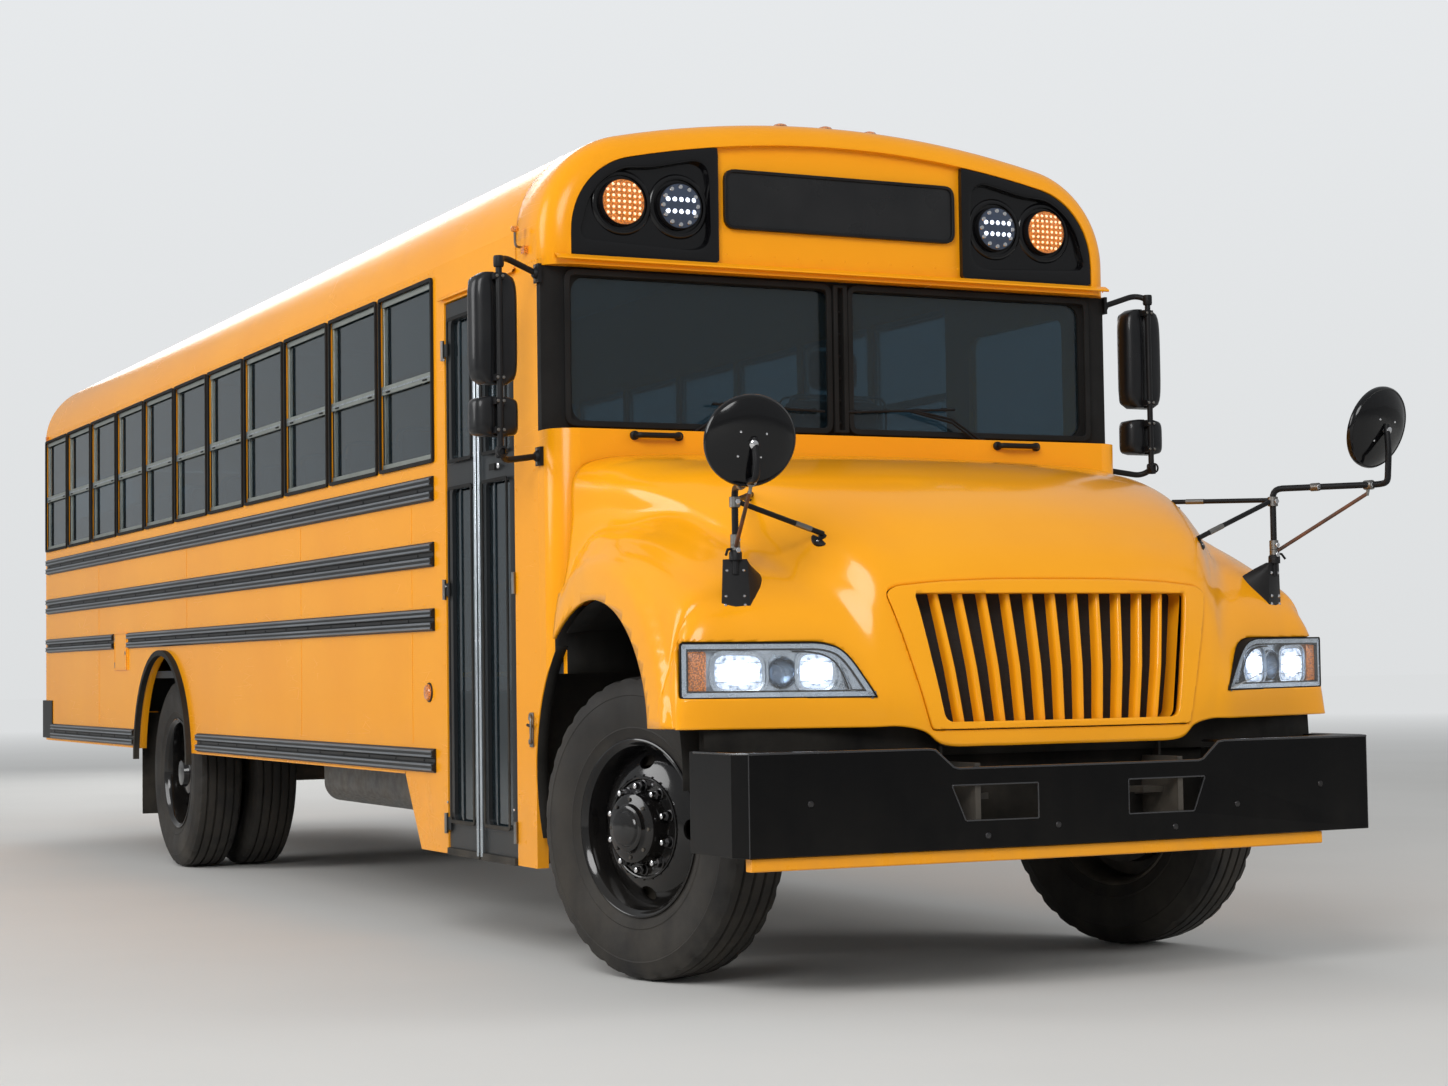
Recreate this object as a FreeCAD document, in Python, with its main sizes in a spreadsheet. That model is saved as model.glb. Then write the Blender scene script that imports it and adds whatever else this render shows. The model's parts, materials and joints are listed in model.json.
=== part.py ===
import FreeCAD, Part
import math
import os
import Sketcher

# A conventional (nose-engined) school bus.  Millimetres.  X forward, Y to the bus's left, Z up.
# The origin lies on the ground under the middle of the bus, so the body is symmetric about Y = 0.

doc = FreeCAD.newDocument("SchoolBus")
sheet = doc.addObject("Spreadsheet::Sheet", "Sizes")
V3 = FreeCAD.Vector
nodes = {}


# ---------------------------------------------------------------- driving dimensions

SIZES = (
    # alias, value, what it is
    ("body_width", 2438, "over the side walls"),
    ("body_length", 9180, "rear face to cowl face"),
    ("front_axle_x", 4250, "front axle ahead of the origin"),
    ("wheelbase", 6164, "front axle to rear axle"),
    ("cowl_setback", 350, "cowl face behind the front axle"),
    ("wall", 45, "thickness of every wall and of the roof"),
    ("skirt_z", 646, "lower edge of the side walls"),
    ("sill_z", 1910, "lower edge of the side windows"),
    ("window_top_z", 2645, "upper edge of the side windows"),
    ("window_pitch", 712, "post to post along the side"),
    ("window_count", 11, "side windows along one side"),
    ("post_width", 45, "yellow post between two windows"),
    ("window_setback", 1281, "front edge of the first window behind the cowl face"),
    ("eave_z", 2650, "where the wall line turns into the roof corner"),
    ("roof_joint_z", 2690, "where roof sheet and walls meet"),
    ("roof_corner", 390, "radius of the roof corner"),
    ("roof_z", 3130, "crest of the roof"),
    ("floor_z", 1090, "top of the floor"),
    ("floor_sheet", 40, "thickness of the floor"),
    ("end_radius", 110, "rounding of the front cap's edges"),
    ("rear_radius", 88, "rounding of the rear shell's edges"),
    ("end_depth", 92, "depth of the rear shell"),
    ("cap_length", 370, "front cap from joint to cowl face"),
    ("cap_setback", 50, "front cap's face behind the cowl face"),
    ("cap_bottom_z", 2530, "lower edge of the front cap"),
    ("cowl_top_z", 1930, "upper edge of the cowl"),
    ("cowl_return", 155, "depth of the cowl's side returns"),
    ("cowl_corner", 100, "radius of the cowl's upright corners"),
    ("windshield_setback", 120, "windshield plane behind the cowl face"),
    ("windshield_frame", 34, "visible width of the rubber and pillar round the glass"),
    ("windshield_post", 46, "centre post of the windshield"),
    ("glass", 6, "thickness of every pane"),
    ("door_setback", 397, "front edge of the entry door behind the cowl face"),
    ("door_width", 754, "entry doorway along X"),
    ("door_bottom_z", 347, "lower edge of the entry doorway"),
    ("door_top_z", 2527, "upper edge of the entry doorway"),
    ("door_gap", 6, "running gap round a door leaf"),
    ("door_leaf", 38, "thickness of an entry door leaf"),
    ("arch_radius", 590, "front wheel arch"),
    ("arch_z", 700, "centre height of the front wheel arch"),
    ("arch_lead", 30, "front arch centre ahead of the axle"),
    ("rear_arch_radius", 600, "rear wheel arch"),
    ("rear_arch_z", 585, "centre height of the rear wheel arch"),
    ("tyre_radius", 520, "tyre, unloaded"),
    ("tyre_width", 262, "tyre section"),
    ("rim_radius", 298, "rim flange"),
    ("bead_radius", 285, "rim barrel under the bead"),
    ("rim_width", 210, "rim over its flanges"),
    ("front_track", 2000, "between the middles of the front tyres"),
    ("kingpin_span", 1720, "between the kingpins"),
    ("steer_angle", 16, "front wheels as parked, turned left, degrees"),
    ("rear_outer_span", 2060, "between the middles of the outer rear tyres"),
    ("dual_spacing", 306, "between the two tyres of a pair"),
    ("rail_y", 430, "outer face of a frame rail from the middle"),
    ("rail_z", 620, "lower edge of the frame rails"),
    ("rail_height", 235, "height of the frame rails"),
    ("rail_flange", 80, "flange width of the frame rails"),
    ("rail_sheet", 9, "thickness of the frame rails"),
    ("bumper_reach", 1150, "front bumper's face ahead of the front axle"),
    ("bumper_z", 480, "lower edge of the front bumper"),
    ("bumper_height", 320, "height of the front bumper"),
    ("bumper_width", 2438, "over the front bumper's ends"),
    ("rear_bumper_reach", 120, "rear bumper behind the rear face"),
    ("rear_bumper_z", 660, "lower edge of the rear bumper"),
    ("rear_bumper_height", 250, "height of the rear bumper"),
    ("rear_bumper_wrap", 300, "how far the rear bumper's ends reach forward"),
    ("tow_eye_radius", 22, "tow eyes in the lugs of the bumper brackets"),
    ("hood_gap", 12, "seam between cowl and hood"),
    ("hood_bottom_z", 868, "lower edge of the hood and fenders"),
    ("hood_sheet", 12, "thickness of the hood shell"),
    ("hood_pin_radius", 12, "pins that the hood tilts on"),
    ("grille_bar", 42, "width of a grille bar"),
    ("grille_bars", 11, "upright bars in the grille"),
    ("rear_door_width", 960, "rear emergency doorway"),
    ("rear_door_top_z", 2480, "upper edge of the rear doorway"),
    ("hatch_size", 620, "roof hatch along X and Y"),
    ("running_gap", 0.3, "between faces that nearly touch"),
    ("kingpin_radius", 22, "kingpin"),
    ("spindle_radius", 42, "front wheel spindle"),
    ("axle_tube_radius", 62, "rear axle tube"),
    ("step_count", 3, "entry steps"),
    ("cap_recess", 30, "depth of the lamp recess in the front cap"),
    ("cap_recess_rim", 95, "width of the cap's rim round the recess"),
    ("panel_sheet", 12, "thickness of the black lamp panels"),
    ("warning_lamp_radius", 90, "roof warning lamp"),
    ("mirror_tube", 11, "radius of the mirror arms"),
    ("wheel_lean", 45, "slope of the steering column, degrees"),
    ("seat_pitch", 712, "passenger seat rows"),
    ("seat_rows", 11, "passenger seat rows on a side"),
)
for row, (alias, value, meaning) in enumerate(SIZES, start=1):
    sheet.set("A%d" % row, meaning)
    sheet.set("B%d" % row, str(value))
    sheet.setAlias("B%d" % row, alias)
doc.recompute()


class Size:
    """A length known both as a spreadsheet expression and as its present value."""

    def __init__(self, text, value):
        self.text = text
        self.value = value

    def join(self, sign, other, value):
        return Size("(%s %s %s)" % (self.text, sign, other.text), value)

    def __add__(self, other):
        other = as_size(other)
        return self.join("+", other, self.value + other.value)

    def __sub__(self, other):
        other = as_size(other)
        return self.join("-", other, self.value - other.value)

    def __mul__(self, other):
        other = as_size(other)
        return self.join("*", other, self.value * other.value)

    def __truediv__(self, other):
        other = as_size(other)
        return self.join("/", other, self.value / other.value)

    def __neg__(self):
        return Size("(0 - %s)" % self.text, -self.value)

    def __rtruediv__(self, other):
        return as_size(other) / self

    def __radd__(self, other):
        return as_size(other) + self

    def __rsub__(self, other):
        return as_size(other) - self

    def __rmul__(self, other):
        return as_size(other) * self


def as_size(number):
    if isinstance(number, Size):
        return number
    return Size(repr(float(number)), float(number))


def size_of(alias):
    return Size("Sizes." + alias, float(sheet.get(alias)))


class Dimensions:
    """Every alias of the sheet as an attribute."""

    def __init__(self):
        for alias, _, _ in SIZES:
            setattr(self, alias, size_of(alias))


d = Dimensions()

# places that several pieces share
half = d.body_width / 2
inner = half - d.wall
axle_x = d.front_axle_x
rear_axle_x = axle_x - d.wheelbase
axle_z = d.tyre_radius
cowl_x = axle_x - d.cowl_setback
rear_x = cowl_x - d.body_length
shell_x = rear_x + d.end_depth
wall_front_x = cowl_x - d.cowl_return
cap_joint_x = cowl_x - d.cap_length
cap_x = cowl_x - d.cap_setback
windshield_x = cowl_x - d.windshield_setback
door_front_x = cowl_x - d.door_setback
door_rear_x = door_front_x - d.door_width
first_window_x = cowl_x - d.window_setback
window_width = d.window_pitch - d.post_width
window_height = d.window_top_z - d.sill_z
floor_bottom_z = d.floor_z - d.floor_sheet
rail_top_z = d.rail_z + d.rail_height
bumper_x = axle_x + d.bumper_reach
kingpin_y = d.kingpin_span / 2
hood_x = cowl_x + d.hood_gap
arch_x = axle_x + d.arch_lead
gearbox_x = axle_x - 1230
tow_x, tow_z = bumper_x - 140, d.bumper_z + 150
rear_tow_x, rear_tow_z = rear_x - 50, d.rear_bumper_z - 40
hood_pivot_x, hood_pivot_z = bumper_x - 160, rail_top_z - 25
step_y = -inner + 12
step_depth = (inner - d.rail_y - 39) / d.step_count
well_y = step_y + step_depth * d.step_count + 25
seat_y = inner - 24
stop_arm_x, stop_arm_y = first_window_x + 120, half + 40
# radius of the shallow roof crown that runs smoothly into both roof corners
crown_rise = d.roof_z - d.eave_z
corner_y = half - d.roof_corner
crown_radius = (corner_y * corner_y + crown_rise * crown_rise - d.roof_corner * d.roof_corner) / (
    2 * (crown_rise - d.roof_corner)
)


# front bumper: how far its ends sweep back, half its flat middle, its corner and its sheet
BUMPER_SWEEP, BUMPER_FLAT, BUMPER_CORNER, BUMPER_SHEET = 40, 200, 29, 8
# tow lugs: half their length along X, thickness, and how far their hole is inside the bracket
TOW_REACH, TOW_LUG, TOW_INSIDE = 40, 20, 90
# reach of the steering arms behind the kingpins, their thickness, and the spindles' ends
ARM_REACH, ARM_SHEET = 190, 24
spindle_end = 205
# the rear axle's pinion flange ahead of the axle
PINION_REACH = 350
# roof hatches: distances behind the cowl face, corner radius, overlap, height, hinge and its pin
HATCH_BACKS = (2600, 6900)
HATCH_CORNER, HATCH_OVERLAP, HATCH_HEIGHT, HATCH_HINGE_OUT, HATCH_PIN = 46, 30, 40, 12, 5
hatch_hinge_z = d.roof_z + 10
rear_window_y = (half - 649, half - 209)
# hinge axes outside the skin, and where a strap that starts at its barrel begins beside the axis
HINGE_OUT = 12
strap_start = 10.5
ENTRY_HINGE_OUT = 8
ENTRY_STRAP_START = 7
entry_hinge_y = -half - ENTRY_HINGE_OUT


def span(side, near, far):
    """The two ends of a stretch on the given side of the middle, lower one first."""
    near, far = as_size(near), as_size(far)
    return (near, far) if side > 0 else (-far, -near)


def ordered(a, b):
    return (a, b) if a.value < b.value else (b, a)


def roof_height(y):
    """Height of the roof's crown at a distance from the middle."""
    return d.roof_z - y * y / (2 * crown_radius)


def rear_hinge_levels(above):
    return [d.floor_z + z + above for z in (80, 620, 1180)]


def entry_hinge_levels(above):
    return [d.door_bottom_z + z + above for z in (80, 1000, 1950)]


# ---------------------------------------------------------------- drawing helpers

PLANE_ROLES = {"XY": "XY_Plane", "XZ": "XZ_Plane", "YZ": "YZ_Plane"}
# the way a plane's own normal points along the third axis
NORMAL_SIGN = {"XY": 1, "XZ": -1, "YZ": 1}


def origin_feature(body, role):
    for feature in body.Origin.OriginFeatures:
        if feature.Role == role:
            return feature
    raise RuntimeError("no " + role)


def new_body(name):
    body = doc.addObject("PartDesign::Body", name + "_body")
    return body


def keep(node, obj):
    """Name the object that stands for one node."""
    obj.Label = node
    nodes[node] = obj
    return obj


def new_sketch(body, plane, level):
    sketch = body.newObject("Sketcher::SketchObject", "Sketch")
    sketch.AttachmentSupport = [(origin_feature(body, PLANE_ROLES[plane]), "")]
    sketch.MapMode = "FlatFace"
    level = as_size(level)
    signed = level if NORMAL_SIGN[plane] > 0 else -level
    sketch.setExpression("AttachmentOffset.Base.z", signed.text)
    return sketch


def arc_middle(start, end, radius, side):
    """Middle point of the arc from start to end, bulging to the left (side 1) or right (-1)."""
    chord = end - start
    centre = (start + end) * 0.5
    left = V3(-chord.y, chord.x, 0).normalize()
    sagitta = radius - math.sqrt(max(radius * radius - chord.Length ** 2 / 4, 0))
    return centre + left * (side * sagitta)


def draw_outline(sketch, points):
    """A closed outline.  Each point is (a, b), or (a, b, radius, side) where an arc follows it."""
    points = [tuple(as_size(v) for v in p) for p in points]
    spots = [V3(p[0].value, p[1].value, 0) for p in points]
    first = sketch.GeometryCount
    starts = []
    for index, point in enumerate(points):
        begin = spots[index]
        end = spots[(index + 1) % len(points)]
        if len(point) == 4:
            middle = arc_middle(begin, end, point[2].value, point[3].value)
            edge = Part.Arc(begin, middle, end)
        else:
            edge = Part.LineSegment(begin, end)
        number = sketch.addGeometry(edge, False)
        near = sketch.getPoint(number, 1).distanceToPoint(begin)
        far = sketch.getPoint(number, 2).distanceToPoint(begin)
        starts.append(1 if near <= far else 2)
    for index, point in enumerate(points):
        number = first + index
        following = (index + 1) % len(points)
        sketch.addConstraint(
            Sketcher.Constraint(
                "Coincident", number, 3 - starts[index], first + following, starts[following]
            )
        )
        for kind, value in (("DistanceX", point[0]), ("DistanceY", point[1])):
            which = sketch.addConstraint(
                Sketcher.Constraint(kind, -1, 1, number, starts[index], value.value)
            )
            sketch.setExpression("Constraints[%d]" % which, value.text)
        if len(point) == 4:
            which = sketch.addConstraint(Sketcher.Constraint("Radius", number, point[2].value))
            sketch.setExpression("Constraints[%d]" % which, point[2].text)


def draw_circle(sketch, a, b, radius):
    a, b, radius = as_size(a), as_size(b), as_size(radius)
    circle = Part.Circle(V3(a.value, b.value, 0), V3(0, 0, 1), radius.value)
    number = sketch.addGeometry(circle, False)
    for kind, value in (("DistanceX", a), ("DistanceY", b)):
        which = sketch.addConstraint(Sketcher.Constraint(kind, -1, 1, number, 3, value.value))
        sketch.setExpression("Constraints[%d]" % which, value.text)
    which = sketch.addConstraint(Sketcher.Constraint("Radius", number, radius.value))
    sketch.setExpression("Constraints[%d]" % which, radius.text)


def draw(sketch, shapes):
    """shapes: outlines as lists of points, and circles as (a, b, radius) tuples."""
    for shape in shapes:
        if isinstance(shape, tuple):
            draw_circle(sketch, *shape)
        else:
            draw_outline(sketch, shape)


def pad(body, plane, shapes, low, high):
    low, high = as_size(low), as_size(high)
    sketch = new_sketch(body, plane, low if NORMAL_SIGN[plane] > 0 else high)
    draw(sketch, shapes)
    feature = body.newObject("PartDesign::Pad", "Pad")
    feature.Profile = sketch
    feature.setExpression("Length", (high - low).text)
    body.Tip = feature
    return feature


def pocket(body, plane, shapes, low, high):
    doc.recompute()
    before = body.Shape.Volume
    low, high = as_size(low), as_size(high)
    sketch = new_sketch(body, plane, high if NORMAL_SIGN[plane] > 0 else low)
    draw(sketch, shapes)
    feature = body.newObject("PartDesign::Pocket", "Pocket")
    feature.Profile = sketch
    feature.setExpression("Length", (high - low).text)
    body.Tip = feature
    doc.recompute()
    if body.Shape.Volume >= before:
        raise RuntimeError("a pocket in %s cuts nothing" % body.Name)
    return feature


def repeat(body, feature, axis, pitch, count, backwards=False):
    """A row of the feature along an axis of the body."""
    pitch, count = as_size(pitch), as_size(count)
    pattern = body.newObject("PartDesign::LinearPattern", "Row")
    pattern.Originals = [feature]
    pattern.Direction = (origin_feature(body, axis + "_Axis"), [""])
    pattern.Reversed = backwards
    pattern.setExpression("Occurrences", count.text)
    pattern.setExpression("Length", (pitch * (count - 1)).text)
    body.Tip = pattern
    return pattern


def mirrored(body, features, plane):
    feature = body.newObject("PartDesign::Mirrored", "Mirrored")
    feature.Originals = features
    feature.MirrorPlane = (origin_feature(body, PLANE_ROLES[plane]), [""])
    body.Tip = feature
    return feature


def fillet(body, radius, wanted):
    """Round the edges of the body that the wanted test accepts."""
    doc.recompute()
    base = body.Tip
    names = [
        "Edge%d" % (i + 1) for i, edge in enumerate(base.Shape.Edges) if wanted(edge)
    ]
    feature = body.newObject("PartDesign::Fillet", "Fillet")
    feature.Base = (base, names)
    feature.setExpression("Radius", as_size(radius).text)
    body.Tip = feature
    doc.recompute()
    return feature


def revolve(body, points, axis="Y"):
    """A full turn of an outline drawn in the XY plane (a = radius along X, b = along Y)."""
    sketch = new_sketch(body, "XY", 0)
    draw_outline(sketch, points)
    feature = body.newObject("PartDesign::Revolution", "Revolution")
    feature.Profile = sketch
    feature.ReferenceAxis = (origin_feature(body, axis + "_Axis"), [""])
    feature.Angle = 360
    body.Tip = feature
    return feature


def bind_place(obj, x, y, z):
    for letter, value in zip("xyz", (x, y, z)):
        obj.setExpression("Placement.Base." + letter, as_size(value).text)


def box(x, y, z):
    """A block between the two ends given for each axis."""
    x, y, z = [[as_size(v) for v in pair] for pair in (x, y, z)]
    obj = doc.addObject("Part::Box", "Box")
    obj.setExpression("Length", (x[1] - x[0]).text)
    obj.setExpression("Width", (y[1] - y[0]).text)
    obj.setExpression("Height", (z[1] - z[0]).text)
    bind_place(obj, x[0], y[0], z[0])
    return obj


TURN_TO = {"X": (V3(0, 1, 0), 90), "Y": (V3(1, 0, 0), -90), "Z": (V3(0, 0, 1), 0)}


def cylinder(axis, radius, x, y, z, length):
    """A round bar from the point (x, y, z) along +X, +Y or +Z."""
    obj = doc.addObject("Part::Cylinder", "Cylinder")
    obj.Placement = FreeCAD.Placement(V3(0, 0, 0), FreeCAD.Rotation(*TURN_TO[axis]))
    obj.setExpression("Radius", as_size(radius).text)
    obj.setExpression("Height", as_size(length).text)
    bind_place(obj, x, y, z)
    return obj


def fuse(parts):
    obj = doc.addObject("Part::MultiFuse", "Fuse")
    obj.Shapes = parts
    return obj


def cut(base, tool):
    obj = doc.addObject("Part::Cut", "Cut")
    obj.Base = base
    obj.Tool = tool
    return obj


def group(parts):
    obj = doc.addObject("Part::Compound", "Compound")
    obj.Links = parts
    return obj


def mirror(part, normal=V3(0, 1, 0)):
    obj = doc.addObject("Part::Mirroring", "Mirror")
    obj.Source = part
    obj.Normal = normal
    return obj


def both_sides(part):
    return [part, mirror(part)]


def feature(shape):
    obj = doc.addObject("Part::Feature", "Solid")
    obj.Shape = shape
    return obj


def rod(start, end, radius):
    """A straight round bar between two points."""
    start = V3(*[as_size(v).value for v in start])
    end = V3(*[as_size(v).value for v in end])
    radius = as_size(radius).value
    return Part.makeCylinder(radius, start.distanceToPoint(end), start, end - start)


def bent_tube(points, radius, bend):
    """A round bar: straight runs joined by tangent arcs of the bend radius."""
    points = [V3(*[as_size(v).value for v in point]) for point in points]
    radius = as_size(radius).value
    pieces = []
    last = points[0]
    for before, corner, after in zip(points, points[1:], points[2:]):
        inward = (before - corner).normalize()
        onward = (after - corner).normalize()
        turn = math.pi - inward.getAngle(onward)
        begin = corner + inward * (bend * math.tan(turn / 2))
        end = corner + onward * (bend * math.tan(turn / 2))
        pieces.append(rod(tuple(last), tuple(begin), radius))
        centre = corner + (inward + onward).normalize() * (bend / math.cos(turn / 2))
        disc = Part.Face(Part.Wire(Part.makeCircle(radius, begin, inward)))
        axis = (begin - centre).cross(end - centre).normalize()
        pieces.append(disc.revolve(centre, axis, math.degrees(turn)))
        last = end
    pieces.append(rod(tuple(last), tuple(points[-1]), radius))
    return pieces[0].fuse(pieces[1:])


def rectangle(a0, b0, a1, b1):
    return [(a0, b0), (a1, b0), (a1, b1), (a0, b1)]


def rounded(a0, b0, a1, b1, radius):
    """A rectangle with round corners, run counter-clockwise."""
    a0, b0, a1, b1, radius = [as_size(v) for v in (a0, b0, a1, b1, radius)]
    return [
        (a0 + radius, b0),
        (a1 - radius, b0, radius, -1),
        (a1, b0 + radius),
        (a1, b1 - radius, radius, -1),
        (a1 - radius, b1),
        (a0 + radius, b1, radius, -1),
        (a0, b1 - radius),
        (a0, b0 + radius, radius, -1),
    ]


def roof_outline(bottom, inset=0):
    """The body's cross-section above a level, offset inward by inset.  a = Y, b = Z."""
    inset = as_size(inset)
    side = half - inset
    corner = d.roof_corner - inset
    crown = crown_radius - inset
    # the corner arc meets the crown where both centres line up
    reach = crown_radius - d.roof_corner
    meet_y = corner_y * crown / reach
    drop = crown_radius - crown_rise
    meet_z = d.eave_z - drop + drop * crown / reach
    return [
        (-side, bottom),
        (side, bottom),
        (side, d.eave_z, corner, -1),
        (meet_y, meet_z, crown, -1),
        (-meet_y, meet_z, corner, -1),
        (-side, d.eave_z),
    ]


# ---------------------------------------------------------------- chassis


def bumper_back(y):
    """Inner side of the front bumper's face at a distance y from the middle."""
    slope = BUMPER_SWEEP / (d.bumper_width / 2 - BUMPER_CORNER - BUMPER_FLAT)
    return bumper_x - BUMPER_SHEET - slope * (y - BUMPER_FLAT)


def tow_lug(side, x, z):
    """A flat lug that a tow bracket carries on its inner side."""
    return box((x - TOW_REACH, x + TOW_REACH), span(side, d.rail_y - 130, d.rail_y - 35), (z, z + TOW_LUG))


def tow_hole(side, x, z):
    """The upright hole through that lug."""
    return cylinder("Z", d.tow_eye_radius, x, side * (d.rail_y - TOW_INSIDE), z - 5, TOW_LUG + 10)


def chassis_frame():
    front_x = bumper_x - 180
    web = d.rail_y - d.rail_sheet
    flange = d.rail_y - d.rail_flange
    top, low = rail_top_z, d.rail_z
    section = [
        (-d.rail_y, low),
        (-flange, low),
        (-flange, low + d.rail_sheet),
        (-web, low + d.rail_sheet),
        (-web, top - d.rail_sheet),
        (-flange, top - d.rail_sheet),
        (-flange, top),
        (-d.rail_y, top),
    ]
    rail = new_body("rail")
    pad(rail, "YZ", [section], rear_x + 60, front_x)
    parts = both_sides(rail)
    # cross members stand between the webs, over the drive shaft:
    # distance behind the front axle, width along X
    for back, width in ((-780, 90), (1360, 60), (2700, 60), (4300, 60), (7300, 60), (9200, 90)):
        x = axle_x - back
        parts.append(box((x, x + width), (-web, web), (top - 70, top - d.rail_sheet)))
    holes = []
    for side in (-1, 1):
        # plates that carry the front bumper, each with a tow lug
        low_y, high_y = span(side, d.rail_y - 50, d.rail_y - 30)
        end = bumper_back(d.rail_y - 30) - d.running_gap
        parts.append(box((front_x - 120, end), (low_y, high_y), (d.bumper_z + 60, top - 105)))
        low_y, high_y = span(side, d.rail_y - 60, d.rail_y)
        parts.append(box((front_x - 60, front_x), (low_y, high_y), (low, low + d.rail_sheet)))
        parts.append(tow_lug(side, tow_x, tow_z))
        holes.append(tow_hole(side, tow_x, tow_z))
        # horn and pin that the hood tilts on
        low_y, high_y = span(side, d.rail_y - 25, d.rail_y)
        parts.append(box((front_x - 70, hood_pivot_x), (low_y, high_y), (top - 55, hood_pivot_z + 30)))
        parts.append(cylinder("Y", 30, hood_pivot_x, low_y, hood_pivot_z, 25))
        low_y, high_y = span(side, d.rail_y - 25, d.rail_y + 30)
        parts.append(cylinder("Y", d.hood_pin_radius, hood_pivot_x, low_y, hood_pivot_z, 55))
    keep("chassis_frame", cut(fuse(parts), group(holes)))


def front_bumper():
    face, half_width = bumper_x, d.bumper_width / 2
    depth, flange, return_depth = 400, 70, 60
    end_x = face - depth

    def plan(inset, back):
        wide = half_width - inset
        shoulder = face - BUMPER_SWEEP - inset
        return [
            (end_x - back, -wide),
            (shoulder - return_depth, -wide),
            (shoulder, -wide + BUMPER_CORNER),
            (face - inset, -BUMPER_FLAT),
            (face - inset, BUMPER_FLAT),
            (shoulder, wide - BUMPER_CORNER),
            (shoulder - return_depth, wide),
            (end_x - back, wide),
        ]

    low, top = d.bumper_z, d.bumper_z + d.bumper_height
    body = new_body("front_bumper")
    pad(body, "XY", [plan(0, 0)], low, top)
    # a channel: face and two flanges, open behind
    pocket(body, "XY", [plan(BUMPER_SHEET, 1)], low + BUMPER_SHEET, top - BUMPER_SHEET)
    shoulder = face - BUMPER_SWEEP - return_depth - flange
    pocket(body, "XY", [[
        (end_x - 1, -half_width + flange),
        (shoulder, -half_width + flange),
        (face - flange, -BUMPER_FLAT),
        (face - flange, BUMPER_FLAT),
        (shoulder, half_width - flange),
        (end_x - 1, half_width - flange),
    ]], low - 1, top + 1)
    # dip in the middle of the upper edge
    notch, slant, dip = 550, 75, 65
    pocket(body, "YZ", [[
        (-notch, top + 1),
        (-notch + slant, top - dip),
        (notch - slant, top - dip),
        (notch, top + 1),
    ]], end_x, face + 1)
    # slots for the tow eyes and the number plate's lamps
    slots = []
    for side in (-1, 1):
        slots.append([
            (side * 174, low + 87),
            (side * 440, low + 87),
            (side * 489, low + 204),
            (side * 174, low + 204),
        ])
    pocket(body, "YZ", slots, face - 60, face + 1)
    keep("front_bumper", body)


def rear_bumper():
    low = d.rear_bumper_z
    top = low + d.rear_bumper_height
    face = rear_x - d.rear_bumper_reach
    reach = half + 6
    front = rear_x + d.rear_bumper_wrap
    sheet_width, corner = 10, 110

    def plan(inset, extra):
        wide = reach - inset
        back = face + inset
        radius = corner - inset
        return [
            (front + extra, -wide),
            (front + extra, wide),
            (back + radius, wide, radius, 1),
            (back, wide - radius),
            (back, -wide + radius, radius, 1),
            (back + radius, -wide),
        ]

    body = new_body("rear_bumper")
    pad(body, "XY", [plan(0, 0)], low, top)
    pocket(body, "XY", [plan(sheet_width, 1)], low + sheet_width, top - sheet_width)
    pocket(body, "XY", [rectangle(rear_x, -half - d.running_gap, front + 1, half + d.running_gap)],
           low - 1, top + 1)
    brackets, holes = [], []
    for side in (-1, 1):
        low_y, high_y = span(side, d.rail_y - 40, d.rail_y)
        brackets.append(box((face + sheet_width, rear_x + 60), (low_y, high_y), (low + 20, top - 60)))
        # the tow lug hangs under the bumper on a web that runs up into the bracket
        web = span(side, d.rail_y - 40, d.rail_y - 20)
        brackets.append(box((rear_tow_x - TOW_REACH, rear_tow_x + TOW_REACH), web, (rear_tow_z, low + 25)))
        brackets.append(tow_lug(side, rear_tow_x, rear_tow_z))
        holes.append(tow_hole(side, rear_tow_x, rear_tow_z))
    keep("rear_bumper", cut(fuse([body] + brackets), group(holes)))


def leaf_springs():
    """A pack of leaves over each axle, outside the rails, with its hangers."""
    parts = []
    leaf, tip = 14, 0.45
    # axle, half length, pack height, camber, underside over the axle's centre
    for at_x, reach, pack, camber, underside in (
        (axle_x, 620, 48, 60, 27),
        (rear_axle_x, 700, 70, 70, d.axle_tube_radius + 2),
    ):
        base = axle_z + underside + pack
        radius = (reach * reach + camber * camber) / (2.0 * camber)
        body = new_body("spring")
        pad(body, "XZ", [[
            (at_x - reach, base + camber, radius, -1),
            (at_x + reach, base + camber),
            (at_x + reach, base + camber - leaf),
            (at_x + reach * tip, base - 2),
            (at_x + 120, base - pack),
            (at_x - 120, base - pack),
            (at_x - reach * tip, base - 2),
            (at_x - reach, base + camber - leaf),
        ]], -d.rail_y - 82, -d.rail_y - 2)
        parts += both_sides(body)
        for end in (-1, 1):
            x = at_x + end * (reach - 20)
            parts += both_sides(
                box((x - 30, x + 30), (-d.rail_y - 70, -d.rail_y), (base + camber - leaf, rail_top_z - 30))
            )
    keep("leaf_springs", fuse(parts))


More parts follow.
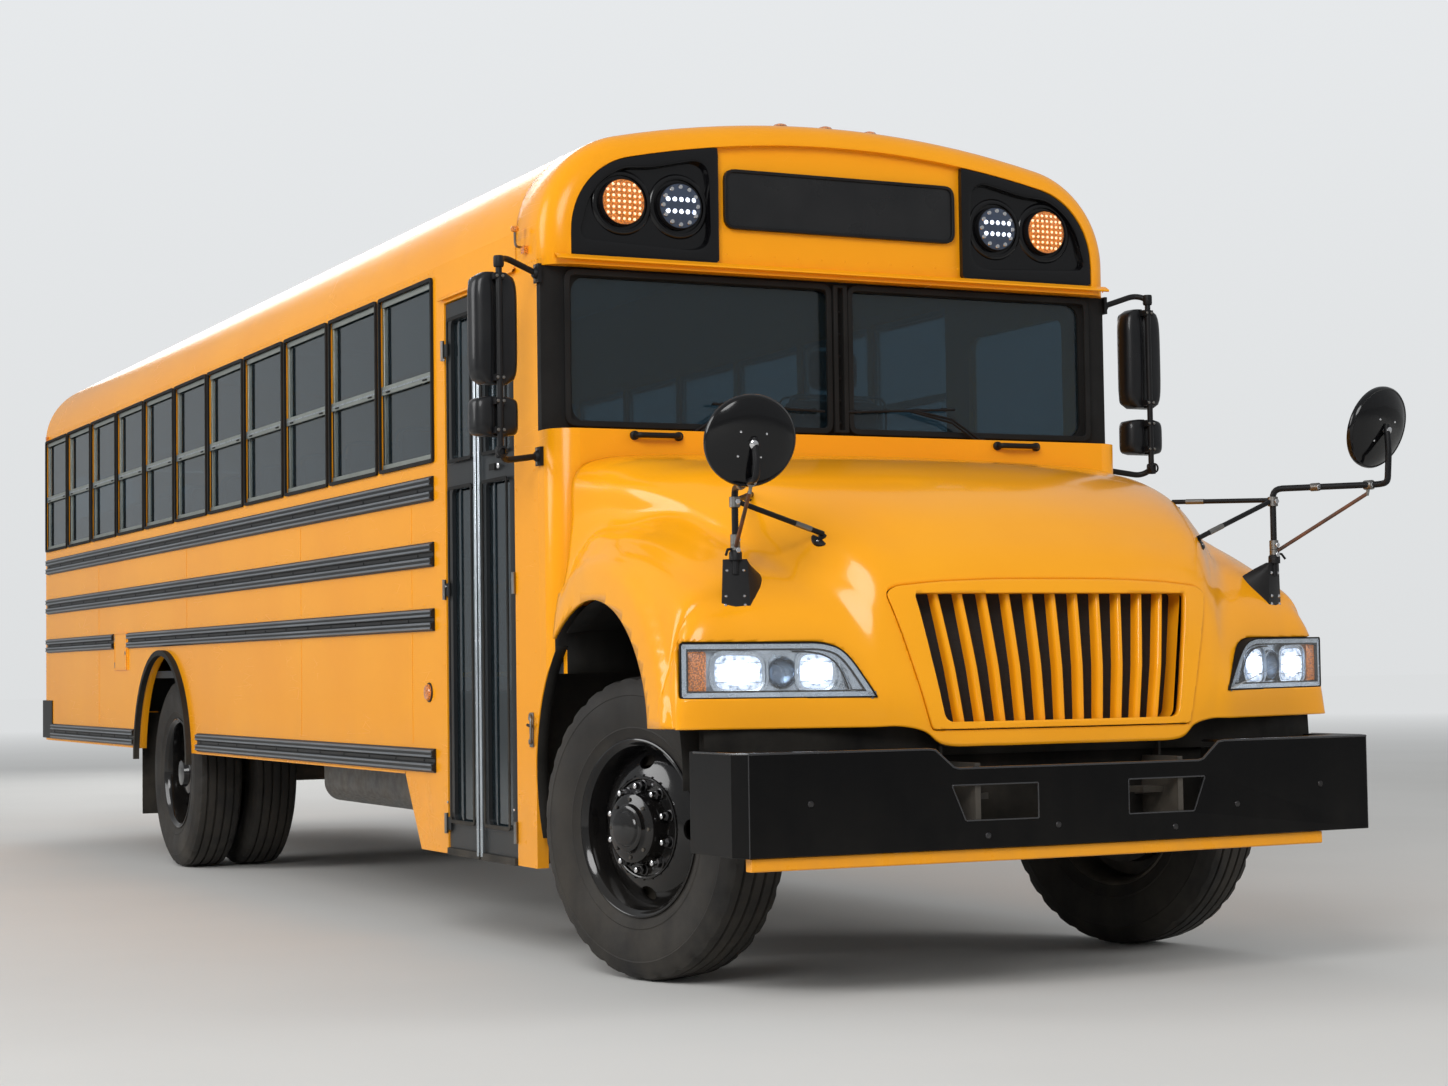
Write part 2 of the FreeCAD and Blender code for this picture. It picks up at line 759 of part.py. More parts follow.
def front_axle_beam():
    """An I-beam that ends in an eye round each kingpin."""
    reach = kingpin_y - 30
    parts = [
        box((axle_x - 45, axle_x + 45), (-reach, reach), (axle_z - 60, axle_z - 46)),
        box((axle_x - 45, axle_x + 45), (-reach, reach), (axle_z + 13, axle_z + 27)),
        box((axle_x - 8, axle_x + 8), (-reach, reach), (axle_z - 50, axle_z + 20)),
    ]
    for side in (-1, 1):
        parts.append(cylinder("Z", 46, axle_x, side * kingpin_y, axle_z - 60, 87))
        pad_y = side * (d.rail_y + 42)
        parts.append(box((axle_x - 60, axle_x + 60), (pad_y - 42, pad_y + 42), (axle_z + 20, axle_z + 27)))
    solid = fuse(parts)
    bores = [
        cylinder("Z", d.kingpin_radius + d.running_gap, axle_x, side * kingpin_y, axle_z - 100, 200)
        for side in (-1, 1)
    ]
    keep("front_axle_beam", cut(solid, group(bores)))


def knuckle(node, side):
    """Kingpin, two lugs round the beam's eye, spindle and steering arm.  Drawn at the kingpin."""
    gap = 6
    low, eye_low, eye_top = -100, -60, 27
    lugs = ((low, eye_low - gap - low), (eye_top + gap, 40))
    face, plate = 52, 28
    parts = [cylinder("Z", d.kingpin_radius, 0, 0, low, 180)]
    for z, height in lugs:
        parts.append(cylinder("Z", 44, 0, 0, z, height))
        parts.append(box((-40, 40), span(side, 0, face + 8), (z, z + height)))
    parts.append(box((-40, 40), span(side, face, face + plate), (low, eye_top + gap + 40)))
    near, far = span(side, face + plate - 5, spindle_end)
    parts.append(cylinder("Y", d.spindle_radius, 0, near, 0, far - near))
    parts.append(box((-ARM_REACH - 20, -30), (-18, 18), (low, low + ARM_SHEET)))
    solid = keep(node, fuse(parts))
    bind_place(solid, axle_x, side * kingpin_y, axle_z)
    solid.setExpression("Placement.Rotation.Angle", "Sizes.steer_angle * 1 deg")


def tie_rod():
    """Joins the two steering arms; its eyes lie under their ends."""
    angle = math.radians(d.steer_angle.value)
    drop, height = 100 + d.running_gap.value, 44
    ends = []
    for side in (-1, 1):
        x = axle_x.value - ARM_REACH * math.cos(angle)
        y = side * kingpin_y.value - ARM_REACH * math.sin(angle)
        ends.append(V3(x, y, axle_z.value - drop - height / 2))
    solid = rod(tuple(ends[0]), tuple(ends[1]), 16)
    for end in ends:
        solid = solid.fuse(Part.makeCylinder(24, height, end - V3(0, 0, height / 2)))
    keep("tie_rod", feature(solid))


def tyre_profile(middle):
    """Section of a tyre: radius along a, across along b."""
    half_width = d.tyre_width / 2
    rim_half = d.rim_width / 2
    shoulder = half_width - 26
    bead = d.bead_radius + d.running_gap
    return [
        (bead, middle - rim_half + 14),
        (d.rim_radius + 16, middle - rim_half - 4),
        (d.tyre_radius - 95, middle - half_width),
        (d.tyre_radius - 14, middle - shoulder),
        (d.tyre_radius, middle - shoulder + 30),
        (d.tyre_radius, middle + shoulder - 30),
        (d.tyre_radius - 14, middle + shoulder),
        (d.tyre_radius - 95, middle + half_width),
        (d.rim_radius + 16, middle + rim_half + 4),
        (bead, middle + rim_half - 14),
    ]


def front_tyre(node, side):
    body = new_body(node)
    revolve(body, tyre_profile(side * (d.front_track / 2 - kingpin_y)))
    keep(node, body)
    bind_place(body, axle_x, side * kingpin_y, axle_z)
    body.setExpression("Placement.Rotation.Angle", "Sizes.steer_angle * 1 deg")


def front_wheel(node, side):
    """Rim, dished disc, hub and brake drum in one turned piece."""
    offset = d.front_track / 2 - kingpin_y
    bore = d.spindle_radius + d.running_gap
    rim_half = d.rim_width / 2
    drum_face = 86 - offset
    cap_face = spindle_end - offset + 7

    def at(radius, outboard):
        return (radius, side * (offset + outboard))

    outline = [
        at(d.bead_radius, -rim_half + 14),
        at(d.rim_radius, -rim_half),
        at(d.bead_radius - 16, -rim_half),
        at(d.bead_radius - 16, 20),
        at(215, 20),
        at(215, drum_face),
        at(bore, drum_face),
        at(bore, cap_face),
        at(0, cap_face),
        at(0, 165),
        at(58, 165),
        at(84, 140),
        at(118, 140),
        at(126, 78),
        at(220, 62),
        at(262, 30),
        at(d.bead_radius - 12, rim_half),
        at(d.rim_radius, rim_half),
        at(d.bead_radius, rim_half - 14),
    ]
    body = new_body(node)
    revolve(body, outline)
    keep(node, body)
    bind_place(body, axle_x, side * kingpin_y, axle_z)
    body.setExpression("Placement.Rotation.Angle", "Sizes.steer_angle * 1 deg")


def rear_tyres(node, side):
    outer = new_body(node + "_outer")
    inside = new_body(node + "_inner")
    middle = d.rear_outer_span / 2
    revolve(outer, tyre_profile(side * middle))
    revolve(inside, tyre_profile(side * (middle - d.dual_spacing)))
    pair = keep(node, group([outer, inside]))
    bind_place(pair, rear_axle_x, 0, axle_z)


def rear_wheels(node, side):
    """The two rims of a pair, joined where their discs bolt together, with hub and drum."""
    outer = d.rear_outer_span / 2
    inside = outer - d.dual_spacing
    rim_half = d.rim_width / 2
    bore = d.axle_tube_radius + d.running_gap

    def at(radius, out):
        return (radius, side * as_size(out))

    outline = [
        at(d.bead_radius, inside - rim_half + 14),
        at(d.rim_radius, inside - rim_half),
        at(d.bead_radius - 14, inside - rim_half),
        at(d.bead_radius - 14, inside + 40),
        at(206, inside + 40),
        at(206, inside - rim_half + 20),
        at(bore, inside - rim_half + 20),
        at(bore, outer - 30),
        at(0, outer - 30),
        at(0, outer + 96),
        at(70, outer + 96),
        at(118, outer + 60),
        at(118, outer - 60),
        at(235, outer - 66),
        at(d.bead_radius - 14, outer - 20),
        at(d.bead_radius - 14, outer + rim_half),
        at(d.rim_radius, outer + rim_half),
        at(d.bead_radius, outer + rim_half - 14),
    ]
    body = new_body(node)
    revolve(body, outline)
    keep(node, body)
    bind_place(body, rear_axle_x, 0, axle_z)


def rear_axle():
    """Tubes and gear casing in one turned piece, with the pinion's neck and the spring seats."""
    tube_half = d.rear_outer_span / 2 - 34
    tube = d.axle_tube_radius
    body = new_body("axle")
    revolve(body, [
        (0, -tube_half),
        (tube, -tube_half),
        (tube, -200),
        (180, -80),
        (180, 80),
        (tube, 200),
        (tube, tube_half),
        (0, tube_half),
    ])
    bind_place(body, rear_axle_x, 0, axle_z)
    pinion = cylinder("X", 80, rear_axle_x + 120, 0, axle_z, PINION_REACH - 120)
    seats = []
    for side in (-1, 1):
        low_y, high_y = span(side, d.rail_y, d.rail_y + 84)
        seats.append(box((rear_axle_x - 70, rear_axle_x + 70), (low_y, high_y),
                         (axle_z - 20, axle_z + tube + 2)))
    keep("rear_axle", fuse([body, pinion] + seats))


def drive_shaft():
    """Two shafts with yokes, from the gearbox to the axle's pinion."""
    yoke = 60
    start = V3(gearbox_x.value - yoke / 2, 0, 720)
    middle = V3(axle_x.value - 3600, 0, 700)
    end = V3(rear_axle_x.value + PINION_REACH + yoke / 2, 0, axle_z.value)
    solid = rod(tuple(start), tuple(middle), 50).fuse(rod(tuple(middle), tuple(end), 50))
    for spot in (start, middle, end):
        solid = solid.fuse(Part.makeCylinder(68, yoke, spot - V3(yoke / 2, 0, 0), V3(1, 0, 0)))
    keep("drive_shaft", feature(solid))


def engine():
    block_rear = axle_x - 250
    block = box((block_rear, axle_x + 640), (-310, 310), (axle_z + 110, 1480))
    gearbox = cylinder("X", 200, gearbox_x, 0, 790, block_rear - gearbox_x)
    keep("engine", fuse([block, gearbox]))


def radiator():
    core_x = axle_x + 800
    core = box((core_x, core_x + 60), (-400, 400), (rail_top_z + 2, 1330))
    fan = cylinder("X", 290, core_x - 110, 0, 1120, 40)
    shaft = cylinder("X", 40, axle_x + 640, 0, 1120, 160)
    posts = []
    for side in (-1, 1):
        low_y, high_y = span(side, d.rail_y - 75, d.rail_y - 15)
        posts.append(box((core_x - 10, core_x + 70), (low_y, high_y), (rail_top_z, rail_top_z + 30)))
    keep("radiator", fuse([core, fan, shaft] + posts))


def fuel_tank():
    outer, near, top = -half + 109, -d.rail_y - 60, rail_top_z - 15
    body = new_body("tank")
    pad(body, "YZ", [rounded(outer, 470, near, top, 90)], axle_x - 3500, axle_x - 2200)
    straps = [
        box((axle_x - back - 40, axle_x - back + 40), (near - 2, -d.rail_y), (680, 800))
        for back in (3250, 2450)
    ]
    keep("fuel_tank", fuse([body] + straps))


def exhaust():
    """Down pipe, muffler and tail pipe on the left of the chassis."""
    y, z, muffler_radius = 620, 715, 120
    muffler = cylinder("X", muffler_radius, axle_x - 3600, y, z, 1000)
    front_pipe = cylinder("X", 52, axle_x - 2620, y, z, 1500)
    tail_pipe = cylinder("X", 52, axle_x - 4700, y, z, 1110)
    hangers = [
        box((axle_x - back, axle_x - back + 40), (d.rail_y, y), (z - 20, z + 20))
        for back in (3500, 2800, 1500, 4500)
    ]
    keep("exhaust", fuse([muffler, front_pipe, tail_pipe] + hangers))


# ---------------------------------------------------------------- body shell


def floor():
    x0, x1 = rear_x + d.wall, cowl_x - d.wall
    body = new_body("floor")
    pad(body, "XY", [rectangle(x0, -inner, x1, inner)], floor_bottom_z, d.floor_z)
    pocket(body, "XY", [rectangle(door_rear_x, -inner - 1, door_front_x, well_y)],
           floor_bottom_z - 1, d.floor_z + 1)
    beams = []
    # cross beams on both rails: distance behind the front axle, half length
    for back, reach in ((1420, d.rail_y - 10), (2000, seat_y), (2800, seat_y), (3600, seat_y),
                        (4400, seat_y), (5300, seat_y), (6164, 560), (7050, seat_y), (7900, seat_y),
                        (8700, seat_y)):
        x = axle_x - back
        beams.append(box((x - 30, x + 30), (-reach, reach), (rail_top_z, floor_bottom_z)))
    keep("floor", fuse([body] + beams))


def entry_steps():
    """Folded treads and risers between two cheek plates, from the doorway up to the floor."""
    sheet_width = 25
    count = int(d.step_count.value)
    bottom = d.door_bottom_z + 3
    rise = (floor_bottom_z - bottom) / d.step_count
    upper, lower = [], []
    y = step_y
    for step in range(count):
        z = bottom + rise * step + sheet_width
        fold = 0 if step == 0 else sheet_width
        upper += [(y, z), (y + step_depth, z)]
        lower += [(y + fold, z - sheet_width), (y + step_depth + sheet_width, z - sheet_width)]
        y = y + step_depth
    upper.append((y, floor_bottom_z))
    lower.append((y + sheet_width, floor_bottom_z))
    stairs = new_body("stairs")
    pad(stairs, "YZ", [lower + upper[::-1]], door_rear_x, door_front_x)
    cheek = [
        (step_y, bottom),
        (step_y + step_depth + sheet_width, bottom),
        (y + sheet_width, floor_bottom_z - rise),
        (y + sheet_width, floor_bottom_z),
        (step_y, floor_bottom_z),
    ]
    cheeks = []
    for x in (door_rear_x - 12, door_front_x):
        plate = new_body("cheek")
        pad(plate, "YZ", [cheek], x, x + 12)
        cheeks.append(plate)
    keep("entry_steps", fuse([stairs] + cheeks))


def side_wall(node, side):
    post_x = wall_front_x - 50
    top, joint = d.roof_joint_z, d.cap_bottom_z
    outline = [
        (shell_x, d.skirt_z),
        (door_rear_x - 515, d.skirt_z),
        (door_rear_x - 319, d.door_bottom_z),
        (post_x, d.door_bottom_z),
        (post_x, d.arch_z),
        (wall_front_x, d.arch_z),
        (wall_front_x, joint),
        (cap_joint_x, joint),
        (cap_joint_x, top),
        (shell_x, top),
    ]
    if side > 0:
        outline[1:4] = [(post_x, d.skirt_z)]
    low, high = (-half, -inner) if side < 0 else (inner, half)
    body = new_body(node)
    pad(body, "XZ", [outline], low, high)
    window = pocket(
        body,
        "XZ",
        [rectangle(first_window_x - window_width, d.sill_z, first_window_x, d.window_top_z)],
        low - 1,
        high + 1,
    )
    repeat(body, window, "X", d.window_pitch, d.window_count, backwards=True)
    pocket(body, "XZ", [(arch_x, d.arch_z, d.arch_radius)], low - 1, high + 1)
    pocket(body, "XZ", [(rear_axle_x, d.rear_arch_z, d.rear_arch_radius)], low - 1, high + 1)
    if side < 0:
        pocket(body, "XZ", [rectangle(door_rear_x, d.door_bottom_z - 1, door_front_x, d.door_top_z)],
               low - 1, high + 1)
        filler_x = shell_x + 2430
        pad(body, "XZ", [rectangle(filler_x - 375, 1100, filler_x - 5, 1315)], low - 5, low)
    else:
        pocket(body, "XZ", [rounded(door_rear_x + 60, 1760, door_front_x + 40, 2480, 50)],
               low - 1, high + 1)
    keep(node, body)



def roof():
    body = new_body("roof")
    bottom = d.eave_z - 60
    pad(body, "YZ", [roof_outline(bottom)], shell_x, cap_joint_x)
    pocket(body, "YZ", [roof_outline(bottom - 1, d.wall)], shell_x - 1, cap_joint_x + 1)
    pocket(body, "YZ", [rectangle(-half - 1, bottom - 2, half + 1, d.roof_joint_z)],
           shell_x - 1, cap_joint_x + 1)
    side = d.hatch_size / 2
    for back in HATCH_BACKS:
        x = cowl_x - back
        pocket(body, "XY", [rounded(x - side, -side, x + side, side, HATCH_CORNER)],
               d.eave_z, d.roof_z + 1)
    keep("roof", body)


def roof_hatch(node, back):
    """A shallow lid over the roof opening, with two lugs that reach its hinge."""
    x = cowl_x - back
    side = d.hatch_size / 2 + HATCH_OVERLAP
    low = d.roof_z + 6
    lip, lid_sheet = 24, 14
    body = new_body(node)
    pad(body, "XY", [rounded(x - side, -side, x + side, side, 60)], low, low + HATCH_HEIGHT)
    inside = side - lip
    pocket(body, "XY", [rounded(x - inside, -inside, x + inside, inside, 40)],
           low - 1, low + HATCH_HEIGHT - lid_sheet)
    hinge = x - side - HATCH_HINGE_OUT
    lugs = [
        box((hinge + HATCH_PIN + d.running_gap, x - side + 4), (y - 20, y + 20), (low, low + 8))
        for y in (-150, 150)
    ]
    keep(node, fuse([body] + lugs))


def hatch_frames():
    """The raised frames round the roof openings and the pins the lids turn on."""
    parts = []
    side = d.hatch_size / 2
    rim = 22
    for back in HATCH_BACKS:
        x = cowl_x - back
        body = new_body("frame")
        pad(body, "XY", [rounded(x - side, -side, x + side, side, HATCH_CORNER)],
            d.roof_z - 60, d.roof_z + 24)
        pocket(body, "XY", [rectangle(x - side + rim, -side + rim, x + side - rim, side - rim)],
               d.roof_z - 61, d.roof_z + 25)
        parts.append(body)
        hinge = x - side - HATCH_OVERLAP - HATCH_HINGE_OUT
        pin = cylinder("Y", HATCH_PIN, hinge, -215, hatch_hinge_z, 430)
        feet = [
            box((hinge - 8, hinge + 8), (y - 12, y + 12), (roof_height(203 - 12), hatch_hinge_z))
            for y in (-203, 203)
        ]
        parts.append(fuse([pin] + feet))
    keep("hatch_frames", group(parts))


def at_plane(edge, x):
    return all(abs(v.Point.x - x.value) < 0.01 for v in edge.Vertexes)


def rear_wall():
    body = new_body("rear_wall")
    pad(body, "YZ", [roof_outline(d.skirt_z)], rear_x, shell_x)
    fillet(body, d.rear_radius,
           lambda edge: at_plane(edge, rear_x) and edge.CenterOfMass.z > d.skirt_z.value + 1)
    pocket(body, "YZ", [roof_outline(d.skirt_z - 1, d.wall)], rear_x + d.wall, shell_x + 1)
    door = d.rear_door_width / 2
    openings = [rectangle(-door, d.floor_z, door, d.rear_door_top_z)]
    for low_y, high_y in (span(-1, *rear_window_y), span(1, *rear_window_y)):
        openings.append(rounded(low_y, 1760, high_y, 2440, 60))
    # the frame's rear brackets pass under this edge
    openings.append(rectangle(-d.rail_y - 25, d.skirt_z - 1, d.rail_y + 25, rail_top_z + 15))
    pocket(body, "YZ", openings, rear_x - 1, rear_x + d.wall + 1)
    keep("rear_wall", body)


def rear_door():
    gap = d.door_gap
    door = d.rear_door_width / 2 - gap
    low, top = d.floor_z + gap, d.rear_door_top_z - gap
    body = new_body("rear_door")
    pad(body, "YZ", [rectangle(-door, low, door, top)], rear_x, rear_x + d.wall)
    pocket(body, "YZ", [rounded(-door + 90, 1780, door - 90, top - 90, 50),
                        rounded(-door + 90, 1250, door - 90, 1640, 50)],
           rear_x - 1, rear_x + d.wall + 1)
    handle = box((rear_x - 40, rear_x - 24), (door - 150, door - 20), (1690, 1720))
    stems = [box((rear_x - 30, rear_x), (door - y - 20, door - y), (1695, 1715)) for y in (30, 120)]
    straps = [
        box((rear_x - HINGE_OUT / 2, rear_x), (strap_start - d.rear_door_width / 2, 160 - door), (z, z + 60))
        for z in rear_hinge_levels(25)
    ]
    keep("rear_door", fuse([body, handle] + stems + straps))


def front_cap():
    body = new_body("front_cap")
    pad(body, "YZ", [roof_outline(d.cap_bottom_z)], cap_joint_x, cap_x)
    fillet(body, d.end_radius,
           lambda edge: at_plane(edge, cap_x) and edge.CenterOfMass.z > d.cap_bottom_z.value + 1)
    pocket(body, "YZ", [roof_outline(d.cap_bottom_z - 1, d.wall)], cap_joint_x - 1, cap_x - 90)
    pocket(body, "YZ", [roof_outline(d.cap_bottom_z + 30, d.cap_recess_rim)],
           cap_x - d.cap_recess, cap_x + 1)
    keep("front_cap", body)


def lamp_spots():
    """Warning lamps in the cap: distance from the middle, and height."""
    return ((half - 305, 2770), (half - 534, 2770))


def cap_panels():
    """Black panels at both ends of the cap's recess."""
    body = new_body("lamp_panels")
    back = cap_x - d.cap_recess
    pad(body, "YZ", [roof_outline(d.cap_bottom_z + 31, d.cap_recess_rim + 1)], back, back + d.panel_sheet)
    middle = half - 694
    pocket(body, "YZ", [rectangle(-middle, d.cap_bottom_z, middle, d.roof_z)], back - 1, back + d.panel_sheet + 1)
    sign = new_body("sign")
    sign_y = half - 721
    pad(sign, "YZ", [rounded(-sign_y, 2700, sign_y, 2925, 45)], back, back + 14)
    keep("cap_panels", group([body, sign]))


def cap_lamps():
    parts = []
    back = cap_x - d.cap_recess + d.panel_sheet
    for y, z in lamp_spots():
        for side in (-1, 1):
            parts.append(cylinder("X", d.warning_lamp_radius, back, side * y, z, 24))
    return parts


def marker_lamps():
    """Small amber lamps on the cap, the corners and the sides."""
    parts = []
    for y in (-195, 0, 195):
        low = roof_height(abs(y) - 22 if y else 0)
        parts.append(box((cap_x - 160, cap_x - 120), (y - 22, y + 22), (low, low + 18)))
    for side in (-1, 1):
        low_y, high_y = span(side, half, half + 18)
        parts.append(box((cap_joint_x + 90, cap_joint_x + 120), (low_y, high_y), (2590, 2620)))
        parts.append(box((rear_x + 150, rear_x + 180), (low_y, high_y), (d.eave_z + 2, d.eave_z + 30)))
        parts.append(cylinder("Y", 33, door_rear_x - 208, low_y, 981, 18))
    return parts


def cowl():
    """Firewall, side returns and the rounded corners ahead of the front posts."""
    radius = d.cowl_corner
    body = new_body("cowl")
    pad(body, "XY", [[
        (wall_front_x, -half),
        (cowl_x - radius, -half, radius, -1),
        (cowl_x, -half + radius),
        (cowl_x, half - radius, radius, -1),
        (cowl_x - radius, half),
        (wall_front_x, half),
    ]], d.skirt_z, d.cowl_top_z)
    pocket(body, "XY", [rectangle(wall_front_x - 1, -inner, cowl_x - d.wall, inner)],
           d.skirt_z - 1, d.cowl_top_z - 40)
    pocket(body, "YZ", [rectangle(-inner, d.skirt_z - 1, inner, floor_bottom_z)],
           wall_front_x - 1, cowl_x + 1)
    for low, high in ((-half - 1, -inner), (inner, half + 1)):
        pocket(body, "XZ", [(arch_x, d.arch_z, d.arch_radius)], low, high)
    keep("cowl", body)


def windshield():
    edge = d.windshield_frame
    low, top = d.cowl_top_z, d.cap_bottom_z
    post = d.windshield_post / 2
    panes = [
        rounded(-half + 85 + edge, low + edge, -post, top - edge, 60),
        rounded(post, low + edge, half - 85 - edge, top - edge, 60),
    ]
    frame = new_body("windshield_frame")
    pad(frame, "YZ", [rectangle(-half, low, half, top)], wall_front_x, windshield_x)
    pocket(frame, "YZ", panes, wall_front_x - 1, windshield_x + 1)
    keep("windshield_frame", frame)
    parts = []
    for pane in panes:
        glass = new_body("pane")
        pad(glass, "YZ", [pane], windshield_x - 10 - d.glass, windshield_x - 10)
        parts.append(glass)
    return parts


def window_sashes():
    """A frame with two panes in every side window; the meeting rail is above mid-height."""
    frame_width, depth = 24, 24
    rail_z = d.sill_z + window_height * 0.47
    frames, panes = [], []
    for side in (-1, 1):
        outer = side * (half - 8)
        low, high = sorted((outer, outer - side * depth), key=lambda v: v.value)
        glass_mid = (low + high) / 2
        for column in range(int(d.window_count.value)):
            x1 = first_window_x - d.window_pitch * column
            x0 = x1 - window_width
            body = new_body("sash")
            pad(body, "XZ", [rectangle(x0, d.sill_z, x1, d.window_top_z)], low, high)
            pocket(body, "XZ", [
                rectangle(x0 + frame_width, d.sill_z + frame_width, x1 - frame_width, rail_z - 14),
                rectangle(x0 + frame_width, rail_z + 14, x1 - frame_width, d.window_top_z - frame_width),
            ], low - 1, high + 1)
            frames.append(body)
            panes.append(box((x0 + frame_width, x1 - frame_width), (glass_mid - 3, glass_mid + 3),
                             (d.sill_z + frame_width, rail_z - 14)))
            panes.append(box((x0 + frame_width, x1 - frame_width), (glass_mid - 3, glass_mid + 3),
                             (rail_z + 14, d.window_top_z - frame_width)))
    keep("window_sashes", group(frames))
    return panes


def fixed_windows():
    """The two panes beside the rear door and the driver's pane."""
    parts = []
    for low_y, high_y in (span(-1, *rear_window_y), span(1, *rear_window_y)):
        body = new_body("pane")
        pad(body, "YZ", [rounded(low_y, 1760, high_y, 2440, 60)], rear_x + 14, rear_x + 20)
        parts.append(body)
    driver = new_body("pane")
    pad(driver, "XZ", [rounded(door_rear_x + 60, 1760, door_front_x + 40, 2480, 50)], half - 24, half - 18)
    parts.append(driver)
    return parts


def window_glass():
    keep("window_glass", group(windshield() + window_sashes() + fixed_windows()))


def rear_door_glass():
    gap = d.door_gap
    door = d.rear_door_width / 2 - gap
    top = d.rear_door_top_z - gap
    panes = []
    for low, high in ((as_size(1780), top - 90), (as_size(1250), as_size(1640))):
        body = new_body("pane")
        pad(body, "YZ", [rounded(-door + 90, low, door - 90, high, 50)], rear_x + 14, rear_x + 20)
        panes.append(body)
    keep("rear_door_glass", group(panes))


def rub_rails():
    """Black ribbed rails on both sides.  Each section has two ribs."""
    front = first_window_x - 5
    rear = shell_x + 60
    proud = 18
    # low, high, start and end ahead of the rear face's shell
    door_gap_rear, door_gap_front = shell_x + 2050, shell_x + 2430
    rows = (
        (1750, 1850, rear, front),
        (1485, 1585, rear, front),
        (1227, 1318, rear, door_gap_rear),
        (1227, 1318, door_gap_front, front),
        (660, 756, rear_x + d.rear_bumper_wrap + 6, rear_axle_x - 700),
        (660, 756, rear_axle_x + 760, front),
    )
    parts = []
    for low, high, x0, x1 in rows:
        third = (high - low) / 5.0
        section = [
            (-half, low),
            (-half, high),
            (-half - 6, high),
            (-half - proud, high - third * 0.6),
            (-half - proud, high - third * 1.6),
            (-half - 6, high - third * 2.2),
            (-half - 6, low + third * 2.2),
            (-half - proud, low + third * 1.6),
            (-half - proud, low + third * 0.6),
            (-half - 6, low),
        ]
        body = new_body("rail")
        pad(body, "YZ", [section], x0, x1)
        parts += both_sides(body)
    keep("rub_rails", group(parts))


def wheel_flares():
    """Rubber lips round the rear wheel arches."""
    outer, inside = d.rear_arch_radius + 21, d.rear_arch_radius - 8
    proud = 30
    body = new_body("flare")
    pad(body, "XZ", [(rear_axle_x, d.rear_arch_z, outer)], -half - proud, -half)
    pocket(body, "XZ", [(rear_axle_x, d.rear_arch_z, inside)], -half - proud - 1, -half + 1)
    pocket(body, "XZ", [rectangle(rear_axle_x - 800, -100, rear_axle_x + 800, d.rear_arch_z)],
           -half - proud - 1, -half + 1)
    return both_sides(body)


def wheel_guards():
    """Rubber lips round the rear arches, and mud flaps behind the rear wheels."""
    x = rear_axle_x - 760
    flaps = []
    for side in (-1, 1):
        flap = box((x - 8, x), span(side, 560, half - 59), (260, rail_top_z - 5))
        arm = box((x, x + 30), span(side, d.rail_y, half - 59), (rail_top_z - 40, rail_top_z - 5))
        flaps.append(fuse([flap, arm]))
    keep("wheel_guards", group(wheel_flares() + flaps))


# ---------------------------------------------------------------- hood

# Sections of hood and fenders.  Columns: distance ahead of the front axle, crown height,
# shoulder Y and Z, hip Y and Z (foot of the shoulder), fender height, outer Y.
HOOD_STATIONS = (
    (-338, 1835, 1100, 1785, 1148, 1600, 1200, 1215),
    (0, 1805, 1000, 1735, 1090, 1560, 1440, 1233),
    (450, 1720, 860, 1640, 985, 1490, 1360, 1260),
    (750, 1585, 750, 1500, 870, 1330, 1230, 1270),
    (1050, 1360, 640, 1310, 800, 1120, 1110, 1272),
)
# Fore end in plan.  Columns: distance behind the bumper's face, half width there.
HOOD_PLAN = ((100, 0), (100, 530), (135, 681), (372, 1265), (380, 1400))
# Nose seen from the side.  Columns: distance behind the bumper's face, height.
HOOD_NOSE = ((106, 800), (112, 880), (154, 1300), (172, 1370), (235, 1440), (330, 1500))


def hood_solid(inset):
    """Loft of the stations, trimmed to the plan and to the nose, everything set in by inset."""
    front = axle_x.value
    wires = []
    for row in HOOD_STATIONS:
        ahead, crown, sh_y, sh_z, hip_y, hip_z, fender, outer = row
        x = front + ahead
        low = 790 - (40 if inset else 0)
        right = [(-outer + inset, low), (-outer + inset, fender - inset), (-hip_y + inset, hip_z - inset),
                 (-sh_y + inset, sh_z - inset)]
        left = [(-y, z) for y, z in reversed(right)]
        edges = []
        chain = [V3(x, y, z) for y, z in right]
        for a, b in zip(chain, chain[1:]):
            edges.append(Part.makeLine(a, b))
        over = [V3(x, y, z) for y, z in left]
        edges.append(Part.Arc(chain[-1], V3(x, 0, crown - inset), over[0]).toShape())
        for a, b in zip(over, over[1:]):
            edges.append(Part.makeLine(a, b))
        edges.append(Part.makeLine(over[-1], chain[0]))
        wires.append(Part.Wire(edges))
    loft = Part.makeLoft(wires, True, True)
    face_x = bumper_x.value
    plan = [V3(face_x - back - inset, half_y, 0) for back, half_y in HOOD_PLAN]
    rear = front - 400
    plan = (
        [V3(rear, 1400, 0)]
        + [V3(p.x, p.y, 0) for p in reversed(plan)]
        + [V3(p.x, -p.y, 0) for p in plan[1:]]
        + [V3(rear, -1400, 0)]
    )
    prism = Part.Face(Part.makePolygon(plan + [plan[0]])).extrude(V3(0, 0, 2400))
    nose = [V3(face_x - back - inset, -1500, z - (inset if z > 1300 else 0)) for back, z in HOOD_NOSE]
    nose = [V3(nose[0].x, -1500, 700)] + nose + [V3(face_x - 330, -1500, 2400), V3(rear, -1500, 2400),
                                                V3(rear, -1500, 700)]
    side = Part.Face(Part.makePolygon(nose + [nose[0]])).extrude(V3(0, 3000, 0))
    return loft.common(prism).common(side)


def lamp_place(side):
    """The lamp's own plane: its origin is the outer lower corner, a runs inward, b up."""
    x = bumper_x.value - 372
    y = side * 1265
    along = V3(237, -side * 584, 0)
    along.normalize()
    return V3(x, y, 0), along


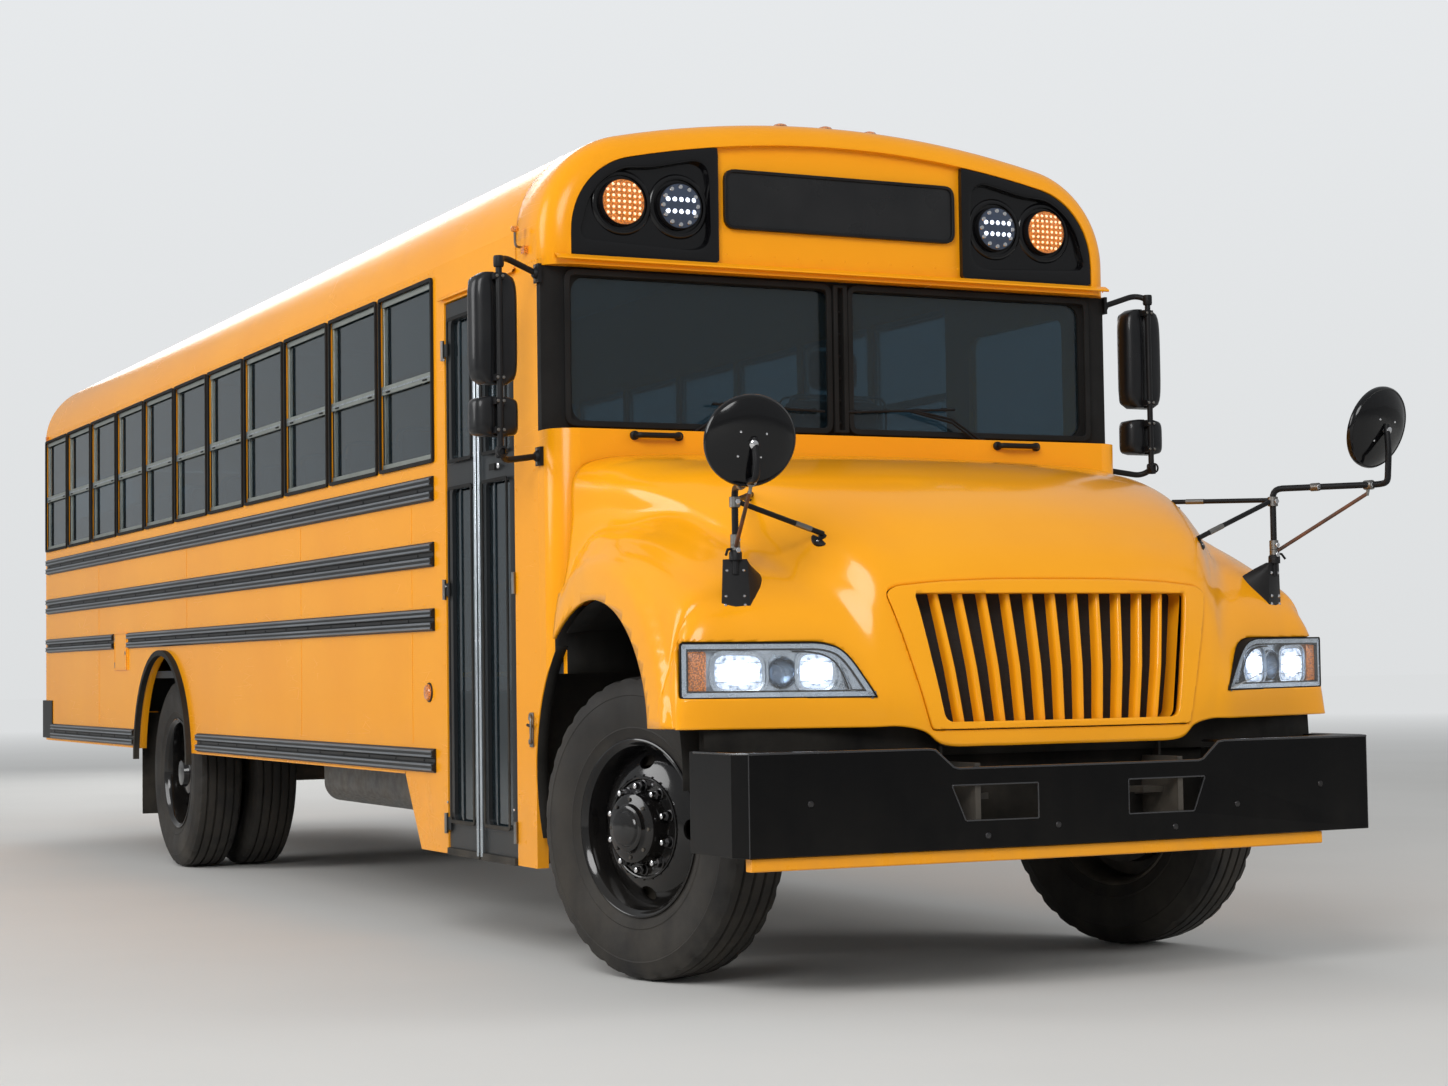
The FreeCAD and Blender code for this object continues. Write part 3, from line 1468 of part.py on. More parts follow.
def lamp_outline(side, grow):
    """Slanted, with a drooping inner end: (inward, up) in the lamp's plane."""
    low, top = 962, 1142
    return (
        (14 - grow, low - grow),
        (622 + grow, low - grow),
        (560 + grow, low + 92),
        (500 + grow * 0.5, low + 150),
        (420, top - 8 + grow),
        (14 - grow, top + grow),
    )


def lamp_solid(side, grow, front, back):
    origin, along = lamp_place(side)
    outward = V3(along.y, -along.x, 0) * (-side)
    if outward.x < 0:
        outward = outward * -1
    points = [origin + along * a + V3(0, 0, b) + outward * front for a, b in lamp_outline(side, grow)]
    face = Part.Face(Part.makePolygon(points + [points[0]]))
    return face.extrude(outward * (back - front))


# grille opening: half widths and heights of its upper and lower edge, and the rim round it
GRILLE = {"top_half": 523, "low_half": 451, "low_z": 878, "top_z": 1290}
GRILLE_RIM = 54


def grille_tilt():
    """Base of the grille plane and its backward lean in degrees."""
    lean = math.degrees(math.atan2(42, 420))
    return bumper_x.value - 112, lean


def grille_outline(grow):
    top_half, low_half = GRILLE["top_half"] + grow, GRILLE["low_half"] + grow
    low, top = GRILLE["low_z"] - grow * 0.5, GRILLE["top_z"] + grow * 0.6
    return [(-low_half, low), (low_half, low), (top_half, top), (-top_half, top)]


def hood_arm(side):
    """Plate inside the lip that turns on the chassis pin."""
    pivot = V3(hood_pivot_x.value, side * (d.rail_y.value + 6), hood_pivot_z.value)
    outward = V3(0, side, 0)
    plate = Part.makeCylinder(30, 14, pivot, outward)
    low_y = min(pivot.y, pivot.y + side * 14)
    reach = bumper_x.value - 108 - pivot.x
    plate = plate.fuse(Part.makeBox(reach, 14, 36, V3(pivot.x, low_y, pivot.z - 25)))
    bore = Part.makeCylinder(d.hood_pin_radius.value + d.running_gap.value, 20, pivot - outward * 2, outward)
    return plate.cut(bore)


def hood():
    shell = hood_solid(0).cut(hood_solid(d.hood_sheet.value))
    low = d.hood_bottom_z.value
    cutters = []
    for side in (-1, 1):
        # below the fenders' edge only the middle lip stays
        foot = [V3(0, side * y, z) for y, z in ((570, low), (500, 780), (1500, 780), (1500, low))]
        face = Part.Face(Part.makePolygon(foot + [foot[0]]))
        face.translate(V3(axle_x.value - 600, 0, 0))
        cutters.append(face.extrude(V3(2200, 0, 0)))
        cutters.append(Part.makeCylinder(
            d.arch_radius.value, 500, V3(arch_x.value, side * 950, d.arch_z.value), V3(0, side, 0)))
        cutters.append(lamp_solid(side, 3, 20, -60))
    base_x, lean = grille_tilt()
    seat = [V3(0, y, z) for y, z in grille_outline(GRILLE_RIM + d.running_gap.value)]
    hole = Part.Face(Part.makePolygon(seat + [seat[0]])).extrude(V3(120, 0, 0))
    hole.translate(V3(base_x - 70, 0, 0))
    hole.rotate(V3(base_x, 0, GRILLE["low_z"]), V3(0, 1, 0), -lean)
    cutters.append(hole)
    # the rear edge is open towards the cowl
    cutters.append(Part.makeBox(60, 2600, 1400, V3(hood_x.value - 58, -1300, 700)))
    for tool in cutters:
        shell = shell.cut(tool)
    for side in (-1, 1):
        shell = shell.fuse(hood_arm(side))
    keep("hood", feature(shell.removeSplitter()))


def grille():
    """Trapezoid frame with upright bars that fan with it."""
    base_x, lean = grille_tilt()
    body = new_body("grille")
    front, back, edge = 4, -22, 8
    low_z, height = GRILLE["low_z"], GRILLE["top_z"] - GRILLE["low_z"]
    pad(body, "YZ", [[(y, z - low_z) for y, z in grille_outline(GRILLE_RIM)]], back, front)
    count = int(d.grille_bars.value) + 1
    bar = d.grille_bar.value / 2
    slots = []
    for slot in range(count):
        left, right = 2.0 * slot / count - 1, 2.0 * (slot + 1) / count - 1
        slots.append([
            (GRILLE["low_half"] * left + bar, edge),
            (GRILLE["low_half"] * right - bar, edge),
            (GRILLE["top_half"] * right - bar, height - edge),
            (GRILLE["top_half"] * left + bar, height - edge),
        ])
    pocket(body, "YZ", slots, back - 1, front + 1)
    keep("grille", body)
    body.Placement = FreeCAD.Placement(V3(base_x, 0, low_z), FreeCAD.Rotation(V3(0, 1, 0), -lean))


def headlamps():
    keep("headlamps", group([feature(lamp_solid(side, 0, 6, -40)) for side in (-1, 1)]))


def skin_plane(solid, x, y, reach):
    """Height and slopes of the plane that rests on the solid round (x, y)."""

    def height(px, py):
        line = Part.makeLine(V3(px, py, 3000), V3(px, py, hood_pivot_z.value))
        return solid.common(line).BoundBox.ZMax

    corners = [(x + i * reach, y + j * reach) for i in (-1, 1) for j in (-1, 1)]
    levels = [height(*corner) for corner in corners]
    slope_x = (levels[2] + levels[3] - levels[0] - levels[1]) / (4 * reach)
    slope_y = (levels[1] + levels[3] - levels[0] - levels[2]) / (4 * reach)
    base = max(
        level - slope_x * (px - x) - slope_y * (py - y) for level, (px, py) in zip(levels, corners)
    )
    return max(base, height(x, y)) + d.running_gap.value, slope_x, slope_y


def wedge_foot(solid, x, y, reach, top):
    """Square foot with a flat top whose underside follows the solid's skin."""
    level, slope_x, slope_y = skin_plane(solid, x, y, reach)
    corners = [(i * reach, j * reach) for i, j in ((-1, -1), (1, -1), (1, 1), (-1, 1))]
    low = [V3(x + a, y + b, level + slope_x * a + slope_y * b) for a, b in corners]
    high = [V3(x + a, y + b, top) for a, b in corners]
    wires = [Part.makePolygon(ring + [ring[0]]) for ring in (low, high)]
    return Part.makeLoft(wires, True, True)


def crossview_mirrors():
    """On each fender a round dish ahead of a pole, on a bent arm, with a brace to the hood."""
    parts = []
    tube = d.mirror_tube.value
    skin = hood_solid(0)
    # each dish is set by hand: the arm's height, then the dish's distance from the middle and height
    for side, arm_z, head_out, head_z in ((-1, 1635, half.value - 65, 1758), (1, 1670, half.value + 79, 1868)):
        foot_x, foot_y = axle_x.value + 790, side * (half.value - 154)
        head_x, head_y = bumper_x.value - 66, side * head_out
        arm = wedge_foot(skin, foot_x, foot_y, 36, 1400)
        brace_x, brace_y = axle_x.value + 770, side * (half.value - 480)
        level, slope_x, slope_y = skin_plane(skin, brace_x, brace_y, 36)
        normal = V3(-slope_x, -slope_y, 1).normalize()
        disc = V3(brace_x, brace_y, level + 3)
        arm = arm.fuse(bent_tube(
            ((foot_x, foot_y, 1380), (foot_x, foot_y, arm_z), (head_x, head_y, arm_z),
             (head_x, head_y, head_z - 30)), tube, 60))
        arm = arm.fuse(rod((foot_x, foot_y, 1440), (head_x - 60, head_y - side * 12, arm_z - 6), tube - 3))
        arm = arm.fuse(rod((foot_x, foot_y, arm_z - 40), tuple(disc + normal * 14), tube - 3))
        arm = arm.fuse(Part.makeCylinder(36, 16, disc, normal))
        dish_axis = V3(0.92, side * 0.2, -0.3).normalize()
        centre = V3(head_x, head_y, head_z)
        bowl = Part.makeCone(146, 60, 36, centre + dish_axis * 8, dish_axis)
        back = Part.makeCone(146, 60, 60, centre - dish_axis * 8, dish_axis * -1)
        band = Part.makeCylinder(146, 16, centre - dish_axis * 8, dish_axis)
        parts.append(feature(arm.fuse([bowl, back, band])))
    keep("crossview_mirrors", group(parts))


# ---------------------------------------------------------------- doors, cabin and fittings


def entry_leaf(node, x0, x1, hinge_x):
    """One door leaf: an upper and a lower pane in a flat frame, with straps to its hinge."""
    low, top = d.door_bottom_z + 8, d.door_top_z - d.door_gap
    outer = -half + 6
    stile = 56
    openings = [
        rounded(x0 + stile, 480, x1 - stile, 1780, 26),
        rounded(x0 + stile, 1893, x1 - stile, 2449, 26),
    ]
    body = new_body(node)
    pad(body, "XZ", [rectangle(x0, low, x1, top)], outer, outer + d.door_leaf)
    pocket(body, "XZ", openings, outer - 1, outer + d.door_leaf + 1)
    toward = 1 if hinge_x.value < x0.value else -1
    straps = []
    for z in entry_hinge_levels(15):
        near = hinge_x + toward * ENTRY_STRAP_START
        straps.append(box(ordered(near, hinge_x + toward * 40), (entry_hinge_y + 4, outer + 4), (z, z + 50)))
    keep(node, fuse([body] + straps))
    panes = []
    for opening in openings:
        pane = new_body("pane")
        pad(pane, "XZ", [opening], outer + 14, outer + 14 + d.glass)
        panes.append(pane)
    keep(node + "_glass", group(panes))


def entry_doors():
    middle = (door_front_x + door_rear_x) / 2
    gap = d.door_gap
    entry_leaf("entry_door_front", middle + gap, door_front_x - gap, door_front_x)
    entry_leaf("entry_door_rear", door_rear_x + gap, middle - gap, door_rear_x)


def dashboard():
    x1 = cowl_x - d.wall
    body = new_body("dash")
    pad(body, "XZ", [[
        (x1 - 430, 1560),
        (x1, 1480),
        (x1, 1880),
        (x1 - 200, 1880),
        (x1 - 420, 1790),
    ]], -300, inner)
    hump = box((x1 - 520, x1 - 380), (250, 850), (1640, 1850))
    centre, axis = steering_place()
    column = feature(rod(tuple(centre - axis * 275), tuple(centre + axis * (2 - d.running_gap.value)), 34))
    keep("dashboard", fuse([body, hump, column]))


def steering_place():
    """Centre of the steering wheel's hub face and the axis it turns on."""
    lean = math.radians(d.wheel_lean.value)
    return V3(cowl_x.value - 620, 550, 1815), V3(-math.cos(lean), 0, math.sin(lean))


def steering_wheel():
    """Eight-sided rim, three spokes and a hub."""
    centre, axis = steering_place()
    place = FreeCAD.Placement(centre, FreeCAD.Rotation(V3(0, 0, 1), axis))
    section = [
        V3(215 + 15 * math.cos(math.radians(angle)), 0, 40 + 15 * math.sin(math.radians(angle)))
        for angle in range(0, 360, 45)
    ]
    ring = Part.Face(Part.makePolygon(section + [section[0]])).revolve(V3(0, 0, 0), V3(0, 0, 1), 360)
    solid = ring.fuse(Part.makeCylinder(45, 40, V3(0, 0, 2)))
    for angle in (90, 210, 330):
        spoke = Part.makeBox(200, 26, 12, V3(10, -13, 28))
        spoke.rotate(V3(0, 0, 0), V3(0, 0, 1), angle)
        solid = solid.fuse(spoke)
    solid.Placement = place
    keep("steering_wheel", feature(solid))


def driver_seat():
    """The seat is a node of its own; its pedestal is returned for the seat frames."""
    x, z = cowl_x - 1130, d.floor_z
    cushion = box((x, x + 470), (310, 790), (z + 420, z + 540))
    back = box((x - 110, x), (320, 780), (z + 480, z + 1130))
    head = box((x - 100, x - 20), (430, 670), (z + 1130, z + 1330))
    keep("driver_seat", fuse([cushion, back, head]))
    stand = box((x + 60, x + 400), (400, 700), (z, z + 60))
    post = box((x + 130, x + 330), (460, 640), (z + 60, z + 420))
    return fuse([stand, post])


def seat_rows():
    """Left and right bench seats, one row behind another, on their legs."""
    z = d.floor_z
    cushions, frames = [], []
    for side in (-1, 1):
        across = span(side, 170, seat_y)
        for row in range(int(d.seat_rows.value)):
            x = door_rear_x - 750 - d.seat_pitch * row
            cushions.append(box((x, x + 400), across, (z + 330, z + 450)))
            cushions.append(box((x - 90, x - d.running_gap), across, (z + 400, z + 1020)))
            frames.append(box((x - 60, x + 360), span(side, 185, 215), (z, z + 330)))
    keep("passenger_seats", group(cushions))
    keep("seat_frames", group(frames + [driver_seat()]))


def entry_rails():
    """Grab rails beside the steps: up from the lowest tread, inward and down to the floor."""
    parts = []
    y, z = step_y.value + 60, d.door_bottom_z.value + 28
    inside_y = well_y.value + 45
    for x in (door_rear_x.value + 70, door_front_x.value - 70):
        points = ((x, y, z), (x, y, 1350), (x, inside_y, 1700), (x, inside_y, d.floor_z.value))
        parts.append(feature(bent_tube(points, 15, 90)))
    keep("entry_rails", group(parts))


# Rear-view mirror arm on one side: points (X from the cowl face, Y outside the wall, Z).
SIDE_MIRROR_ARM = (
    (-128, 12, 2500),
    (-90, 181, 2545),
    (-70, 181, 1835),
    (-128, 12, 1835),
)


def side_mirrors():
    """Bent arm with two feet on the pillar, a tall mirror and a small one below it."""
    parts = []
    for side in (-1, 1):
        points = [(cowl_x.value + x, side * (half.value + y), z) for x, y, z in SIDE_MIRROR_ARM]
        solid = bent_tube(points, d.mirror_tube.value, 90)
        for x, _, z in (points[0], points[-1]):
            low_y = min(side * half.value, side * (half.value + 24))
            solid = solid.fuse(Part.makeBox(44, 24, 60, V3(x - 22, low_y, z - 30)))
        x, y = points[2][0], points[2][1]
        for low, height in ((2090, 400), (1910, 130)):
            solid = solid.fuse(Part.makeBox(80, 180, height, V3(x - 86, y - 90, low)))
        parts.append(feature(solid))
    keep("side_mirrors", group(parts))


def wipers():
    """Two pivots on the ledge under the windshield, with their arms lying inward."""
    parts = []
    x, ledge = windshield_x.value, d.cowl_top_z.value
    for y, toward in ((-650, 1), (624, -1)):
        pivot = Part.makeCylinder(14, 50, V3(x + 20, y, ledge), V3(0, 0, 1))
        arm = Part.makeBox(14, 430, 12, V3(x + 6, min(y, y + toward * 430), ledge + 36))
        parts.append(feature(pivot.fuse(arm)))
    keep("wipers", group(parts))


def tail_lamps():
    """Round lamps in the rear wall: distance from the middle, height and radius."""
    parts = []
    outer, inside = half - 289, half - 559
    for y, z, radius in ((half - 319, 2760, 88), (inside, 2760, 88), (outer, 1500, 88), (outer, 1250, 88)):
        for side in (-1, 1):
            parts.append(cylinder("X", radius, rear_x - 22, side * y, z, 22))
    return parts


def body_lamps():
    keep("body_lamps", group(cap_lamps() + marker_lamps() + tail_lamps()))


def stop_arm():
    """The folded sign.  Its bracket is returned for the fittings of the body."""
    hinge_x, axis_y = stop_arm_x, stop_arm_y
    z, reach, blade = 1660, 225, 12
    corner = reach * math.tan(math.radians(22.5))
    centre = hinge_x - 40 - reach
    points = []
    for a, b in ((reach, -corner), (reach, corner), (corner, reach), (-corner, reach),
                 (-reach, corner), (-reach, -corner), (-corner, -reach), (corner, -reach)):
        points.append((centre + a, z + b))
    across = (axis_y - blade / 2, axis_y + blade / 2)
    body = new_body("stop_arm")
    pad(body, "XZ", [points], *across)
    barrel = 8
    arm = box((hinge_x - 60, hinge_x - barrel - d.running_gap), across, (z - 90, z + 90))
    keep("stop_arm", fuse([body, arm]))
    parts = [
        box((hinge_x + 12, hinge_x + 60), (half, axis_y + 10), (z - 110, z + 110)),
        cylinder("Z", barrel, hinge_x, axis_y, z - 110, 220),
    ]
    for low in (z - 110, z + 95):
        parts.append(box((hinge_x, hinge_x + 13), (axis_y - 8, axis_y + 8), (low, low + 15)))
    return fuse(parts)


def hinge_barrels():
    """Barrels of the rear door and of both entry doors, on the outside of the posts."""
    out = HINGE_OUT - d.running_gap
    barrels = [
        cylinder("Z", out, rear_x - HINGE_OUT, -d.rear_door_width / 2, z, 110) for z in rear_hinge_levels(0)
    ]
    for x in (door_front_x, door_rear_x):
        for z in entry_hinge_levels(0):
            barrels.append(cylinder("Z", ENTRY_HINGE_OUT - d.running_gap, x, entry_hinge_y, z, 80))
    return barrels


def body_fittings():
    """Hinge barrels and the stop arm's bracket: what the moving pieces hang on."""
    keep("body_fittings", group(hinge_barrels() + [stop_arm()]))


BUILDERS = (
    chassis_frame, front_bumper, rear_bumper, leaf_springs, front_axle_beam, tie_rod, rear_axle,
    drive_shaft, engine, radiator, fuel_tank, exhaust, floor, entry_steps, roof, rear_wall,
    rear_door, rear_door_glass, front_cap, cap_panels, cowl, window_glass, rub_rails, wheel_guards,
    hood, grille, headlamps, crossview_mirrors, entry_doors, dashboard, steering_wheel, seat_rows,
    entry_rails, side_mirrors, wipers, body_lamps, hatch_frames, body_fittings,
)
for builder in BUILDERS:
    builder()
for side, name in ((-1, "right"), (1, "left")):
    side_wall(name + "_wall", side)
    knuckle(name + "_knuckle", side)
    front_tyre("front_%s_tyre" % name, side)
    front_wheel("front_%s_wheel" % name, side)
    rear_tyres("rear_%s_tyres" % name, side)
    rear_wheels("rear_%s_wheels" % name, side)
roof_hatch("roof_hatch_front", HATCH_BACKS[0])
roof_hatch("roof_hatch_rear", HATCH_BACKS[1])

# ---------------------------------------------------------------- check and write

doc.recompute()
faults = [obj.Name for obj in doc.Objects if "Invalid" in obj.State or "Error" in obj.State]
for node, obj in nodes.items():
    shape = obj.Shape
    if shape.isNull() or not shape.isValid() or not shape.Solids:
        faults.append(node)
if faults:
    raise RuntimeError("these objects failed: %s" % sorted(set(faults)))
os.makedirs("parts", exist_ok=True)
for node, obj in nodes.items():
    obj.Shape.exportStep("parts/%s.step" % node)
print("%d nodes written" % len(nodes))
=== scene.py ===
"""A school bus: finishes, detailed pieces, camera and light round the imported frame."""
import json
from math import acos, atan2, copysign, cos, exp, hypot, pi, radians, sin, sqrt

import bmesh
import bpy
import numpy as np
from mathutils import Matrix, Vector


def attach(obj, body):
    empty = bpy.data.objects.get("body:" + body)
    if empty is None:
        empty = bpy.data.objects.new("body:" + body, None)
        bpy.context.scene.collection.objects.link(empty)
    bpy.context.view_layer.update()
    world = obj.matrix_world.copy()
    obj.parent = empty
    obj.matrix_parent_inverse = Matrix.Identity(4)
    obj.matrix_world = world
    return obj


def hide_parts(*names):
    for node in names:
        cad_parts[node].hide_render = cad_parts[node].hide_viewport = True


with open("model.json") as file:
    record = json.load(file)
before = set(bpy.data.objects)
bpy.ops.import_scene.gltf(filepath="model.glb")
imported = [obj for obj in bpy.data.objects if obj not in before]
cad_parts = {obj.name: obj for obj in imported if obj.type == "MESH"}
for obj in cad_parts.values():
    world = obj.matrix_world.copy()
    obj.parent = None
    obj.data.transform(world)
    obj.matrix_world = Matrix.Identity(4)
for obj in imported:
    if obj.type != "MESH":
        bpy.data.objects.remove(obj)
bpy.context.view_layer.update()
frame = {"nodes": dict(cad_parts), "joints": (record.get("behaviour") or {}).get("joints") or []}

NODES = frame["nodes"]
X, Y, Z = (Vector(row) for row in ((1, 0, 0), (0, 1, 0), (0, 0, 1)))
SIDES = ((-1, "right"), (1, "left"))

# places that several pieces share, from the frame, in metres
HALF = 1.219
CAP_X, REAR_X, REAR_AXLE_X, AXLE_Z = 3.85, -5.28, -1.914, 0.52
WINDOW_X, PITCH, POST, WINDOWS = 2.619, 0.712, 0.045, 11
SILL_Z, WINDOW_TOP, DOOR_REAR = 1.91, 2.645, 2.749
SEAT_X, SEAT_Y = 1.999, 0.66
PAINT_LINE = 3.005
HATCHES = (("roof_hatch_front", 1.29), ("roof_hatch_rear", -3.01))
JOINTS = {row["name"]: row for row in frame["joints"]}


# ---- shapes


def hex_colour(text):
    """A colour written as six digits, in the linear values that sockets take."""
    parts = [int(text[i:i + 2], 16) / 255 for i in (0, 2, 4)]
    return tuple(c / 12.92 if c <= 0.04045 else ((c + 0.055) / 1.055) ** 2.4 for c in parts) + (1.0,)


def V(x, y, z):
    return Vector((x, y, z))


def mm(text):
    """Points written in millimetres with commas between them, in metres."""
    return [tuple(float(value) / 1000 for value in point.split()) for point in text.split(",")]


def around(count):
    """Angles that share a full turn evenly."""
    return [2 * pi * k / count for k in range(count)]


def across(direction):
    """Two unit vectors square to a direction."""
    direction = Vector(direction).normalized()
    first = direction.orthogonal() if abs(direction.z) >= 0.9 else Z.cross(direction)
    first = first.normalized()
    return first, direction.cross(first).normalized()


def circle(place, axis, radius, angles):
    """Places round an axis at given angles."""
    e1, e2 = across(axis)
    return [Vector(place) + (e1 * cos(a) + e2 * sin(a)) * radius for a in angles]


def laid(outline, place, first, second, up=0.0):
    """Points of an outline in the plane of two directions, moved up along their normal."""
    out = first.cross(second).normalized()
    return [Vector(place) + first * a + second * b + out * up for a, b in outline]


def bend(before, corner, after, radius, steps):
    """The arc that takes a corner's place, reaching at most half way to its neighbours."""
    back, ahead = before - corner, after - corner
    reach = min(radius, back.length * 0.49, ahead.length * 0.49)
    if reach < 1e-6:
        return [corner]
    start, end = corner + back.normalized() * reach, corner + ahead.normalized() * reach
    return [start * (1 - t) ** 2 + corner * 2 * t * (1 - t) + end * t * t
        for t in (i / steps for i in range(steps + 1))]


def rounded_run(points, radius, steps=6):
    """A run of points with every inner corner turned into an arc."""
    points = [Vector(p) for p in points]
    out = points[:1]
    for before, corner, after in zip(points, points[1:], points[2:]):
        out += bend(before, corner, after, radius, steps)
    return out + points[-1:]


def rounded_outline(points, radius, steps=5):
    """A closed flat outline with rounded corners; radius may be one number or one a corner."""
    corners = [Vector(p) for p in points]
    radii = radius if isinstance(radius, list) else [radius] * len(corners)
    out = []
    for before, corner, after, r in zip(corners[-1:] + corners, corners, corners[1:] + corners[:1], radii):
        out += [(p.x, p.y) for p in bend(before, corner, after, r, steps)]
    return out


def rectangle(a0, b0, a1, b1, radius=0.0, steps=5):
    return rounded_outline([(a0, b0), (a1, b0), (a1, b1), (a0, b1)], radius, steps)


def inset_outline(points, distance):
    """The outline moved inwards (outlines run anticlockwise)."""
    corners = [Vector(p) for p in points]
    out = []
    for before, here, after in zip(corners[-1:] + corners, corners, corners[1:] + corners[:1]):
        d1, d2 = here - before, after - here
        if d1.length < 1e-9 or d2.length < 1e-9:
            out.append(tuple(here))
            continue
        n = Vector((-d1.y, d1.x)).normalized() + Vector((-d2.y, d2.x)).normalized()
        out.append(tuple(here + n / max(n.length_squared, 0.5) * 2 * distance))
    return out


def outline_distance(a, b, outline):
    """Signed distance of points to a closed outline, negative inside."""
    pts = np.array(outline, float)
    nxt = np.roll(pts, -1, axis=0)
    best = np.full(a.shape, 1e9)
    inside = np.zeros(a.shape, bool)
    for (ax, ay), (bx, by) in zip(pts, nxt):
        ex, ey = bx - ax, by - ay
        length = ex * ex + ey * ey + 1e-12
        t = np.clip(((a - ax) * ex + (b - ay) * ey) / length, 0, 1)
        best = np.minimum(best, np.hypot(a - ax - t * ex, b - ay - t * ey))
        crosses = ((ay > b) != (by > b)) & (a < ex * (b - ay) / (ey + 1e-12) + ax)
        inside ^= crosses
    return np.where(inside, -best, best)


class Piece:
    """Points and faces of one piece, gathered in metres before its mesh is made."""

    def __init__(self):
        self.points, self.faces, self.finish = [], [], []

    def add(self, points, faces, finish=0):
        base = len(self.points)
        self.points += [tuple(p) for p in points]
        self.faces += [tuple(base + i for i in face) for face in faces]
        self.finish += [finish] * len(faces)

    def grid(self, rows, finish=0, ring=False, loop=False):
        """A sheet over rows of points; ring joins each row's ends, loop the first row to the last."""
        count, wide = len(rows), len(rows[0])
        faces = []
        for i in range(count if loop else count - 1):
            j = (i + 1) % count
            for k in range(wide if ring else wide - 1):
                m = (k + 1) % wide
                faces.append((i * wide + k, i * wide + m, j * wide + m, j * wide + k))
        self.add([p for row in rows for p in row], faces, finish)

    def cap(self, ring, finish=0):
        self.add(ring, [tuple(range(len(ring)))], finish)

    def fan(self, ring, middle, finish=0):
        count = len(ring)
        self.add(ring + [middle], [(i, (i + 1) % count, count) for i in range(count)], finish)

    def run(self, section, axis, places, finish=0, ring=True):
        """A flat section carried straight along one axis of the frame, counted from 0."""
        self.grid([[(*ab[:axis], at, *ab[axis:]) for ab in section] for at in places], finish, ring)

    def box(self, low, high, finish=0):
        corners = [(x, y, z) for x in (low[0], high[0]) for y in (low[1], high[1]) for z in (low[2], high[2])]
        self.add(corners, [(0, 1, 3, 2), (4, 6, 7, 5), (0, 4, 5, 1), (2, 3, 7, 6), (0, 2, 6, 4), (1, 5, 7, 3)],
            finish)

    def slab(self, outline, place, first, second, depth, finish=0):
        """A flat outline thickened along its plane's normal."""
        low, high = (laid(outline, place, first, second, up) for up in (0, depth))
        self.grid([low, high], finish, ring=True)
        self.cap(low[::-1], finish)
        self.cap(high, finish)

    def band(self, outer, inner, place, first, second, depth, finish=0):
        """A flat ring between two outlines of as many points, thickened along its plane's normal."""
        self.grid([laid(outline, place, first, second, up) for outline, up in ((outer, 0), (outer, depth),
            (inner, depth), (inner, 0))], finish, ring=True, loop=True)

    def tube(self, points, radius, finish=0, sides=10, caps=True, flat=1.0):
        """A round tube along points; radius may be one number or one a point."""
        points = [Vector(p) for p in points]
        count = len(points)
        radii = radius if isinstance(radius, list) else [radius] * count
        rows = []
        side = None
        for i, p in enumerate(points):
            run = (points[min(i + 1, count - 1)] - points[max(i - 1, 0)]).normalized()
            side = side or across(run)[0]
            side = (side - run * side.dot(run)).normalized()
            over = run.cross(side)
            rows.append([p + (side * cos(a) + over * sin(a) * flat) * radii[i] for a in around(sides)])
        self.grid(rows, finish, ring=True)
        if caps:
            self.cap(rows[0][::-1], finish)
            self.cap(rows[-1], finish)

    def turned(self, profile, place, axis, finish=0, segments=32, change=None):
        """Profile of (radius, reach along the axis), turned round the axis."""
        axis = Vector(axis).normalized()
        e1, e2 = across(axis)
        rows = []
        for i, at in enumerate(profile):
            row = []
            for k, angle in enumerate(around(segments)):
                r, h = change(i, k, *at) if change else at
                row.append(Vector(place) + axis * h + (e1 * cos(angle) + e2 * sin(angle)) * max(r, 1e-5))
            rows.append(row)
        self.grid(rows, finish, ring=True)

    def rivet(self, place, out, radius=0.006, height=0.0025, finish=0, sides=6):
        self.turned([(radius, 0), (radius * 0.55, height)], place, out, finish, sides)
        self.cap(self.points[-sides:], finish)

    def hexagon(self, place, out, radius, height, finish=0):
        self.turned([(radius, 0), (radius, height * 0.85), (radius * 0.85, height), (0, height)], place, out,
            finish, 6)

    def make(self, name, body, finishes, slot, replaces=(), bevel=0.0, sharp=35, thick=0.0, weld=1e-5):
        """Turns the gathered points into a mesh object that rides on a body."""
        mesh = bpy.data.meshes.new(name)
        mesh.from_pydata(self.points, [], self.faces)
        for finish in finishes.split():
            mesh.materials.append(F[finish])
        mesh.polygons.foreach_set("material_index", self.finish)
        bm = bmesh.new()
        bm.from_mesh(mesh)
        bmesh.ops.remove_doubles(bm, verts=bm.verts, dist=weld)
        bmesh.ops.dissolve_degenerate(bm, dist=weld, edges=bm.edges)
        if not thick:
            bmesh.ops.recalc_face_normals(bm, faces=bm.faces)
        for edge in bm.edges:
            edge.smooth = edge.calc_face_angle(0) < radians(sharp)
        for face in bm.faces:
            face.smooth = True
        bm.to_mesh(mesh)
        bm.free()
        obj = linked(name, mesh)
        if thick:
            solid = obj.modifiers.new("sheet", "SOLIDIFY")
            solid.thickness, solid.offset = thick, -1
        if bevel:
            round_off(obj, bevel)
        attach(obj, body)
        if replaces:
            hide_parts(*replaces)
        return obj


def on_right(side, *names):
    """Nodes that a pair's right piece stands for; the left one adds none."""
    return names if side < 0 else ()


def linked(name, data):
    """A new object in the scene."""
    obj = bpy.data.objects.new(name, data)
    bpy.context.scene.collection.objects.link(obj)
    return obj


def round_off(obj, width, angle=40):
    edge = obj.modifiers.new("edges", "BEVEL")
    edge.width, edge.segments, edge.limit_method = width, 2, "ANGLE"
    edge.angle_limit = radians(angle)


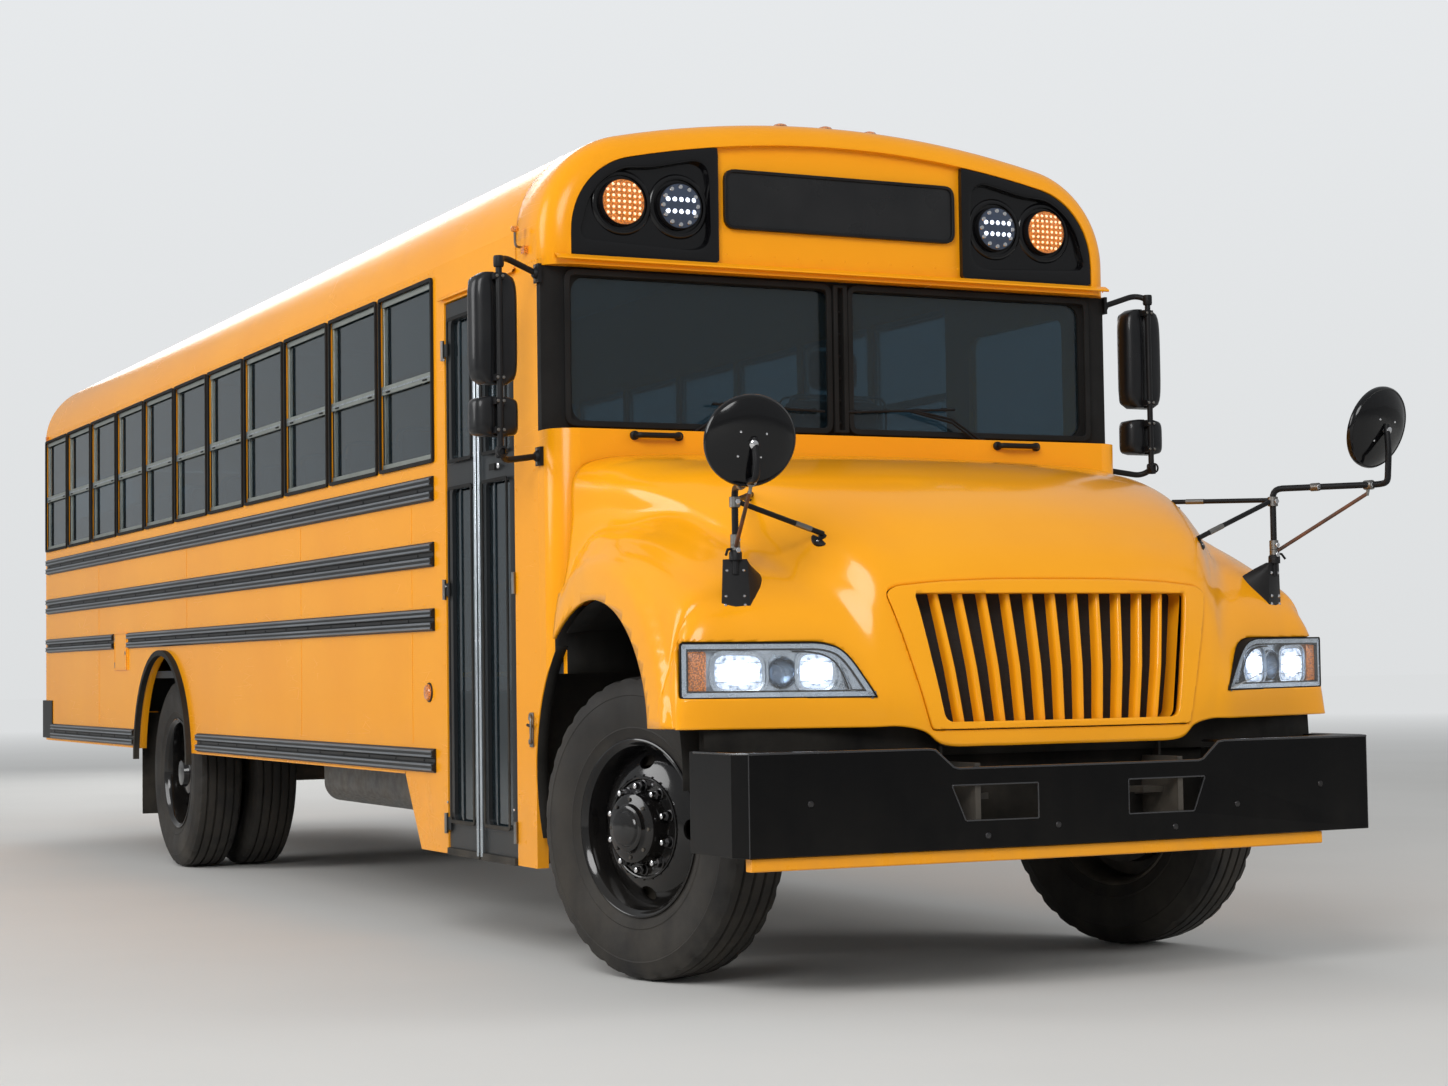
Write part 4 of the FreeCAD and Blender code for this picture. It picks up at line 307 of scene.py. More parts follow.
def spline(values, at):
    """Smooth curve through rows of values, read at places counted in rows."""
    values = np.asarray(values, float)
    padded = np.concatenate([2 * values[:1] - values[1:2], values, 2 * values[-1:] - values[-2:-1]])
    at = np.asarray(at, float)
    i = np.clip(np.floor(at).astype(int), 0, len(values) - 2)
    t = (at - i).reshape((-1,) + (1,) * (values.ndim - 1))
    p0, p1, p2, p3 = padded[i], padded[i + 1], padded[i + 2], padded[i + 3]
    return 0.5 * (2 * p1 + (p2 - p0) * t + (2 * p0 - 5 * p1 + 4 * p2 - p3) * t ** 2 + (3 * p1 - p0 - 3 * p2 + p3)
        * t ** 3)


def trimmed(rows, keep):
    """Faces of a grid of points where keep is positive, cut along its zero line."""
    points = rows.reshape(-1, 3)
    value = keep(points[:, 0], points[:, 1], points[:, 2])
    wide = rows.shape[1]
    out_points = [tuple(p) for p in points]
    crossing = {}
    faces = []

    def cut(a, b):
        key = (min(a, b), max(a, b))
        if key not in crossing:
            t = value[a] / (value[a] - value[b])
            crossing[key] = len(out_points)
            out_points.append(tuple(points[a] + (points[b] - points[a]) * t))
        return crossing[key]

    for i in range(rows.shape[0] - 1):
        for k in range(wide - 1):
            quad = (i * wide + k, i * wide + k + 1, (i + 1) * wide + k + 1, (i + 1) * wide + k)
            inside = [value[q] > 0 for q in quad]
            if all(inside):
                faces.append(quad)
            elif any(inside):
                face = []
                for n in range(4):
                    a, b = quad[n], quad[(n + 1) % 4]
                    if inside[n]:
                        face.append(a)
                    if inside[n] != inside[(n + 1) % 4]:
                        face.append(cut(a, b))
                if len(face) > 2:
                    faces.append(tuple(face))
    used = sorted({i for face in faces for i in face})
    number = {old: new for new, old in enumerate(used)}
    return [out_points[i] for i in used], [tuple(number[i] for i in face) for face in faces]


# ---- effects shared by finishes


class Wiring:
    """A node tree, with nodes and links made by short calls."""

    def __init__(self, tree):
        self.tree = tree

    def put(self, into, value):
        if isinstance(value, bpy.types.NodeSocket):
            self.tree.links.new(value, into)
        elif isinstance(value, str):
            into.default_value = hex_colour(value)
        else:
            into.default_value = value

    def node(self, kind, settings=None, **inputs):
        node = self.tree.nodes.new("ShaderNode" + kind)
        for key, value in (settings or {}).items():
            setattr(node, key, value)
        for key, value in inputs.items():
            name = key.replace("_", " ")
            self.put(node.inputs[int(name[1:]) if name[0] == "n" and name[1:].isdigit() else name], value)
        return node

    def noise(self, place, scale, detail=3.0, rough=0.5):
        return self.node("TexNoise", Vector=place, Scale=scale, Detail=detail, Roughness=rough).outputs["Fac"]

    def times(self, a, b, clamp=False):
        return self.maths("MULTIPLY", a, b, clamp)

    def maths(self, operation, a, b=0.0, clamp=False):
        return self.node("Math", {"operation": operation, "use_clamp": clamp}, n0=a, n1=b).outputs[0]

    def span(self, value, low, high, to_low=0.0, to_high=1.0):
        node = self.node("MapRange", {"clamp": True}, n0=value, n1=low, n2=high, n3=to_low, n4=to_high)
        return node.outputs[0]

    def blend(self, amount, a, b, kind="MIX"):
        node = self.node("Mix", {"data_type": "RGBA", "blend_type": kind})
        self.put(node.inputs[0], amount)
        self.put(node.inputs[6], a)
        self.put(node.inputs[7], b)
        return node.outputs[2]

    def stretched(self, place, x, y, z):
        return self.node("Mapping", Vector=place, Scale=(x, y, z)).outputs[0]

    def height(self, place):
        return self.node("SeparateXYZ", Vector=place).outputs[2]


def effect(name, inputs, outputs):
    """A node group that starts from a place and other named inputs: itself, its wiring and both ends."""
    group = bpy.data.node_groups.new(name, "ShaderNodeTree")
    for label, kind, value in (("Place", "Vector", None),) + inputs:
        socket = group.interface.new_socket(label, in_out="INPUT", socket_type="NodeSocket" + kind)
        if value is not None:
            socket.default_value = value
    for label, kind in outputs:
        group.interface.new_socket(label, in_out="OUTPUT", socket_type="NodeSocket" + kind)
    start = group.nodes.new("NodeGroupInput").outputs
    end = group.nodes.new("NodeGroupOutput").inputs
    return group, Wiring(group), start["Place"], start, end


def mottle_effect():
    """A colour that drifts between two tones over the surface."""
    group, w, place, start, end = effect("mottle", (("Colour", "Color", None), ("Other", "Color", None),
        ("Scale", "Float", 3.0), ("Amount", "Float", 0.3)), (("Colour", "Color"),))
    cloud = w.span(w.noise(place, start["Scale"], 4.0), 0.35, 0.68)
    w.put(end["Colour"], w.blend(w.times(cloud, start["Amount"]), start["Colour"], start["Other"]))
    return group


def road_dust_effect():
    """Dust that the road throws up: thick near the ground, thin above, in patches and streaks."""
    group, w, place, start, end = effect("road_dust", (("Colour", "Color", None),
        ("Dust", "Color", (0.2, 0.17, 0.13, 1)), ("Reach", "Float", 0.9), ("Amount", "Float", 0.4)),
        (("Colour", "Color"), ("Mask", "Float")))
    low = w.span(w.maths("DIVIDE", w.height(place), start["Reach"]), 0.1, 1.0, 1.0, 0.0)
    patches = w.span(w.noise(place, 5.0, 6.0, 0.65), 0.3, 0.75)
    streaks = w.span(w.noise(w.stretched(place, 9.0, 9.0, 0.6), 1.0, 3.0), 0.35, 0.7)
    spread = w.times(low, w.maths("ADD", patches, w.times(streaks, 0.5)))
    mask = w.times(spread, start["Amount"], clamp=True)
    w.put(end["Mask"], mask)
    w.put(end["Colour"], w.blend(mask, start["Colour"], start["Dust"]))
    return group


def sheet_ripple_effect():
    """Height of painted sheet: slow waves of the panel and fine orange peel of the paint."""
    group, w, place, start, end = effect("sheet_ripple", (("Wave", "Float", 1.0), ("Peel", "Float", 1.0)),
        (("Height", "Float"),))
    wave = w.times(w.noise(place, 1.7, 2.0), start["Wave"])
    peel = w.times(w.noise(place, 260.0, 2.0), w.times(start["Peel"], 0.012))
    w.put(end["Height"], w.maths("ADD", wave, peel))
    return group


def grain_effect():
    """Fine pebbled grain of moulded plastic, rubber and vinyl, with a mask that varies its sheen."""
    group, w, place, start, end = effect("grain", (("Scale", "Float", 400.0),),
        (("Height", "Float"), ("Mask", "Float")))
    cells = w.node("TexVoronoi", {"feature": "DISTANCE_TO_EDGE"}, Vector=place, Scale=start["Scale"])
    fine = w.noise(place, w.times(start["Scale"], 0.6), 2.0)
    w.put(end["Height"], w.maths("ADD", w.span(cells.outputs["Distance"], 0.0, 0.3), fine))
    w.put(end["Mask"], w.noise(place, 7.0, 4.0))
    return group


def scuffs_effect():
    """Fine scratches and rubbed patches."""
    group, w, place, start, end = effect("scuffs", (("Scale", "Float", 20.0), ("Amount", "Float", 0.5)),
        (("Mask", "Float"),))
    lines = w.node("TexVoronoi", {"feature": "DISTANCE_TO_EDGE"}, Vector=w.stretched(place, 0.35, 0.35, 2.6),
        Scale=start["Scale"]).outputs["Distance"]
    thin = w.span(lines, 0.0, 0.02, 1.0, 0.0)
    where = w.span(w.noise(place, 3.5, 5.0), 0.52, 0.66)
    w.put(end["Mask"], w.times(w.times(thin, where), start["Amount"], clamp=True))
    return group


EFFECTS = {group.name: group for group in (mottle_effect(), road_dust_effect(), sheet_ripple_effect(),
    grain_effect(), scuffs_effect())}


class Finish(Wiring):
    """One finish: a Principled surface whose colour, roughness and bump come from effects."""

    def __init__(self, name, roughness=0.5, metallic=0.0, **plain):
        self.material = bpy.data.materials.new(name)
        self.material.use_nodes = True
        super().__init__(self.material.node_tree)
        self.shader = self.tree.nodes["Principled BSDF"]
        self.set(Roughness=roughness, Metallic=metallic, **plain)
        self.place = self.tree.nodes.new("ShaderNodeTexCoord").outputs["Object"]

    def set(self, **inputs):
        for key, value in inputs.items():
            self.put(self.shader.inputs[key.replace("_", " ")], value)
        return self

    def effect(self, name, **inputs):
        node = self.tree.nodes.new("ShaderNodeGroup")
        node.node_tree = EFFECTS[name]
        self.put(node.inputs["Place"], self.place)
        for key, value in inputs.items():
            self.put(node.inputs[key], value)
        return node.outputs

    def mottled(self, colour, other, scale, amount):
        return self.effect("mottle", Colour=colour, Other=other, Scale=scale, Amount=amount)["Colour"]

    def dusted(self, tone, reach, amount):
        return self.effect("road_dust", Colour=tone, Reach=reach, Amount=amount)

    def bump(self, height, distance, strength=1.0):
        node = self.node("Bump", Height=height, Strength=strength, Distance=distance)
        self.put(self.shader.inputs["Normal"], node.outputs[0])

    def ribs(self, direction, scale):
        waves = self.node("TexWave", {"bands_direction": direction}, Vector=self.place, Scale=scale)
        return waves.outputs["Fac"]

    def grained(self, scale, low, high, depth, strength):
        """A pebbled grain that varies the roughness between two values."""
        grain = self.effect("grain", Scale=scale)
        self.set(Roughness=self.span(grain["Mask"], 0.3, 0.7, low, high))
        self.bump(grain["Height"], depth, strength)


def paint(name, colour, shade, roughness=0.24, coat=0.12, wave=0.0022, dust=0.25, change=None, shine=0.2):
    """Coach paint over sheet metal: drifting tone, panel waves, orange peel, dust below."""
    f = Finish(name, Coat_Weight=coat, Coat_Roughness=0.06, Specular_IOR_Level=shine)
    tone = f.mottled(colour, shade, 1.3, 0.55)
    if change:
        tone = change(f, tone)
    dusty = f.dusted(tone, 0.9, dust)
    worn = f.times(f.effect("scuffs", Scale=9.0, Amount=0.35)["Mask"], 0.4)
    f.set(Base_Color=dusty["Colour"], Roughness=f.span(f.maths("ADD", dusty["Mask"], worn), 0.0, 1.0, roughness,
        0.7))
    f.bump(f.effect("sheet_ripple", Wave=1.0, Peel=1.0)["Height"], wave)
    return f.material


def white_top(f, tone):
    """White paint on the roof above a straight line, the body's colour below it."""
    line = f.span(f.height(f.place), PAINT_LINE, PAINT_LINE + 0.004)
    return f.blend(line, tone, "EDEBE4")


def plastic(name, colour, roughness=0.5, grain=420.0, depth=0.00025, dust=0.15, coat=0.0, shine=0.22):
    f = Finish(name, Coat_Weight=coat, Specular_IOR_Level=shine)
    f.set(Base_Color=f.dusted(f.mottled(colour, "3A3A3A", 6.0, 0.12), 1.5, dust)["Colour"])
    f.grained(grain, roughness - 0.08, roughness + 0.1, depth, 0.6)
    return f.material


def tyre_rubber():
    f = Finish("tyre_rubber", Specular_IOR_Level=0.3)
    f.set(Base_Color=f.dusted(f.mottled("1A1A1B", "2B2927", 7.0, 0.5), 1.7, 0.16)["Colour"])
    f.grained(520.0, 0.6, 0.82, 0.0003, 0.5)
    return f.material


def bare_metal(name, colour, roughness=0.35, stain="6B5A48", worn=0.3, brush=(6, 6, 180), dust=0.2):
    f = Finish(name, metallic=1.0)
    lines = f.noise(f.stretched(f.place, *brush), 3.0, 3.0)
    f.set(Base_Color=f.dusted(f.mottled(colour, stain, 9.0, worn), 1.2, dust)["Colour"], Roughness=f.span(lines,
        0.3, 0.7, roughness - 0.07, roughness + 0.13))
    f.bump(lines, 0.0002, 0.4)
    return f.material


def chassis_paint(name, colour, rust="4A2A17", amount=0.3, roughness=0.55):
    f = Finish(name)
    dusty = f.dusted(f.mottled(colour, rust, 14.0, amount), 1.3, 0.55)
    f.set(Base_Color=dusty["Colour"], Roughness=f.span(dusty["Mask"], 0.0, 1.0, roughness, 0.9))
    f.bump(f.effect("sheet_ripple", Wave=0.4, Peel=4.0)["Height"], 0.002)
    return f.material


def pane(name, tint, roughness=0.02, shine=0.5):
    """Tinted glass with a faint film of dust."""
    f = Finish(name, Transmission_Weight=0.94, IOR=1.45, Specular_IOR_Level=shine)
    film = f.effect("road_dust", Colour=tint, Dust=(0.45, 0.45, 0.42, 1), Reach=2.6, Amount=0.05)
    smear = f.noise(f.stretched(f.place, 2.0, 2.0, 0.7), 2.2, 5.0)
    f.set(Base_Color=film["Colour"], Roughness=f.span(smear, 0.45, 0.75, roughness, roughness + 0.05))
    return f.material


def lens(name, colour, glow=0.0, ribs=240.0):
    """Moulded lamp lens with fine prisms, lit a little from behind; on a part with no lamp, such as a reflector,
    that glow is painted light.
    """
    f = Finish(name, 0.12, Coat_Weight=0.8)
    cells = f.node("TexVoronoi", Vector=f.place, Scale=ribs)
    dots = f.span(cells.outputs["Distance"], 0.0, 0.7, 1.0, 0.25)
    f.set(Base_Color=f.blend(dots, "1A1008", f.mottled(colour, "FFFFFF", 30.0, 0.05)))
    if glow:
        f.set(Emission_Color=f.blend(dots, "201004", colour), Emission_Strength=glow)
    f.bump(dots, 0.0006, 0.6)
    return f.material


def light_source(name, colour, strength, rim="8E98A6", scale=160.0):
    """A bright emitter: light cells with a little structure."""
    f = Finish(name, 0.2)
    cells = f.span(f.noise(f.place, scale, 2.0), 0.3, 0.55)
    f.set(Base_Color=f.blend(cells, rim, "FFFFFF"), Emission_Color=f.blend(cells, rim, colour),
        Emission_Strength=strength)
    return f.material


def vinyl(name, colour, shade):
    f = Finish(name, Coat_Weight=0.15, Sheen_Weight=0.1)
    f.set(Base_Color=f.mottled(colour, shade, 5.0, 0.5))
    f.grained(300.0, 0.4, 0.6, 0.0005, 0.7)
    return f.material


def floor_covering():
    f = Finish("ribbed_rubber_floor", 0.7)
    f.set(Base_Color=f.mottled("26282A", "46433D", 3.0, 0.6))
    f.bump(f.ribs("Y", 40.0), 0.0012, 0.7)
    return f.material


def woven_mesh():
    """Black insect screen behind the grille; the gaps between its wires are near-black, painted shade seen
    through the holes.
    """
    f = Finish("screen_mesh", 0.55)
    wires = f.maths("MAXIMUM", f.ribs("Y", 75.0), f.ribs("Z", 75.0))
    f.set(Base_Color=f.blend(f.span(wires, 0.5, 0.9), "040404", "1B1B1C"))
    f.bump(wires, 0.001, 0.8)
    return f.material


F = {
    "yellow": paint("school_bus_yellow", "FBA614", "F29A0C"),
    # the hood's yellow is a touch lighter than the body's: painted light of the lit hood top; its glossier coat
    # is its own
    "yellow_hood": paint("hood_yellow_painted_lighter", "FCA916", "F59E0C", roughness=0.2, coat=0.3, wave=0.0012),
    "roof": paint("roof_paint", "FBA614", "F29A0C", change=white_top, dust=0.0),
    "white": paint("roof_white", "EDEBE4", "DAD8D0", roughness=0.35, coat=0.2, dust=0.0),
    "black": paint("gloss_black_paint", "08080A", "0E0E10", roughness=0.15, coat=0.3, wave=0.001, dust=0.06),
    "bumper": paint("bumper_black_paint", "070708", "0C0C0D", roughness=0.32, coat=0.04, wave=0.0008, dust=0.04,
                    shine=0.1),
    "rail": paint("rail_black_paint", "1A1B1C", "232426", roughness=0.38, coat=0.0, wave=0.0006, dust=0.1),
    # light grey for the ridges on the rub rails' ribs: painted highlight
    "rail_edge": paint("rail_ridge_painted_highlight", "70757A", "55585C", roughness=0.4, coat=0.1, wave=0.0004),
    "wheel": paint("wheel_black_enamel", "08080A", "101012", roughness=0.14, coat=0.5, wave=0.0003, dust=0.08),
    "door": paint("door_dark_grey", "1F2224", "2A2D30", roughness=0.36, coat=0.05, wave=0.0005, dust=0.1,
                  shine=0.25),
    "red": paint("stop_sign_red", "9E1B1B", "861414", roughness=0.35, coat=0.2, dust=0.0),
    "satin": plastic("satin_black_plastic", "131315", 0.42, dust=0.08),
    "moulded": plastic("moulded_black_plastic", "1A1A1B", 0.6),
    "rubber": plastic("black_rubber", "161616", 0.72, 300.0, 0.0004, 0.3),
    "mirror_back": plastic("mirror_housing", "101114", 0.34, 520.0, 0.00012, 0.04, coat=0.25),
    "tyre": tyre_rubber(),
    "aluminium": bare_metal("satin_aluminium", "A9AEA8", 0.38, "8A8F88", 0.3, (4, 4, 120), 0.05),
    "seal": bare_metal("bright_seal_strip", "C4CCD2", 0.28, "8F979E", 0.25, (60, 60, 1), 0.05),
    "chrome": bare_metal("chrome", "D8D8DA", 0.12, "A0A0A2", 0.15, (2, 2, 2), 0.0),
    "steel": bare_metal("worn_steel", "8C8C8A", 0.4, "5A4A3A", 0.45),
    "tank": bare_metal("tank_steel", "5D5F60", 0.45, "3C342C", 0.4, (8, 60, 8), 0.7),
    "mirror": bare_metal("mirror_glass", "C8D0D4", 0.03, "B4BCC0", 0.1, (1, 1, 1), 0.0),
    "rusty": chassis_paint("rusted_rod", "3A2A20", "7A4522", 0.9),
    # near-black with dark rust: partly the frame's own black paint, partly painted shade so the frame behind the
    # bumper stays dark under the key light
    "frame": chassis_paint("frame_black", "08080A", "2A1A10", 0.15),
    # lighter grey for the bumper's rolled edges and rims: painted highlight
    "edge": paint("bumper_edge_highlight_paint", "2E2E30", "242426", roughness=0.25, coat=0.25, wave=0.0008, dust=0.05,
                  shine=0.45),
    "cast": chassis_paint("raw_casting", "322E2A", "5A3A22", 0.5, 0.7),
    "glass": pane("tinted_glass", "5F7682"),
    "clear": pane("lamp_cover", "F4F7FA", 0.01),
    "amber": lens("amber_lens", "F08A14", 0.55),
    "amber_lit": lens("amber_lamp", "F58A1E", 0.5, 190.0),
    # red lenses glow faintly; on the rear reflectors, which hold no lamp, the glow is painted light
    "red_lens": lens("red_lens", "A01010", 0.1),
    "white_lens": lens("white_lens", "C8D0D8", 0.0, 150.0),
    "lit": light_source("lamp_light", "F2F8FF", 2.4, "B8C8DC", 70.0),
    "halo": light_source("lamp_halo", "C9DAF2", 0.9, "76859A", 55.0),
    "lamp_face": plastic("lamp_face", "3A4456", 0.25, 700.0, 0.0001, 0.0, coat=0.3),
    "led": light_source("warning_led", "E4EEFF", 2.2, "5C6C94", 90.0),
    "reflector": bare_metal("lamp_reflector", "C9D2DC", 0.22, "8A94A0", 0.5, (3, 3, 3), 0.0),
    "nut": bare_metal("dark_nut_steel", "4A4A4C", 0.3, "2A2420", 0.4, (3, 3, 3), 0.1),
    "amber_dot": light_source("amber_cells", "FFB03A", 1.2, "B85A08", 300.0),
    "projector": pane("projector_lens", "9FB0C4", 0.03, 0.9),
    "seat": vinyl("seat_vinyl", "2A3242", "1E2530"),
    "piping": vinyl("seat_piping", "181C24", "0F1218"),
    "dash": vinyl("dash_vinyl", "1D1E20", "2A2A2C"),
    "floor": floor_covering(),
    "mesh": woven_mesh(),
    "sign": plastic("blank_sign", "161719", 0.3, 600.0, 0.0001, 0.0, coat=0.3),
    "dark": plastic("shadow_black", "050505", 0.8),
}


# ---- hood, grille and headlamps

# Hood and fenders as a net, in millimetres: rows from the cowl forward, columns from the middle outward.
HOOD_NET = [mm(row) for row in """
3912 0 1835, 3912 400 1833, 3912 800 1826, 3912 1050 1805, 3912 1140 1745,
3912 1148 1600, 3912 1165 1450, 3912 1190 1310, 3912 1210 1150, 3912 1215 870
/ 4100 0 1822, 4100 400 1815, 4100 760 1805, 4100 1000 1785, 4100 1090 1720,
4100 1100 1620, 4100 1125 1545, 4100 1175 1480, 4100 1205 1350, 4100 1220 870
/ 4280 0 1802, 4280 380 1797, 4280 720 1782, 4280 930 1752, 4280 1045 1690,
4280 1060 1600, 4280 1090 1545, 4280 1165 1495, 4280 1215 1360, 4280 1235 870
/ 4500 0 1770, 4500 360 1765, 4500 680 1745, 4500 870 1715, 4500 975 1635,
4500 1005 1575, 4500 1070 1525, 4500 1155 1470, 4500 1220 1350, 4500 1250 870
/ 4720 0 1715, 4720 340 1710, 4720 640 1690, 4720 820 1650, 4720 925 1560,
4720 965 1500, 4720 1040 1465, 4720 1140 1410, 4720 1225 1290, 4720 1262 870
/ 4930 0 1630, 4930 320 1620, 4930 580 1600, 4930 745 1560, 4930 830 1465,
4930 880 1405, 4930 980 1385, 4930 1110 1335, 4930 1220 1230, 4930 1272 870
/ 5100 0 1510, 5100 300 1503, 5090 520 1485, 5080 680 1460, 5080 745 1360,
5050 820 1325, 5030 920 1315, 5000 1070 1285, 4970 1210 1200, 4900 1272 870
/ 5235 0 1345, 5230 300 1340, 5215 500 1330, 5200 600 1315, 5200 660 1240,
5170 730 1205, 5120 880 1205, 5065 1050 1190, 5010 1225 1130, 4955 1274 870
/ 5275 0 1050, 5272 280 1050, 5265 460 1040, 5258 590 1030, 5252 640 1010,
5240 700 1000, 5175 870 1000, 5105 1050 1000, 5035 1235 990, 4990 1272 870
/ 5290 0 800, 5288 280 800, 5285 450 805, 5275 520 850, 5262 600 868,
5245 700 868, 5180 870 868, 5110 1050 868, 5045 1240 868, 5020 1268 868
""".split("/")]
# middle and radius of a front wheel arch, seen from the side
ARCH = (4.28, 0.70, 0.60)
GRILLE_OPENING = rounded_outline(mm("-451 878, 451 878, 526 1290, -526 1290"), [.03, .03, .012, .012])
GRILLE_SEAM = rounded_outline(mm("-497 853, 497 853, 617 1292, 585 1312, 440 1327, 220 1335, -220 1335, "
    "-440 1327, -585 1312, -617 1292"), [.012, .012, .03, .05, .05, .05, .05, .05, .05, .03])
# headlamp in its own upright plane: distance inward from its outer end, and height
LAMP_OUT, LAMP_IN = V(5.028, 1.265, 0), V(5.265, .681, 0)
LAMP_ALONG = (LAMP_IN - LAMP_OUT).normalized()
LAMP_AHEAD = V(-LAMP_ALONG.y, LAMP_ALONG.x, 0)
LAMP_OUTLINE = rounded_outline(mm("4 964, 632 962, 600 1012, 555 1080, 515 1122, 455 1140, 4 1143"),
    [.012, .006, .03, .05, .03, .03, .01])


def net_surface(rows, columns):
    """Points of the hood's net at places counted in rows and, from right to left, in columns."""
    net = np.array(HOOD_NET)
    along = spline(np.concatenate([net[:, :0:-1] * (1, -1, 1), net], axis=1), rows)
    return np.swapaxes(spline(np.swapaxes(along, 0, 1), columns), 0, 1)


def even(start, stop, step):
    return np.arange(start, stop + step * 0.5, step)


def lamp_plane(x, y):
    """Distance inward from a headlamp's outer end, along its plane."""
    dx, dy = x - LAMP_OUT.x, np.abs(y) - LAMP_OUT.y
    return dx * LAMP_ALONG.x + dy * LAMP_ALONG.y


def outside_openings(x, y, z):
    """Positive on the hood's own sheet: outside wheel arches, headlamps and the grille's seam."""
    arch = np.hypot(x - ARCH[0], z - ARCH[1]) - ARCH[2]
    lamp = np.where((x > 4.95) & (z < 1.3), outline_distance(lamp_plane(x, y), z, LAMP_OUTLINE), 1.0)
    seam = np.where(x > 5.1, outline_distance(y, z, GRILLE_SEAM) - 0.001, 1.0)
    return np.minimum(np.minimum(arch, lamp), seam)


def swell(surface):
    """Lets the lip round each wheel arch stand proud of the fender."""
    out = surface.copy()
    x, y, z = surface[..., 0], surface[..., 1], surface[..., 2]
    r = np.hypot(x - ARCH[0], z - ARCH[1])
    band = np.clip((0.75 - r) / 0.03, 0, 1)
    band = band * band * (3 - 2 * band) * np.clip((np.abs(y) - 1.13) / 0.04, 0, 1)
    out[..., 1] += np.sign(y) * 0.016 * band
    return out


def nose_x(y, z):
    return np.interp(z, (.80, 1.05, 1.345), (5.29, 5.275, 5.235)) - 0.075 * y * y


def hood_shell():
    rows = np.concatenate([even(0, 5.9, 0.1), even(6.0, 9.0, 0.05)])
    columns = np.concatenate([even(0, 2.9, 0.1), even(3.0, 15.0, 0.0667), even(15.1, 18, 0.1)])
    p = Piece()
    p.add(*trimmed(swell(net_surface(rows, columns)), outside_openings))
    p.make("hood_shell", "hood", "yellow_hood", "body_yellow", ("hood",), sharp=50, thick=0.014)


def grille_panel():
    p = Piece()
    surface = net_surface(even(6.4, 9.0, 0.04), even(4.5, 13.5, 0.04))
    p.add(*trimmed(surface, lambda x, y, z: np.minimum(-outline_distance(y, z, GRILLE_SEAM) - 0.0025,
        outline_distance(y, z, GRILLE_OPENING))))
    p.make("grille_surround", "hood", "yellow_hood", "body_yellow", ("grille",), sharp=50, thick=0.022)
    bars = Piece()
    top_z, low_z, count = 1.30, 0.868, 11
    for i in range(count):
        share = (i + 1) / (count + 1) * 2 - 1
        rows = []
        for t in np.linspace(0, 1, 15):
            z = top_z + (low_z - top_z) * t
            half_open = .526 + (.451 - .526) * (1.29 - z) / .412
            y = share * half_open
            x, wide, proud = nose_x(y, z), 0.0115 + 0.002 * t, 0.003 * sin(pi * t)
            rows.append([(x - 0.016 + 0.017 * sin(a) + proud, y + wide * cos(a), z)
                for a in np.linspace(0, pi, 9)] + [(x - 0.040, y + wide * a * 0.85, z)
                for a in (-1, -0.5, 0, 0.5, 1)])
        bars.grid(rows, ring=True)
    bars.make("grille_bars", "hood", "yellow_hood", "body_yellow", sharp=45)
    screen = Piece()
    screen.grid([[(nose_x(y, z) - 0.075, y, z) for y in np.linspace(-.55, .55, 23)]
        for z in np.linspace(.862, 1.31, 10)])
    # deep frame between the opening's edge and the screen
    ring = inset_outline(GRILLE_OPENING, -0.004)
    screen.grid([[(nose_x(y, z) - back, y, z) for y, z in ring] for back in (0.012, 0.08)], 1, ring=True)
    screen.make("grille_screen", "hood", "mesh yellow_hood", "body_yellow")


def lamp_point(inward, height, ahead, side):
    p = LAMP_OUT + LAMP_ALONG * inward + LAMP_AHEAD * ahead
    return V(p.x, p.y * side, height)


